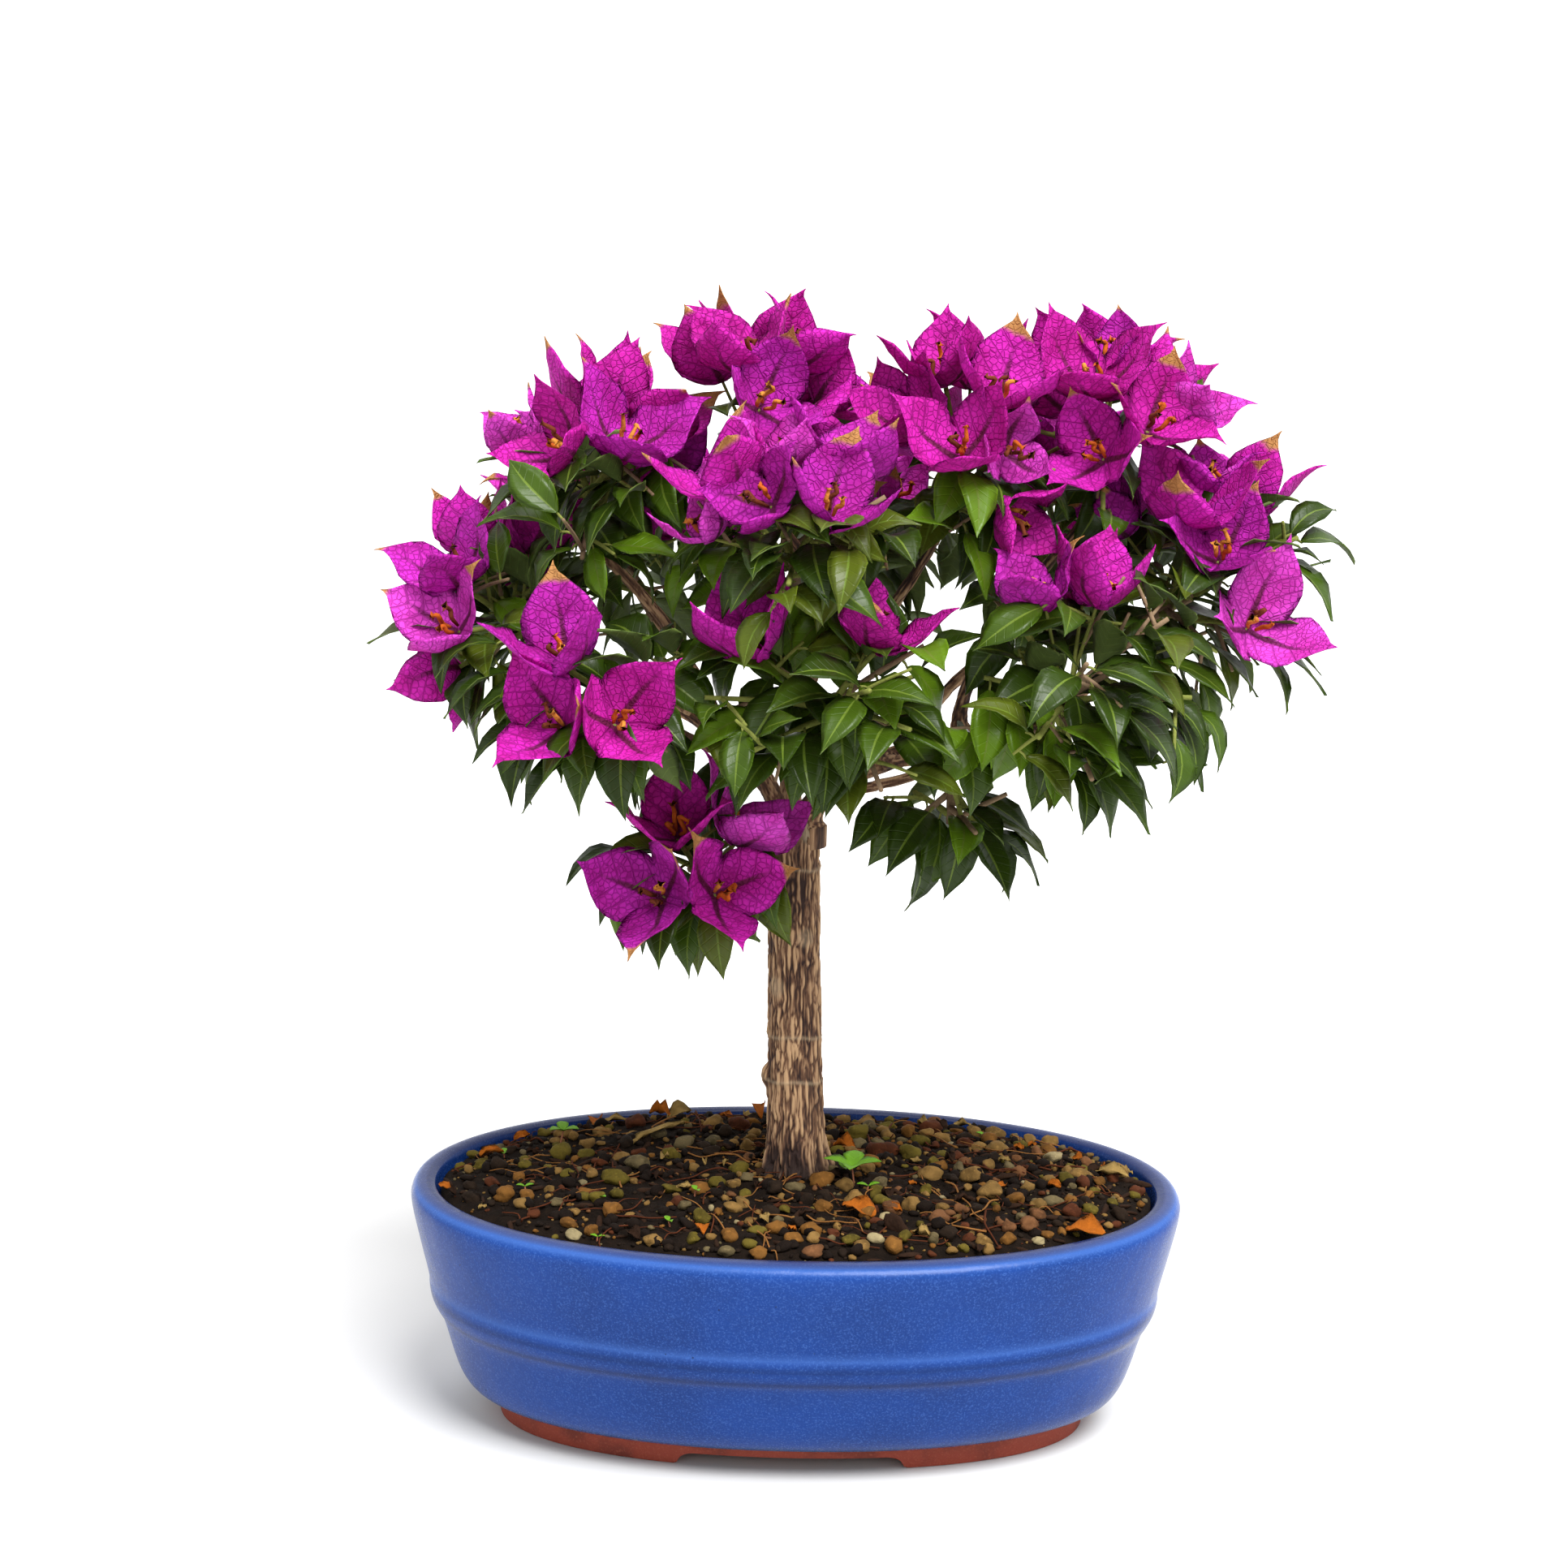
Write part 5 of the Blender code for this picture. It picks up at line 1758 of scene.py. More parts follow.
@dataclass
class Crown:
    """The crown's leaves, bracts, flowers and twigs, each kind joined into one piece."""

    growth: Growth
    leaf_shares: tuple[float, ...] = (0.42, 0.34, 0.16, 0.08)
    petiole: float = 0.11
    petiole_radii: Pair = (0.00055, 0.00042)
    leaf_thickness: float = 0.00035
    leaf_arch: Pair = (0.0010, 0.0040)
    leaf_curl: Pair = (0.0005, 0.0045)
    leaf_crease: Pair = (0.4, 1.3)
    leaf_wave: float = 0.0006
    leaf_sway: float = 0.0016
    bract_thickness: float = 0.0003
    bract_belly: Pair = (0.0026, 0.0044)
    bract_cup: Pair = (0.0010, 0.0030)
    bract_wave: float = 0.0009
    bract_incurve: Pair = (0.0005, 0.0050)
    bract_recurve: Pair = (0.0, 0.0095)
    bract_tip_sway: float = 0.0045
    dry_share: float = 0.28
    flower_length: Pair = (0.006, 0.010)
    flower_sides: int = 8
    # How far a flower's lobes stand out and how that varies, how far its rim does between them, and how far
    # either strays along the flower
    flower_lobe: float = 0.0013
    lobe_spread: Pair = (0.7, 1.1)
    lobe_gap: float = 0.0003
    mouth_stray: Pair = (-0.0006, 0.001)
    twig_radii: Pair = (0.00125, 0.0008)
    shoot_radii: Pair = (0.0008, 0.0005)
    rosette: tuple[Vector, float] = (Vector((0.052, -0.07, 0.268)), 0.024)
    stem_tip_radius: float = 0.0014
    stem_sink: float = 0.003
    petiole_lap: float = 0.03
    petiole_sink: float = 0.0004
    petiole_sides: int = 4
    bract_crease: Pair = (0.0005, 0.2)
    bract_pucker: float = 0.0003
    # How many millimetres a dry tip reaches down, and the same for a fresh bract
    dry_reach: Pair = (2, 8)
    fresh: float = -5.0
    # A flower's lean along its bract and up, its foot along and above it, its curl, bore and swell, and how
    # far along and how far aside it bends
    flower_lean: Pair = (0.45, 0.9)
    flower_foot: Pair = (0.003, 0.0008)
    flower_curl: float = 0.0016
    flower_bore: Pair = (0.0003, 0.0005)
    flower_bends: tuple[Pair, ...] = ((0.4, 1.0), (0.75, -0.4), (0.95, 1.3))
    twig_steps: int = 4
    twig_sides: int = 6
    green_share: float = 0.55
    trunk_stem_radius: float = 0.0024
    rng: random.Random = field(default_factory=lambda: random.Random("crown"))
    leaves: Batch = field(default_factory=Batch)
    bracts: Batch = field(default_factory=Batch)
    flowers: Batch = field(default_factory=Batch)
    twigs: Batch = field(default_factory=Batch)
    stalks: Batch = field(default_factory=Batch)

    def lay_leaf(self, leaf: Leaf, green: LeafTint) -> None:
        """Adds a leaf with its petiole.

        Args:
            leaf: The leaf.
            green: Its green.
        """
        grid, rng = LEAF_GRID, self.rng
        t, s = grid.along, grid.across
        flat = s * leaf.width / 2 * grid.half_width
        across = flat + rng.uniform(-1, 1) * self.leaf_sway * np.sin(np.pi * t)
        along = leaf.length * (self.petiole + (1 - self.petiole) * t)
        crease = 2 * leaf.fold * rng.uniform(*self.leaf_crease) * np.abs(flat)
        arch = rng.uniform(*self.leaf_arch) * np.sin(np.pi * t**0.8) - rng.uniform(*self.leaf_curl) * t**4
        ripple = self.leaf_wave * s**2 * np.sin(11 * t + rng.uniform(0, 6) + 2 * s)
        shape = (across, along, crease + arch + ripple)
        points = grid.lay(shape, self.leaf_thickness, leaf.root, leaf.heading, leaf.face)
        palette = (green, len(LeafTint), len(LeafTint) + 1)
        self.leaves.add(points, grid.sheets[1], palette, grid.marks(flat, along, np.abs(s)))
        end = leaf.root + leaf.heading * leaf.length * (self.petiole + self.petiole_lap)
        middle = leaf.root.lerp(end, 0.5) + leaf.face * self.petiole_sink
        line = [leaf.root - leaf.heading * self.petiole_sink, middle, end]
        self.stalks.add(*tube(line, even(*self.petiole_radii, len(line)), self.petiole_sides))

    def lay_bract(self, bloom: Bloom, heading: Vector, face: Vector, magenta: int) -> None:
        """Adds one bract of a bloom, its inner face up.

        Args:
            bloom: The bloom that it belongs to.
            heading: The way it runs.
            face: The way its upper or inner side looks.
            magenta: The slot of its finish.
        """
        grid, rng = BRACT_GRID, self.rng
        t, s, w = grid.along, grid.across, grid.half_width
        length = bloom.length * bloom.scale
        flat = s * bloom.width * bloom.scale / 2 * w
        across = flat + rng.uniform(-1, 1) * self.bract_tip_sway * t**4
        belly = -rng.uniform(*self.bract_belly) * np.sin(np.pi * t**0.9)
        cup = rng.uniform(*self.bract_cup) * s**2 * np.sin(np.pi * t**0.8)
        recurve = rng.uniform(*self.bract_incurve) * t**2 - rng.uniform(*self.bract_recurve) * t**6
        depth, spread = self.bract_crease
        crease = -depth * np.exp(-((s / spread) ** 2)) * np.sin(np.pi * t)
        ripple = self.bract_wave * np.abs(s) ** 2.5 * np.sin(14 * t + rng.uniform(0, 6) + 1.6 * s) * w
        pucker = self.bract_pucker * np.sin(19 * t + 4 * np.abs(s) + rng.uniform(0, 6)) * w
        height = belly + cup + recurve + crease + ripple + pucker
        points = grid.lay((across, length * t, height), self.bract_thickness, bloom.foot, heading, face)
        dry = rng.uniform(*self.dry_reach) if rng.random() < self.dry_share else self.fresh
        marks = grid.marks(flat, bloom.length * t, dry)
        self.bracts.add(points, grid.sheets[1], [magenta] * 3, marks)

    def lay_flower(self, bloom: Bloom, heading: Vector, face: Vector, dry: int) -> None:
        """Adds the small curled tube flower that stands on a bract's midrib.

        Args:
            bloom: The bloom that it belongs to.
            heading: The way the bract runs.
            face: The bract's inner face.
            dry: The slot of its finish.
        """
        rng = self.rng
        length = rng.uniform(*self.flower_length)
        run = (heading * self.flower_lean[0] + bloom.axis * self.flower_lean[1]).normalized()
        start = bloom.foot + heading * self.flower_foot[0] + face * self.flower_foot[1]
        curl = jitter(rng, 1) * self.flower_curl
        bends = [start + run * length * far + curl * swing for far, swing in self.flower_bends]
        line = curve_through([start, *bends], 3)
        narrow, swell = self.flower_bore
        radii = [narrow + swell * math.sin(0.4 + 2.2 * i / (len(line) - 1)) for i in range(len(line))]
        rings = [array(ring) for ring in tube_rings(line, radii, self.flower_sides)]
        opening = (line[-1] - line[-2]).normalized()
        mouth = []
        for k, place in enumerate(rings[-1]):
            out = (Vector(place) - line[-1]).normalized()
            reach = self.flower_lobe * rng.uniform(*self.lobe_spread) if k % 2 else self.lobe_gap
            mouth.append(Vector(place) + out * reach + opening * rng.uniform(*self.mouth_stray))
        self.flowers.add(*rings_shape([*rings, array(mouth)]), (dry,))

    def lay_twig(self, line: Line, radii: Pair, green: bool) -> None:
        """Adds a smooth twig along a line, as old wood or as a green stalk.

        Args:
            line: The twig's points.
            radii: Its radii at both ends.
            green: Whether it is a green stalk.
        """
        smooth = curve_through(line, self.twig_steps)
        batch = self.stalks if green else self.twigs
        batch.add(*tube(smooth, even(*radii, len(smooth)), self.twig_sides))

    def lay_spray(self, spray: Spray) -> None:
        """Adds a twig with its leaves, and its bloom where it has one.

        Args:
            spray: The twig with what it carries.
        """
        rng = self.rng
        radii = self.shoot_radii if spray.fine else self.twig_radii
        self.lay_twig(spray.line, radii, spray.bloom is not None or rng.random() < self.green_share)
        green = rng.choices(list(LeafTint), self.leaf_shares)[0]
        if (spray.line[-1] - self.rosette[0]).length < self.rosette[1]:
            green = LeafTint.YOUNG
        for leaf in spray.leaves:
            self.lay_leaf(leaf, green)
        if spray.bloom:
            magenta = rng.randrange(len(MAGENTAS))
            for heading, face in spray.bloom.bracts():
                self.lay_bract(spray.bloom, heading, face, magenta)
                self.lay_flower(spray.bloom, heading, face, rng.randrange(len(DRIED)))

    def build(self) -> None:
        """Builds the pieces, which stand for every mass of foliage."""
        for name, mass in MASSES.items():
            stem = self.growth.stems[name]
            back = (stem[0] - stem[1]).normalized() * self.stem_sink
            carrier = self.growth.limbs.get(mass.carrier)
            foot_radius = carrier.radii[1] if carrier else self.trunk_stem_radius
            self.lay_twig([stem[0] + back, *stem], (foot_radius, self.stem_tip_radius), False)
            for spray in self.growth.sprays[name]:
                self.lay_spray(spray)
        for name, batch, finishes, slot in (
            ("leaves", self.leaves, GREENS, "foliage"),
            ("bracts", self.bracts, MAGENTAS, "foliage"),
            ("flowers", self.flowers, DRIED, "foliage"),
            ("green_stalks", self.stalks, (Grainy("stalk_green", tint(122, 128, 62)),), "foliage"),
            ("twigs", self.twigs, (Grainy("twig_bark", tint(130, 108, 84)),), "bark"),
        ):
            batch.build(name, [finish.make() for finish in finishes], slot, list(MASSES))


@dataclass(frozen=True)
class Scar:
    """A knob or healed cut on the trunk, by its bearing in degrees and its height."""

    bearing: float
    height: float
    reach: float
    rise: float
    pale: float


@dataclass
class Wood:
    """The trunk and every bough as one mesh with the bark's relief."""

    trunk: Trunk
    limbs: Mapping[str, Limb]
    scars: tuple[Scar, ...] = (
        Scar(180, 0.1180, 0.0045, 0.0016, 0.0),
        Scar(-61, 0.1670, 0.0032, 0.0007, 0.30),
        Scar(-136, 0.1501, 0.0034, 0.0007, 0.35),
        Scar(-40, 0.2020, 0.0045, 0.0006, 0.75),
    )
    rings: Triple = (0.1331, 0.1179, 0.1895)
    relief: float = 0.00095
    splits: tuple[int, float] = (11, 0.0022)
    trunk_sides: int = 168
    trunk_steps: int = 260
    dome_steps: int = 12
    dome_height: float = 0.0042
    dome_tip: float = 0.0004
    below: float = -0.035
    collar: Pair = (0.5, 0.0045)
    # How fine the bark's ridges, its fibres and its broad swells are, per metre along each axis
    ridge_scale: Triple = (780, 780, 68)
    fibre_scale: Triple = (1900, 1900, 110)
    broad_scale: Triple = (150, 150, 50)
    # How fine the ridges' wander is, how far it goes, and the seed that makes it the same in every run
    warp: Pair = (210, 0.55)
    warp_seed: int = 7
    ridge_width: float = 0.44
    # A ring's wander and half width, its rise and how pale it is
    ring_sizes: Triple = (0.0006, 0.0003, 0.4)
    # A main and a side bough's sink into what carries it, sides and steps
    main_grid: tuple[float, int, int] = (0.007, 40, 120)
    side_grid: tuple[float, int, int] = (0.003, 24, 60)
    batch: Batch = field(default_factory=lambda: Batch("bark"))

    def bark_at(self, place: Vector) -> Pair:
        """How far up a ridge a place on the bark is, and how high its relief stands, both about 0 to 1.

        Args:
            place: The place on a smooth trunk or bough.

        Returns:
            How pale the bark is there, and how high it stands.
        """
        cell, fine, coarse = (
            Vector([p * s for p, s in zip(place, scale)])
            for scale in (self.ridge_scale, self.fibre_scale, self.broad_scale)
        )
        near = noise.voronoi(cell + noise.noise_vector(place * self.warp[0]) * self.warp[1])[0]
        ridge = min(1.0, (near[1] - near[0]) / self.ridge_width) ** 0.8
        fibre, broad = noise.noise(fine), noise.noise(coarse)
        return 0.08 + 0.72 * ridge + 0.42 * fibre + 0.3 * broad, 0.74 * ridge + 0.34 * fibre + 0.4 * broad

    def scarred(self, centre: Vector, radius: float, turn: float) -> Pair:
        """How far the scars and rings lift a place on the trunk, and how pale they make it.

        Args:
            centre: The trunk's axis there.
            radius: Its radius there.
            turn: The turn round the axis.

        Returns:
            The lift in metres and the paleness.
        """
        rise, pale = 0.0, 0.0
        for scar in self.scars:
            bend_off = (math.degrees(turn) - scar.bearing + 180) % 360 - 180
            away = math.hypot(math.radians(bend_off) * radius, centre.z - scar.height) / scar.reach
            if away < 1.6:
                rise += scar.rise * math.exp(-((away * 1.3) ** 4))
                pale = max(pale, scar.pale * math.exp(-(away**6)))
        wander, ring_rise, ring_pale = self.ring_sizes
        for height in self.rings:
            ring = bell((centre.z - height - wander * math.sin(3 * turn)) / wander)
            rise += ring_rise * ring
            pale = max(pale, ring_pale * ring)
        return rise, pale

    def lay_trunk(self) -> None:
        """Adds the trunk with its roots, scars and rounded top."""
        trunk, fork = self.trunk, self.trunk.point(1)
        shares = even(self.below, 1.0, self.trunk_steps)
        buried = UP * (trunk.top_height - trunk.foot_height)
        points = [trunk.point(max(t, 0)) + buried * min(t, 0) for t in shares]
        radii = [trunk.radius(max(t, 0)) for t in shares]
        for a in even(0, math.pi / 2, self.dome_steps)[1:]:
            points.append(fork + UP * (self.dome_height * math.sin(a)))
            radii.append(max(self.dome_tip, radii[self.trunk_steps - 1] * math.cos(a) ** 0.8))
        rings, marks = [], []
        for centre, radius in zip(points, radii):
            ring, fade = [], min(1.0, radius / trunk.radii[1])
            roots = math.exp(-(centre.z - trunk.foot_height) / trunk.flare_height)
            for turn in turns(self.trunk_sides):
                out = around(turn)
                lobes, depth, phase = trunk.lobes
                lobe = 1 - depth * (1 - math.cos(lobes * turn + phase))
                level, height = self.bark_at(out * radius + UP * centre.z)
                stand = self.relief * (height - 0.5) * fade * (1 + 1.4 * roots) + trunk.flare * roots * lobe
                count, deep = self.splits
                split = abs(math.sin(count * turn / 2 + 2 * math.sin(2 * turn) + 60 * centre.z)) ** 0.5
                split = (1 - split) * min(1.0, roots * 1.6)
                rise, pale = self.scarred(centre, radius, turn)
                ring.append(centre + out * (radius + stand - deep * split + rise))
                # Darker towards the foot and in the troughs between the root lobes
                foot_darkening = 0.75 * min(1.0, roots) ** 1.5 * (1.1 - lobe * 0.3)
                marks.append((level - 1.2 * split, pale, foot_darkening))
            rings.append(array(ring))
        self.batch.add(*rings_shape(rings), marks=np.array(marks))

    def lay_limb(self, limb: Limb, sink: float, sides: int, steps: int) -> None:
        """Adds a bough with a collar where it leaves what carries it, into which its foot is sunk.

        Args:
            limb: The bough.
            sink: How deep its foot is sunk.
            sides: How many sides it has.
            steps: How many steps its length is cut into.
        """
        length = (limb.tip - limb.foot).length
        shares = [i / steps for i in range(steps + 1)]
        points = [limb.point(t) for t in shares]
        swell, fade = self.collar
        radii = [limb.radius(t) * (1 + swell * math.exp(-t * length / fade)) for t in shares]
        points.insert(0, limb.foot - limb.heading * sink)
        radii.insert(0, radii[0])
        seed = Vector((len(limb.name), 0, 0)) * 0.37
        rings, marks = [], []
        for i, (centre, ring) in enumerate(zip(points, tube_rings(points, radii, sides))):
            rise = length * (i - 1) / steps
            moved = []
            for turn, place in zip(turns(sides), ring):
                local = around(turn) * radii[i] + UP * rise + seed
                level, height = self.bark_at(local)
                out = (place - centre).normalized()
                moved.append(place + out * self.relief * 0.6 * (height - 0.5))
                marks.append((level, 0.0, 0.0))
            rings.append(array(moved))
        self.batch.add(*rings_shape(rings), marks=np.array(marks))

    def build(self) -> None:
        """Builds the piece, which stands for the trunk and the boughs."""
        noise.seed_set(self.warp_seed)
        self.lay_trunk()
        for name, limb in self.limbs.items():
            self.lay_limb(limb, *(self.main_grid if name in MAIN_BOUGHS else self.side_grid))
        self.batch.build("bark_wood", [Bark().make()], "bark", ["trunk", *self.limbs])


@dataclass(frozen=True)
class Pot:
    """The oval glazed bowl and its unglazed foot, with the solids' sizes and finer curves.

    The profile runs up the outside, each corner by its height and how far it lies inside the rim's edge.
    """

    length: float = 0.255
    width: float = 0.163
    height: float = 0.0817
    oval_power: float = 2.12
    side_draft: float = 1.1
    wall: float = 0.0086
    floor_height: float = 0.0165
    rim_rounding: Pair = (0.0012, 0.0016)
    inner_taper: float = 0.0105
    inner_rounding: float = 0.0120
    wall_heights: Pair = (0.060, 0.023)
    foot_height: float = 0.0075
    foot_inset: float = 0.0300
    foot_ring: float = 0.0095
    foot_plate: float = 0.0030
    arch_width: float = 0.062
    arch_slant: float = 0.006
    profile: tuple[Pair, ...] = (
        (0.0079, 0.0278), (0.0100, 0.0222), (0.0135, 0.0182), (0.0200, 0.0150), (0.0360, 0.0106),
        (0.0385, 0.0087), (0.0425, 0.0068), (0.0465, 0.0062), (0.0490, 0.0064), (0.0630, 0.0030),
        (0.0765, 0.0000), (0.0798, 0.0008), (0.0817, 0.0034),
    )
    bowl_segments: int = 220
    foot_segments: int = 480
    # Where a painted highlight runs along an edge and where painted shade lies in a crease, up the outside:
    # height, reach and strength
    painted_highlight_at: tuple[Triple, ...] = ((0.0803, 0.0010, 1.0), (0.0484, 0.0012, 0.8))
    painted_shade_at: tuple[Triple, ...] = ((0.0388, 0.0011, 1.0), (0.0444, 0.0011, 0.8))
    # From where up the rim takes a painted reflection, and from where up and how much painted shade lies on
    # the inside
    painted_reflection_from: float = 0.0808
    shadow: Pair = (0.0765, 0.8)
    foot_edge: float = 0.0007
    # How far below the plate the arch ends, and the share of that rise that it takes
    arch_gap: float = 0.0002
    arch_share: float = 0.97

    def oval(self, inset: float, height: float, segments: int) -> np.ndarray:
        """The pot's outline drawn in by an inset, as a ring at a height.

        Args:
            inset: How far inside the rim's edge it lies.
            height: Its height.
            segments: How many points it has.

        Returns:
            The points.
        """
        angles = np.arange(segments) * 2 * np.pi / segments
        c, s = np.cos(angles), np.sin(angles)
        x = (self.length / 2 - inset) * np.sign(c) * np.abs(c) ** (2 / self.oval_power)
        y = (self.width / 2 - inset * self.side_draft) * np.sign(s) * np.abs(s) ** (2 / self.oval_power)
        return np.stack([x, y, np.full(segments, height)], axis=1)

    def inner_inset(self, height: float) -> float:
        """How far inside the rim's edge the bowl's inner wall lies at a height."""
        share = (self.height - height) / (self.height - self.floor_height)
        return self.wall + self.inner_taper * share + self.inner_rounding * share**8

    def glaze_at(self, height: float, outside: bool) -> Triple:
        """What the glaze reads at a height: a painted highlight, a painted reflection on the rim, and painted
        shade.

        Args:
            height: The height.
            outside: Whether it is on the outside.

        Returns:
            The three marks, each from 0 to 1.
        """
        # The first is a painted highlight along the edges, the second painted shade in the creases
        thin, painted_shade = (
            max(strength * bell((height - at) / reach) for at, reach, strength in places) if outside else 0.0
            for places in (self.painted_highlight_at, self.painted_shade_at)
        )
        # Painted shade on the upper inside
        if not outside and height > self.shadow[0]:
            painted_shade = self.shadow[1]
        return thin, float(height > self.painted_reflection_from), painted_shade

    def build_bowl(self) -> None:
        """Builds the bowl from its profile with its corners cut twice."""
        heights = (self.height - self.rim_rounding[1], *self.wall_heights, self.floor_height)
        inner = [(height, self.inner_inset(height)) for height in heights]
        profile = np.array([*self.profile, (self.height, self.wall - self.rim_rounding[0]), *inner])
        for _ in range(2):
            low, high = profile[:-1], profile[1:]
            cut = np.stack([low * 0.75 + high * 0.25, low * 0.25 + high * 0.75], axis=1).reshape(-1, 2)
            profile = np.concatenate([profile[:1], cut, profile[-1:]])
        top = int(profile[:, 0].argmax())
        rings = [self.oval(inset, height, self.bowl_segments) for height, inset in profile]
        marks = [self.glaze_at(height, k <= top) for k, (height, _) in enumerate(profile)]
        batch = Batch("glaze")
        batch.add(*rings_shape(rings), marks=np.repeat(marks, self.bowl_segments, axis=0))
        batch.build("glazed_bowl", [Glaze().make()], "glaze", ["pot_bowl"], 50)

    def build_foot(self) -> None:
        """Builds the foot: a plate on a ring whose underside rises into an arch at the front and the back."""
        plate = self.foot_height - self.foot_plate
        inner, edge = self.foot_inset + self.foot_ring, self.foot_edge
        corners = (
            (inner, plate),
            (inner, 0.0),
            (self.foot_inset + edge, 0.0),
            (self.foot_inset + edge * 0.3, edge * 0.3),
            (self.foot_inset, edge),
            (self.foot_inset, self.foot_height),
        )
        rings = [self.oval(inset, height, self.foot_segments) for inset, height in corners]
        for ring in rings[1:5]:
            off = (self.arch_width / 2 + self.arch_slant - np.abs(ring[:, 0])) / self.arch_slant
            share = off.clip(0, 1)
            rise = plate - self.arch_gap - ring[:, 2].max()
            ring[:, 2] += rise * (1 - (1 - share) ** 2) ** 0.5 * self.arch_share
        batch = Batch()
        batch.add(*rings_shape(rings))
        batch.build("clay_foot", [Clay().make()], "terracotta", ["pot_foot"], 40)


class Matter(IntEnum):
    """What lies on the soil."""

    TAN = 0
    OCHRE = 1
    MOSSY = 2
    PINKISH = 3
    GREY = 4
    WHITISH = 5
    RUST = 6
    DARK = 7
    STRAW = 8
    ROOT = 9
    ORANGE_LEAF = 10
    TAN_LEAF = 11
    BARK_BIT = 12
    CLOD = 13


MATTER_COLOURS = {
    Matter.TAN: tint(118, 90, 48),
    Matter.OCHRE: tint(108, 72, 30),
    Matter.MOSSY: tint(88, 76, 26),
    Matter.PINKISH: tint(100, 66, 40),
    Matter.GREY: tint(92, 80, 54),
    Matter.WHITISH: tint(140, 126, 92),
    Matter.RUST: tint(74, 38, 20),
    Matter.DARK: tint(34, 24, 16),
    Matter.STRAW: tint(128, 86, 44),
    Matter.ROOT: tint(76, 38, 20),
    Matter.ORANGE_LEAF: tint(152, 82, 20),
    Matter.TAN_LEAF: tint(142, 116, 66),
    Matter.BARK_BIT: tint(42, 26, 16),
    Matter.CLOD: tint(22, 14, 9),
}


@dataclass(frozen=True)
class Lump:
    """A pebble, chip or scrap at a place on the soil, with its length, all in millimetres.

    One that the solids have too has a bearing in degrees.
    """

    x: float
    y: float
    length: float
    kind: Matter
    bearing: float | None = None


# The main stones, as the solids have them, laid first
STONES = (
    Lump(-60, -15, 9.5, Matter.MOSSY, 20), Lump(-79, 13, 8.5, Matter.MOSSY, 60),
    Lump(-95, -24, 8.0, Matter.OCHRE, 130), Lump(-59, -40, 8.0, Matter.OCHRE, 80),
    Lump(-38, 20, 8.0, Matter.GREY, 40), Lump(-66, 36, 8.0, Matter.TAN, 100),
    Lump(-31, -22, 8.0, Matter.OCHRE, 30), Lump(-30, -46, 7.5, Matter.MOSSY, 110),
    Lump(-20, 42, 8.5, Matter.RUST, 70), Lump(-6, -52, 7.5, Matter.OCHRE, 160),
    Lump(6, 58, 8.0, Matter.TAN, 120), Lump(21, 35, 9.0, Matter.MOSSY, 50),
    Lump(19, -31, 9.0, Matter.TAN, 95), Lump(44, -6, 8.5, Matter.TAN, 5),
    Lump(46, -42, 8.0, Matter.PINKISH, 65), Lump(46, 48, 9.0, Matter.RUST, 35),
    Lump(63, -18, 9.5, Matter.TAN, 85), Lump(68, 26, 9.0, Matter.TAN, 125),
    Lump(74, -42, 8.0, Matter.PINKISH, 55), Lump(94, 4, 8.5, Matter.TAN, 145),
)
# More that shows singly in the photograph
LUMPS = (
    Lump(-19, -2, 7.5, Matter.MOSSY), Lump(-77, -33, 6.0, Matter.GREY), Lump(-52, -3, 8.5, Matter.GREY),
    Lump(25, -58, 5.5, Matter.WHITISH), Lump(58, -5, 8.5, Matter.TAN), Lump(68, 50, 8.5, Matter.TAN),
    Lump(-21, -57, 6.5, Matter.OCHRE), Lump(8, -15, 8.5, Matter.OCHRE), Lump(24, 60, 8.0, Matter.TAN),
    Lump(48, 59, 8.0, Matter.PINKISH), Lump(29, 19, 11.0, Matter.RUST), Lump(32, -50, 10.0, Matter.BARK_BIT),
    Lump(108, 15, 8.0, Matter.TAN), Lump(-45, -60, 6.0, Matter.TAN), Lump(84, -22, 7.0, Matter.GREY),
)
SCRAPS = (
    Lump(20, -40, 13.0, Matter.ORANGE_LEAF), Lump(31, -39, 8.0, Matter.ORANGE_LEAF),
    Lump(93, -42, 15.0, Matter.ORANGE_LEAF), Lump(105, 9, 14.0, Matter.TAN_LEAF),
    Lump(-47, 27, 24.0, Matter.TAN_LEAF), Lump(-102, 14, 9.0, Matter.ORANGE_LEAF),
    Lump(-62, 50, 9.0, Matter.TAN_LEAF), Lump(-47, 50, 9.0, Matter.ORANGE_LEAF),
    Lump(-69, 54, 12.0, Matter.ORANGE_LEAF), Lump(-41, 58, 12.0, Matter.TAN_LEAF),
    Lump(-12, 59, 11.0, Matter.ORANGE_LEAF), Lump(16, 20, 9.0, Matter.ORANGE_LEAF),
)


@dataclass(frozen=True)
class Seedling:
    """A weed seedling at a place on the soil, with its height, leaves and their length, in millimetres."""

    x: float
    y: float
    height: float
    leaves: int
    length: float


SEEDLINGS = (
    Seedling(19, -14, 7.0, 4, 10.0), Seedling(15, -4, 3.0, 2, 4.0), Seedling(23, -20, 3.0, 2, 4.0),
    Seedling(-80, 26, 6.0, 3, 6.0), Seedling(-88, -21, 3.0, 2, 3.0), Seedling(-64, -31, 3.0, 2, 3.0),
    Seedling(-33, -29, 3.0, 2, 3.0), Seedling(-40, -48, 3.0, 2, 3.0), Seedling(-63, -57, 2.5, 2, 2.5),
    Seedling(-98, 17, 3.0, 2, 3.0), Seedling(64, 43, 3.0, 2, 3.0),
)


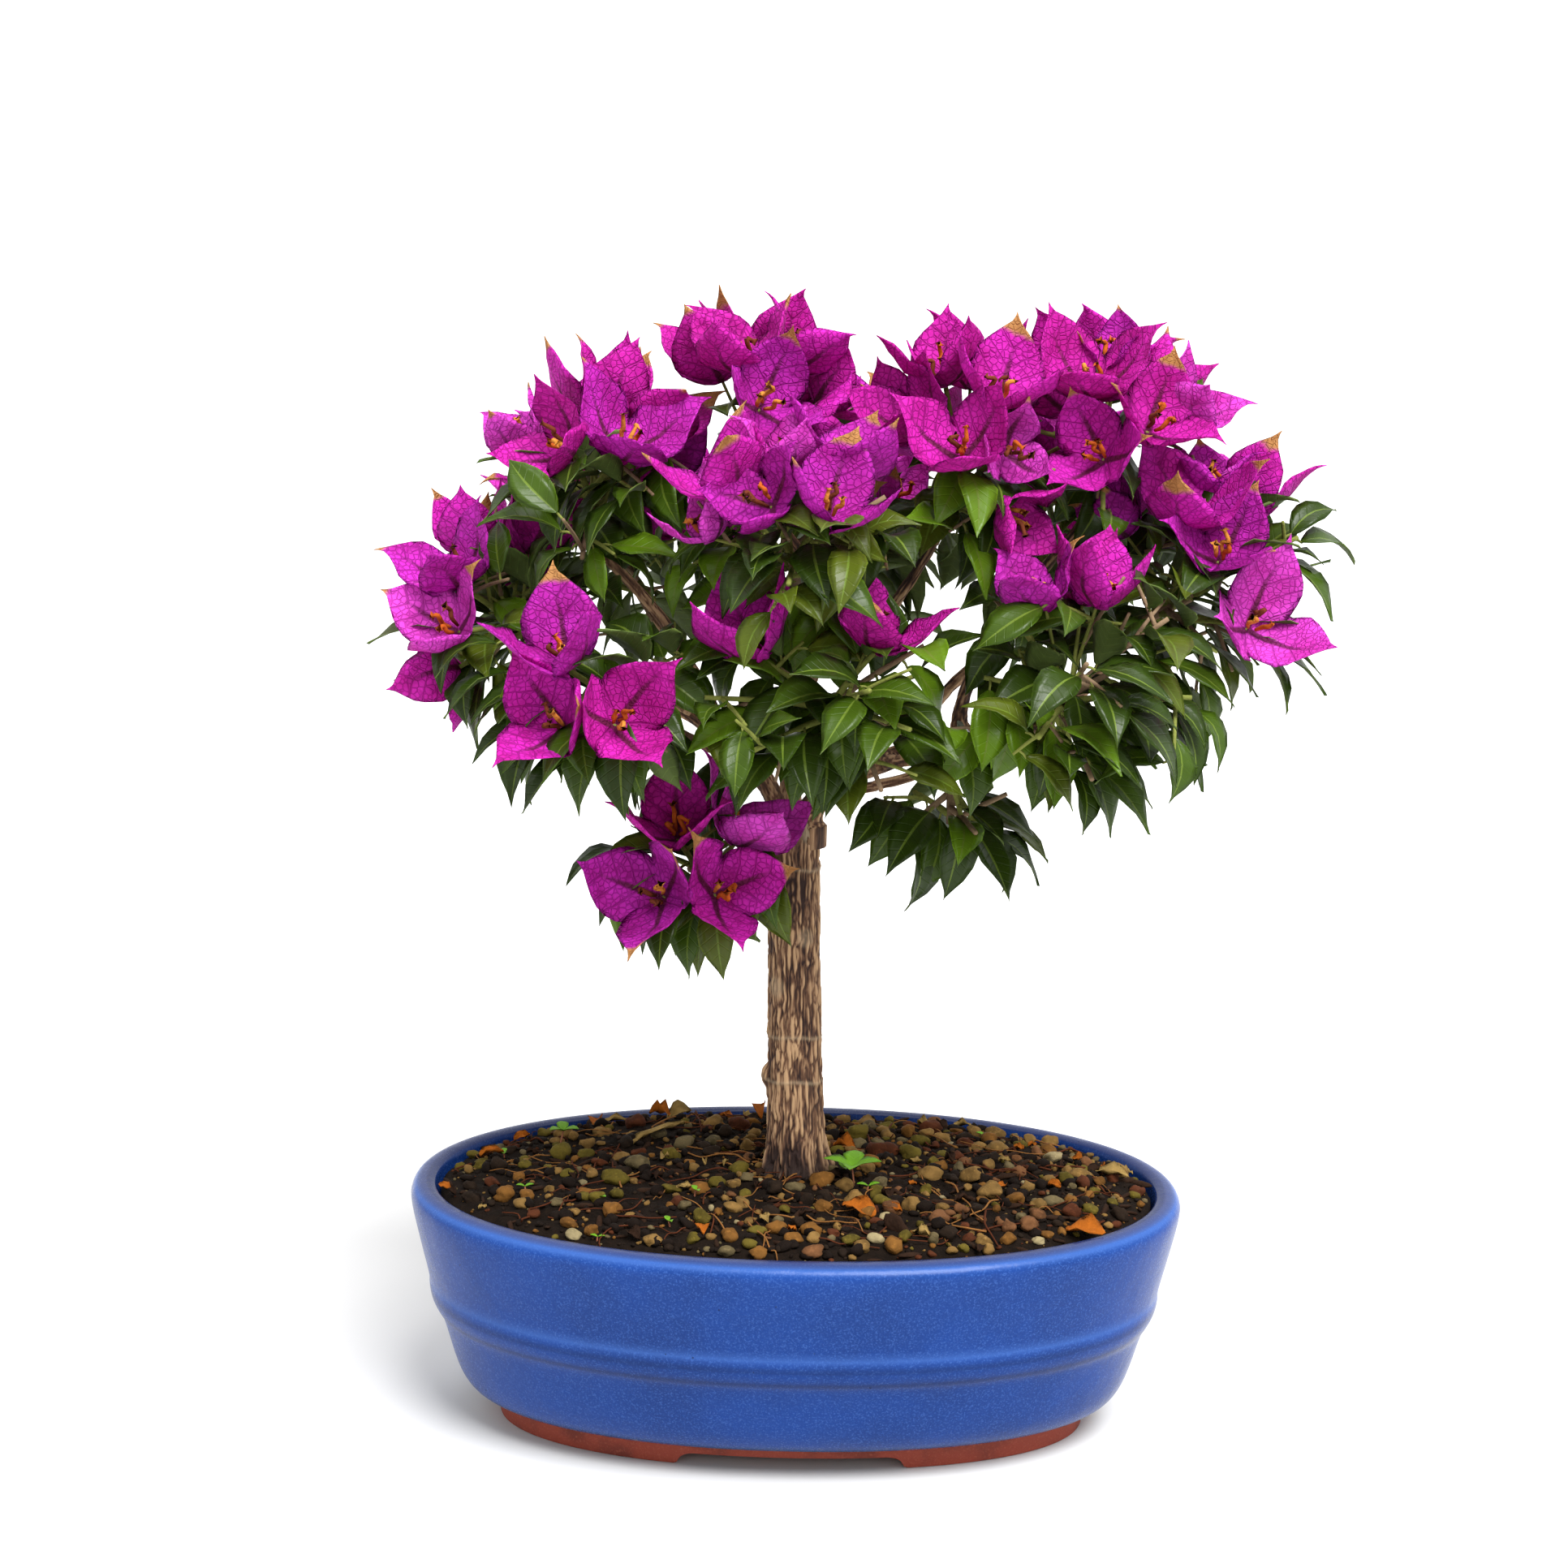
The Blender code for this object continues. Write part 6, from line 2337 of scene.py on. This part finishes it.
@dataclass
class Ground:
    """The soil in the bowl, with the pebbles, scraps, fibres and seedlings on it."""

    pot: Pot
    edge_height: float = 0.0770
    crown_height: float = 0.0864
    edge_gap: float = 0.00048
    heap: float = 0.40
    # Each swell's middle, reach and rise
    swells: tuple[tuple[float, ...], ...] = (
        (-0.042, 0.048, 0.026, 0.0032), (-0.078, -0.020, 0.020, 0.0014),
        (0.070, 0.010, 0.024, 0.0016), (0.030, -0.052, 0.018, 0.0012),
    )
    # The layer, fineness and height of each grain of the soil's surface
    grains: tuple[Triple, Triple] = ((0, 210, 0.0008), (9, 620, 0.0006))
    # How high the bed follows the wall, and how far out and in its rings go on top
    wall_top: float = 0.0755
    top_shares: Pair = (0.998, 0.01)
    clod_rise: float = 0.0009
    clod_spacing: Pair = (0.024, 0.021)
    clod_wander: float = 0.9
    stone_shape: Pair = (0.78, 0.62)
    stone_planes: int = 10
    stone_cuts: Pair = (0.62, 0.92)
    # The height and the fineness of the waves over a stone
    waves: tuple[Pair, Pair] = ((0.22, 1.1), (0.1, 3.1))
    segments: int = 320
    top_rings: int = 110
    pebbles: int = 620
    clods: int = 900
    crumbs: int = 1500
    bark_bits: int = 170
    fibres: int = 190
    loose_scraps: int = 50
    # How often a loose pebble is of each kind, from the first kind on
    shares: tuple[float, ...] = (0.24, 0.14, 0.16, 0.07, 0.08, 0.02, 0.10, 0.19)
    # The least half length of a pebble and of a clod, how much longer the longest is, and a power
    pebble_sizes: Triple = (0.0010, 0.0026, 1.8)
    clod_sizes: Triple = (0.0009, 0.0020, 2)
    # A pebble's width and height over its length, and a clod's for both
    pebble_shape: tuple[Pair, Pair] = ((0.65, 0.95), (0.5, 0.8))
    clod_shape: Pair = (0.5, 0.9)
    crumb_sizes: Pair = (0.0003, 0.0009)
    bark_sizes: Pair = (0.0018, 0.0045)
    bark_room: float = 0.0016
    # From which size on a pebble is cut from the finest ball
    fine_from: float = 0.0022
    # Half the length and width of where clods and crumbs are strewn
    strewn: Pair = (0.12, 0.075)
    crumbs_to: float = 0.985
    # A free place: the tries, how likely one is in the middle, how much likelier on the right, how far from
    # the middle that takes, and how close to each other things may lie
    place_tries: int = 40
    likely: Triple = (0.62, 0.38, 0.03)
    packing: float = 0.9
    # A scrap's width over its length up to where it counts as long, a long one's width, and its stand
    scrap_width: Pair = (0.4, 0.75)
    long_scrap: Pair = (0.02, 0.006)
    scrap_stand: float = 0.0012
    scrap_thickness: float = 0.0003
    scrap_wave: float = 0.0007
    scrap_room: float = 0.001
    loose_scrap_length: Pair = (3, 7)
    # The straw that shows singly: its place, bearing and length
    straw: tuple[float, ...] = (0.074, 0.046, 0.1, 0.020)
    # How far loose fibres lie to either side, and towards the front and the back
    fibre_area: tuple[Pair, Pair] = ((-0.11, 0.10), (-0.065, 0.065))
    fibre_points: int = 6
    fibre_sides: int = 5
    fibre_rise: Pair = (0.0002, 0.0022)
    fibre_swerve: float = 0.5
    fibre_bore: Pair = (0.00018, 0.00042)
    fibre_length: Pair = (0.010, 0.034)
    # How far out a fibre may run, and how far back it is drawn from there
    fibre_within: Pair = (0.97, 0.95)
    fibres_to: float = 0.9
    sprout_radii: Triple = (0.00035, 0.0003, 0.00025)
    sprout_sink: float = 0.001
    sprout_thickness: float = 0.0002
    sprout_width: float = 0.36
    rng: random.Random = field(default_factory=lambda: random.Random("ground"))
    stones: Batch = field(default_factory=Batch)
    litter: Batch = field(default_factory=Batch)
    green: Batch = field(default_factory=Batch)
    # Places that are taken, with their radius, the trunk's foot first
    taken: list[Triple] = field(default_factory=lambda: [(0.0, 0.0, 0.0115)])

    def __post_init__(self) -> None:
        """Works out where the soil ends and makes the balls that stones are cut from."""
        self.inset = self.pot.inner_inset(self.edge_height) + self.edge_gap
        self.balls = {level: self.ball(level) for level in (1, 2, 3)}

    @staticmethod
    def ball(level: int) -> tuple[np.ndarray, Faces]:
        """A unit ball of triangles.

        Args:
            level: How often it is divided.

        Returns:
            Its points and faces.
        """
        shape = bmesh.new()
        bmesh.ops.create_icosphere(shape, subdivisions=level, radius=1.0)
        points = array([v.co for v in shape.verts])
        faces = Faces.of([[v.index for v in f.verts] for f in shape.faces])
        shape.free()
        return points, faces

    def share(self, x: float, y: float) -> float:
        """How far out a place is, from 0 in the middle to 1 at the soil's edge.

        Args:
            x: Its place from left to right.
            y: Its place from front to back.

        Returns:
            The share.
        """
        half_length = self.pot.length / 2 - self.inset
        half_width = self.pot.width / 2 - self.inset * self.pot.side_draft
        power = self.pot.oval_power
        return (abs(x / half_length) ** power + abs(y / half_width) ** power) ** (1 / power)

    def height(self, x: float, y: float) -> float:
        """The height of the soil's surface at a place.

        Args:
            x: Its place from left to right.
            y: Its place from front to back.

        Returns:
            The height.
        """
        slope = math.cos(min(self.share(x, y), 1.0) * math.pi / 2) ** self.heap
        lift = (self.crown_height - GAP - self.edge_height) * slope
        for middle_x, middle_y, reach, rise in self.swells:
            lift += rise * slope * math.exp(-((x - middle_x) ** 2 + (y - middle_y) ** 2) / reach**2)
        wide, deep = self.clod_spacing
        row = 2 * math.pi * x / wide + self.clod_wander * math.sin(math.pi * y / deep)
        column = 2 * math.pi * y / deep + self.clod_wander * math.sin(math.pi * x / wide)
        lift += self.clod_rise * slope * math.sin(row) * math.sin(column)
        rough = sum(noise.noise(Vector((x, y, layer)) * fine) * rise for layer, fine, rise in self.grains)
        return self.edge_height + lift + rough

    def build_bed(self) -> None:
        """Builds the bed of soil, closed down to the bowl's floor."""
        pot = self.pot
        rings = [
            pot.oval(pot.inner_inset(h) + self.edge_gap, h, self.segments)
            for h in (pot.floor_height + GAP, *reversed(pot.wall_heights), self.wall_top)
        ]
        edge = pot.oval(self.inset, self.edge_height, self.segments)
        for share in even(*self.top_shares, self.top_rings):
            ring = edge * share
            ring[:, 2] = [self.height(x, y) for x, y, _ in ring]
            rings.append(ring)
        batch = Batch()
        batch.add(*rings_shape(rings))
        soil = Grainy("damp_soil", tint(24, 16, 10), 1300, 0.8, 0.95, 0.0008)
        batch.build("soil_bed", [soil.make()], "soil", ["soil"])

    def lay_stone(
        self,
        x: float,
        y: float,
        sizes: Triple,
        kind: Matter,
        level: int,
        bearing: float | None = None,
    ) -> None:
        """Adds a lumpy stone or chip, part sunk into the soil, at a bearing in degrees or any.

        Args:
            x: Its place from left to right.
            y: Its place from front to back.
            sizes: Its half sizes.
            kind: What it is made of.
            level: Which ball it is cut from.
            bearing: Its bearing, or None for any.
        """
        rng = self.rng
        points, faces = self.balls[level]
        seed = Vector([rng.uniform(0, 90) for _ in range(3)])
        rough = np.zeros(len(points))
        for tall, fine in self.waves:
            rough += [tall * noise.noise(Vector(p) * fine + seed) for p in points]
        planes = np.array([[rng.gauss(0, 1) for _ in range(3)] for _ in range(self.stone_planes)])
        planes /= np.linalg.norm(planes, axis=1)[:, None]
        depths = np.array([rng.uniform(*self.stone_cuts) for _ in range(self.stone_planes)])
        reach = np.minimum(1.0, (depths / np.maximum(points @ planes.T, 0.05)).min(axis=1))
        tilt = (rng.uniform(-0.3, 0.3), rng.uniform(-0.3, 0.3), rng.uniform(0, 6.3))
        spin = Euler(tilt if bearing is None else (0, 0, math.radians(bearing))).to_matrix()
        placed = (points * (reach + rough)[:, None] * 1.1 * sizes) @ np.array(spin.transposed())
        stand = np.array((x, y, self.height(x, y) + sizes[2] * 0.45))
        batch, first = (self.litter, Matter.STRAW) if kind >= Matter.STRAW else (self.stones, Matter.TAN)
        batch.add(placed + stand, faces, (kind - first,))

    def place(self, room: float) -> Pair | None:
        """A free place on the soil with some room round it, likelier on the right, or None.

        Args:
            room: The radius that it takes up.

        Returns:
            The place, or None.
        """
        rng, half_length, half_width = self.rng, self.pot.length / 2, self.pot.width / 2
        middle, more, reach = self.likely
        for _ in range(self.place_tries):
            x, y = self.strew(half_length, half_width)
            edge = 1 - room / half_width
            if self.share(x, y) < edge and rng.random() < middle + more * math.tanh(x / reach):
                if all(math.hypot(x - a, y - b) > (room + r) * self.packing for a, b, r in self.taken):
                    self.taken.append((x, y, room))
                    return x, y
        return None

    def strew(self, half_length: float, half_width: float) -> Pair:
        """Any place on an oblong round the middle."""
        return self.rng.uniform(-half_length, half_length), self.rng.uniform(-half_width, half_width)

    def size(self, least: float, more: float, power: float) -> float:
        """A random size, small ones being likelier the higher the power is."""
        return least + more * self.rng.random() ** power

    def scatter_stones(self) -> None:
        """Lays the stones that show singly, then pebbles, clods, crumbs and bits of bark."""
        rng = self.rng
        for lump in (*STONES, *LUMPS):
            size = lump.length * MM / 2
            self.taken.append((lump.x * MM, lump.y * MM, size))
            wide, high = self.stone_shape
            slim = 0.35 if lump.kind is Matter.BARK_BIT else wide
            sizes = (size, size * slim, size * high)
            self.lay_stone(lump.x * MM, lump.y * MM, sizes, lump.kind, 3, lump.bearing)
        for _ in range(self.pebbles):
            size = self.size(*self.pebble_sizes)
            spot = self.place(size)
            if spot:
                kind = rng.choices(list(Matter)[: len(self.shares)], self.shares)[0]
                wide, high = self.pebble_shape
                sizes = (size, size * rng.uniform(*wide), size * rng.uniform(*high))
                self.lay_stone(*spot, sizes, kind, 3 if size > self.fine_from else 2)
        for _ in range(self.clods):
            x, y = self.strew(*self.strewn)
            size = self.size(*self.clod_sizes)
            if self.share(x, y) < 0.98 - size / 0.08:
                sizes = (size, size * rng.uniform(*self.clod_shape), size * rng.uniform(*self.clod_shape))
                self.lay_stone(x, y, sizes, Matter.CLOD, 2)
        dark, crumbly = Matter.DARK, (Matter.RUST, Matter.TAN, Matter.OCHRE, Matter.GREY)
        for _ in range(self.crumbs):
            x, y = self.strew(*self.strewn)
            if self.share(x, y) < self.crumbs_to:
                size = rng.uniform(*self.crumb_sizes)
                kind = rng.choice((dark, dark, *crumbly))
                self.lay_stone(x, y, (size, size * 0.8, size * 0.7), kind, 1)
        for _ in range(self.bark_bits):
            spot = self.place(self.bark_room)
            if spot:
                size = rng.uniform(*self.bark_sizes)
                self.lay_stone(*spot, (size, size * 0.3, size * 0.22), Matter.BARK_BIT, 2)

    def lay_scrap(self, scrap: Lump) -> None:
        """Adds a dead, curled leaf or a scrap of one.

        Args:
            scrap: The scrap.
        """
        rng, grid = self.rng, SCRAP_GRID
        t, s = grid.along, grid.across
        length = scrap.length * MM
        long_from, slim = self.long_scrap
        width = length * rng.uniform(*self.scrap_width) if length < long_from else slim
        flat = s * width / 2 * grid.half_width
        curl, roll = rng.uniform(0.15, 0.5), rng.uniform(0.3, 1.6)
        height = length * curl * (np.sin(np.pi * t) * 0.5 + (t - 0.5) ** 2) + roll * flat**2 / (width / 2)
        height = height + self.scrap_wave * np.sin(9 * t + 3 * s + rng.uniform(0, 6))
        bearing = rng.uniform(0, 2 * math.pi)
        heading = Vector((math.cos(bearing), math.sin(bearing), rng.uniform(-0.1, 0.2))).normalized()
        face = square(Vector((rng.uniform(-0.4, 0.4), rng.uniform(-0.4, 0.1), 1)), heading)
        x, y = scrap.x * MM, scrap.y * MM
        root = Vector((x, y, self.height(x, y) + self.scrap_stand)) - heading * length / 2
        points = grid.lay((flat, length * t, height), self.scrap_thickness, root, heading, face)
        self.litter.add(points, grid.sheets[1], [scrap.kind - Matter.STRAW] * 3)

    def lay_fibre(self, x: float, y: float, bearing: float, length: float, kind: Matter) -> None:
        """Adds a straw or a root fibre that wanders over the soil.

        Args:
            x: Its place from left to right.
            y: Its place from front to back.
            bearing: The way it starts, in radians.
            length: Its length.
            kind: A straw or a root.
        """
        rng = self.rng
        line = []
        steps, (furthest, back) = self.fibre_points - 1, self.fibre_within
        for _ in range(self.fibre_points):
            line.append(Vector((x, y, self.height(x, y) + rng.uniform(*self.fibre_rise))))
            bearing += rng.uniform(-self.fibre_swerve, self.fibre_swerve)
            x += math.cos(bearing) * length / steps
            y += math.sin(bearing) * length / steps
            if self.share(x, y) > furthest:
                x, y = x * back, y * back
        smooth = curve_through(line, 3)
        radius = rng.uniform(*self.fibre_bore)
        fibre = tube(smooth, even(radius, radius * 0.6, len(smooth)), self.fibre_sides)
        self.litter.add(*fibre, (kind - Matter.STRAW,))

    def scatter_litter(self) -> None:
        """Lays the scraps that show singly, loose ones, straws and root fibres."""
        rng = self.rng
        for scrap in SCRAPS:
            self.lay_scrap(scrap)
        for _ in range(self.loose_scraps):
            spot = self.place(self.scrap_room)
            if spot:
                kind = rng.choice((Matter.ORANGE_LEAF, Matter.TAN_LEAF, Matter.BARK_BIT))
                length = rng.uniform(*self.loose_scrap_length)
                self.lay_scrap(Lump(spot[0] / MM, spot[1] / MM, length, kind))
        self.lay_fibre(*self.straw, Matter.STRAW)
        for _ in range(self.fibres):
            x, y = (rng.uniform(*span) for span in self.fibre_area)
            if self.share(x, y) < self.fibres_to:
                kind = rng.choice((Matter.STRAW, Matter.ROOT, Matter.ROOT))
                self.lay_fibre(x, y, rng.uniform(0, 6.3), rng.uniform(*self.fibre_length), kind)

    def lay_seedling(self, seedling: Seedling) -> None:
        """Adds a seedling: a thin stem with a ring of small rounded leaves at its top.

        Args:
            seedling: The seedling.
        """
        rng, grid = self.rng, SCRAP_GRID
        x, y = seedling.x * MM, seedling.y * MM
        foot = Vector((x, y, self.height(x, y) - self.sprout_sink))
        top = foot + Vector((rng.uniform(-0.2, 0.2), rng.uniform(-0.2, 0.2), 1)) * seedling.height * MM
        stem = tube([foot, foot.lerp(top, 0.5), top], self.sprout_radii, self.fibre_sides)
        self.green.add(*stem, (1,))
        turn = rng.uniform(0, 6.3)
        length = seedling.length * MM
        t, s = grid.along, grid.across
        for k in range(seedling.leaves):
            turn += 2 * math.pi / seedling.leaves
            heading = Vector((math.cos(turn), math.sin(turn), 0.25)).normalized()
            face = square(UP, heading)
            flat = s * length * self.sprout_width * grid.half_width
            height = 0.06 * length * np.sin(np.pi * t) + 0.3 * np.abs(flat)
            points = grid.lay((flat, length * t, height), self.sprout_thickness, top, heading, face)
            self.green.add(points, grid.sheets[1], (0, 0, 0), grid.marks(flat, length * t, 0.0))

    def build(self) -> None:
        """Builds the bed and what lies and grows on it."""
        self.build_bed()
        self.scatter_stones()
        self.scatter_litter()
        for seedling in SEEDLINGS:
            self.lay_seedling(seedling)
        stones, litter = [], []
        for kind, colour in MATTER_COLOURS.items():
            if kind < Matter.STRAW:
                stones.append(Grainy("stone_" + kind.name.lower(), colour, 620, 0.8).make())
            else:
                litter.append(Grainy("dry_" + kind.name.lower(), colour).make())
        sprouts = [
            LeafSkin("sprout_green", tint(98, 148, 22), 0.5).make(),
            Grainy("sprout_stem", tint(150, 96, 72)).make(),
        ]
        self.stones.build("pebbles", stones, "soil", ["soil"])
        self.litter.build("litter", litter, "soil", ["soil"])
        self.green.build("seedlings", sprouts, "foliage", ["soil"])


@dataclass(frozen=True)
class Studio:
    """A plain pale floor, soft lights, and a camera that looks as the photograph does."""

    focal_pixels: float = 4579.0
    photo_size: int = 1932
    sensor: float = 36.0
    look_down: float = math.radians(13.53)
    tilt: float = math.radians(1.23)
    distance: float = 1.2
    aim: Vector = Vector((-0.0068, 0.0, 0.2168))
    crown: Vector = Vector((0, 0, 0.22))
    floor_size: float = 60.0
    floor_grey: float = 0.64
    clip: Pair = (0.01, 90)

    def build_floor(self) -> None:
        """Builds the floor, which is no part of the object."""
        half = self.floor_size / 2
        mesh = bpy.data.meshes.new("floor")
        corners = [(-half, -half, 0), (half, -half, 0), (half, half, 0), (-half, half, 0)]
        mesh.from_pydata(corners, [], [(0, 1, 2, 3)])
        paint = Paint("pale_floor")
        paint.set(Base_Color=(self.floor_grey,) * 3, Roughness=1.0, Specular_IOR_Level=0.0)
        mesh.materials.append(paint.material)
        show("floor", mesh)

    def add_light(self, name: str, kind: str, place: Sequence[float], settings: Mapping[str, float]) -> None:
        """Adds a soft light of a type, with its own settings, that faces the crown.

        Args:
            name: The light's name.
            kind: Its type.
            place: Where it stands.
            settings: Its own settings by name.
        """
        lamp = bpy.data.lights.new(name, kind)
        for key, value in settings.items():
            setattr(lamp, key, value)
        light = show(name, lamp)
        light.location = place
        light.rotation_euler = (self.crown - Vector(place)).to_track_quat("-Z", "Y").to_euler()

    def build_camera(self) -> None:
        """Builds the camera at the photograph's viewing angle."""
        camera = bpy.data.cameras.new("camera")
        camera.sensor_width = self.sensor
        camera.lens = self.focal_pixels * self.sensor / self.photo_size
        camera.clip_start, camera.clip_end = self.clip
        view = show("camera", camera)
        forward = Vector((0, math.cos(self.look_down), -math.sin(self.look_down)))
        place = pot_centre() + self.aim - forward * self.distance
        turn = Euler((math.radians(90) - self.look_down, 0, 0)).to_matrix()
        turn = turn @ Matrix.Rotation(self.tilt, 3, "Z")
        view.matrix_world = Matrix.Translation(place) @ turn.to_4x4()
        bpy.context.scene.camera = view

    def build(self) -> None:
        """Builds the floor, the lights, the world and the camera."""
        self.build_floor()
        self.add_light("key", "SUN", (0.7, -1.15, 2.3), {"angle": math.radians(34), "energy": 5.4})
        self.add_light("top", "AREA", (0.1, 0.5, 2.2), {"size": 1.2, "energy": 14})
        world = bpy.context.scene.world or bpy.data.worlds.new("studio")
        bpy.context.scene.world = world
        world.use_nodes = True
        background = world.node_tree.nodes["Background"]
        background.inputs["Color"].default_value = (1, 1, 1, 1)
        background.inputs["Strength"].default_value = 1.0
        bpy.context.scene.view_settings.view_transform = "Standard"
        self.build_camera()


def main() -> None:
    """Builds the object's sub-assemblies, then the studio round it, and notes the sizes."""
    logging.basicConfig(level=logging.INFO, format="%(message)s", stream=sys.stdout)
    pot = Pot()
    pot.build_bowl()
    pot.build_foot()
    Ground(pot).build()
    trunk = Trunk()
    limbs = grow_limbs(trunk)
    Wood(trunk, limbs).build()
    growth = Growth(trunk, limbs)
    for name, sprays in growth.sprays.items():
        source = sum(len(spray.leaves) for spray in sprays if not spray.fine)
        every = sum(len(spray.leaves) for spray in sprays)
        log.info("%s: %d leaves, %d of them the solids' own", name, every, source)
    Crown(growth).build()
    Studio().build()


if __name__ == "__main__":
    main()
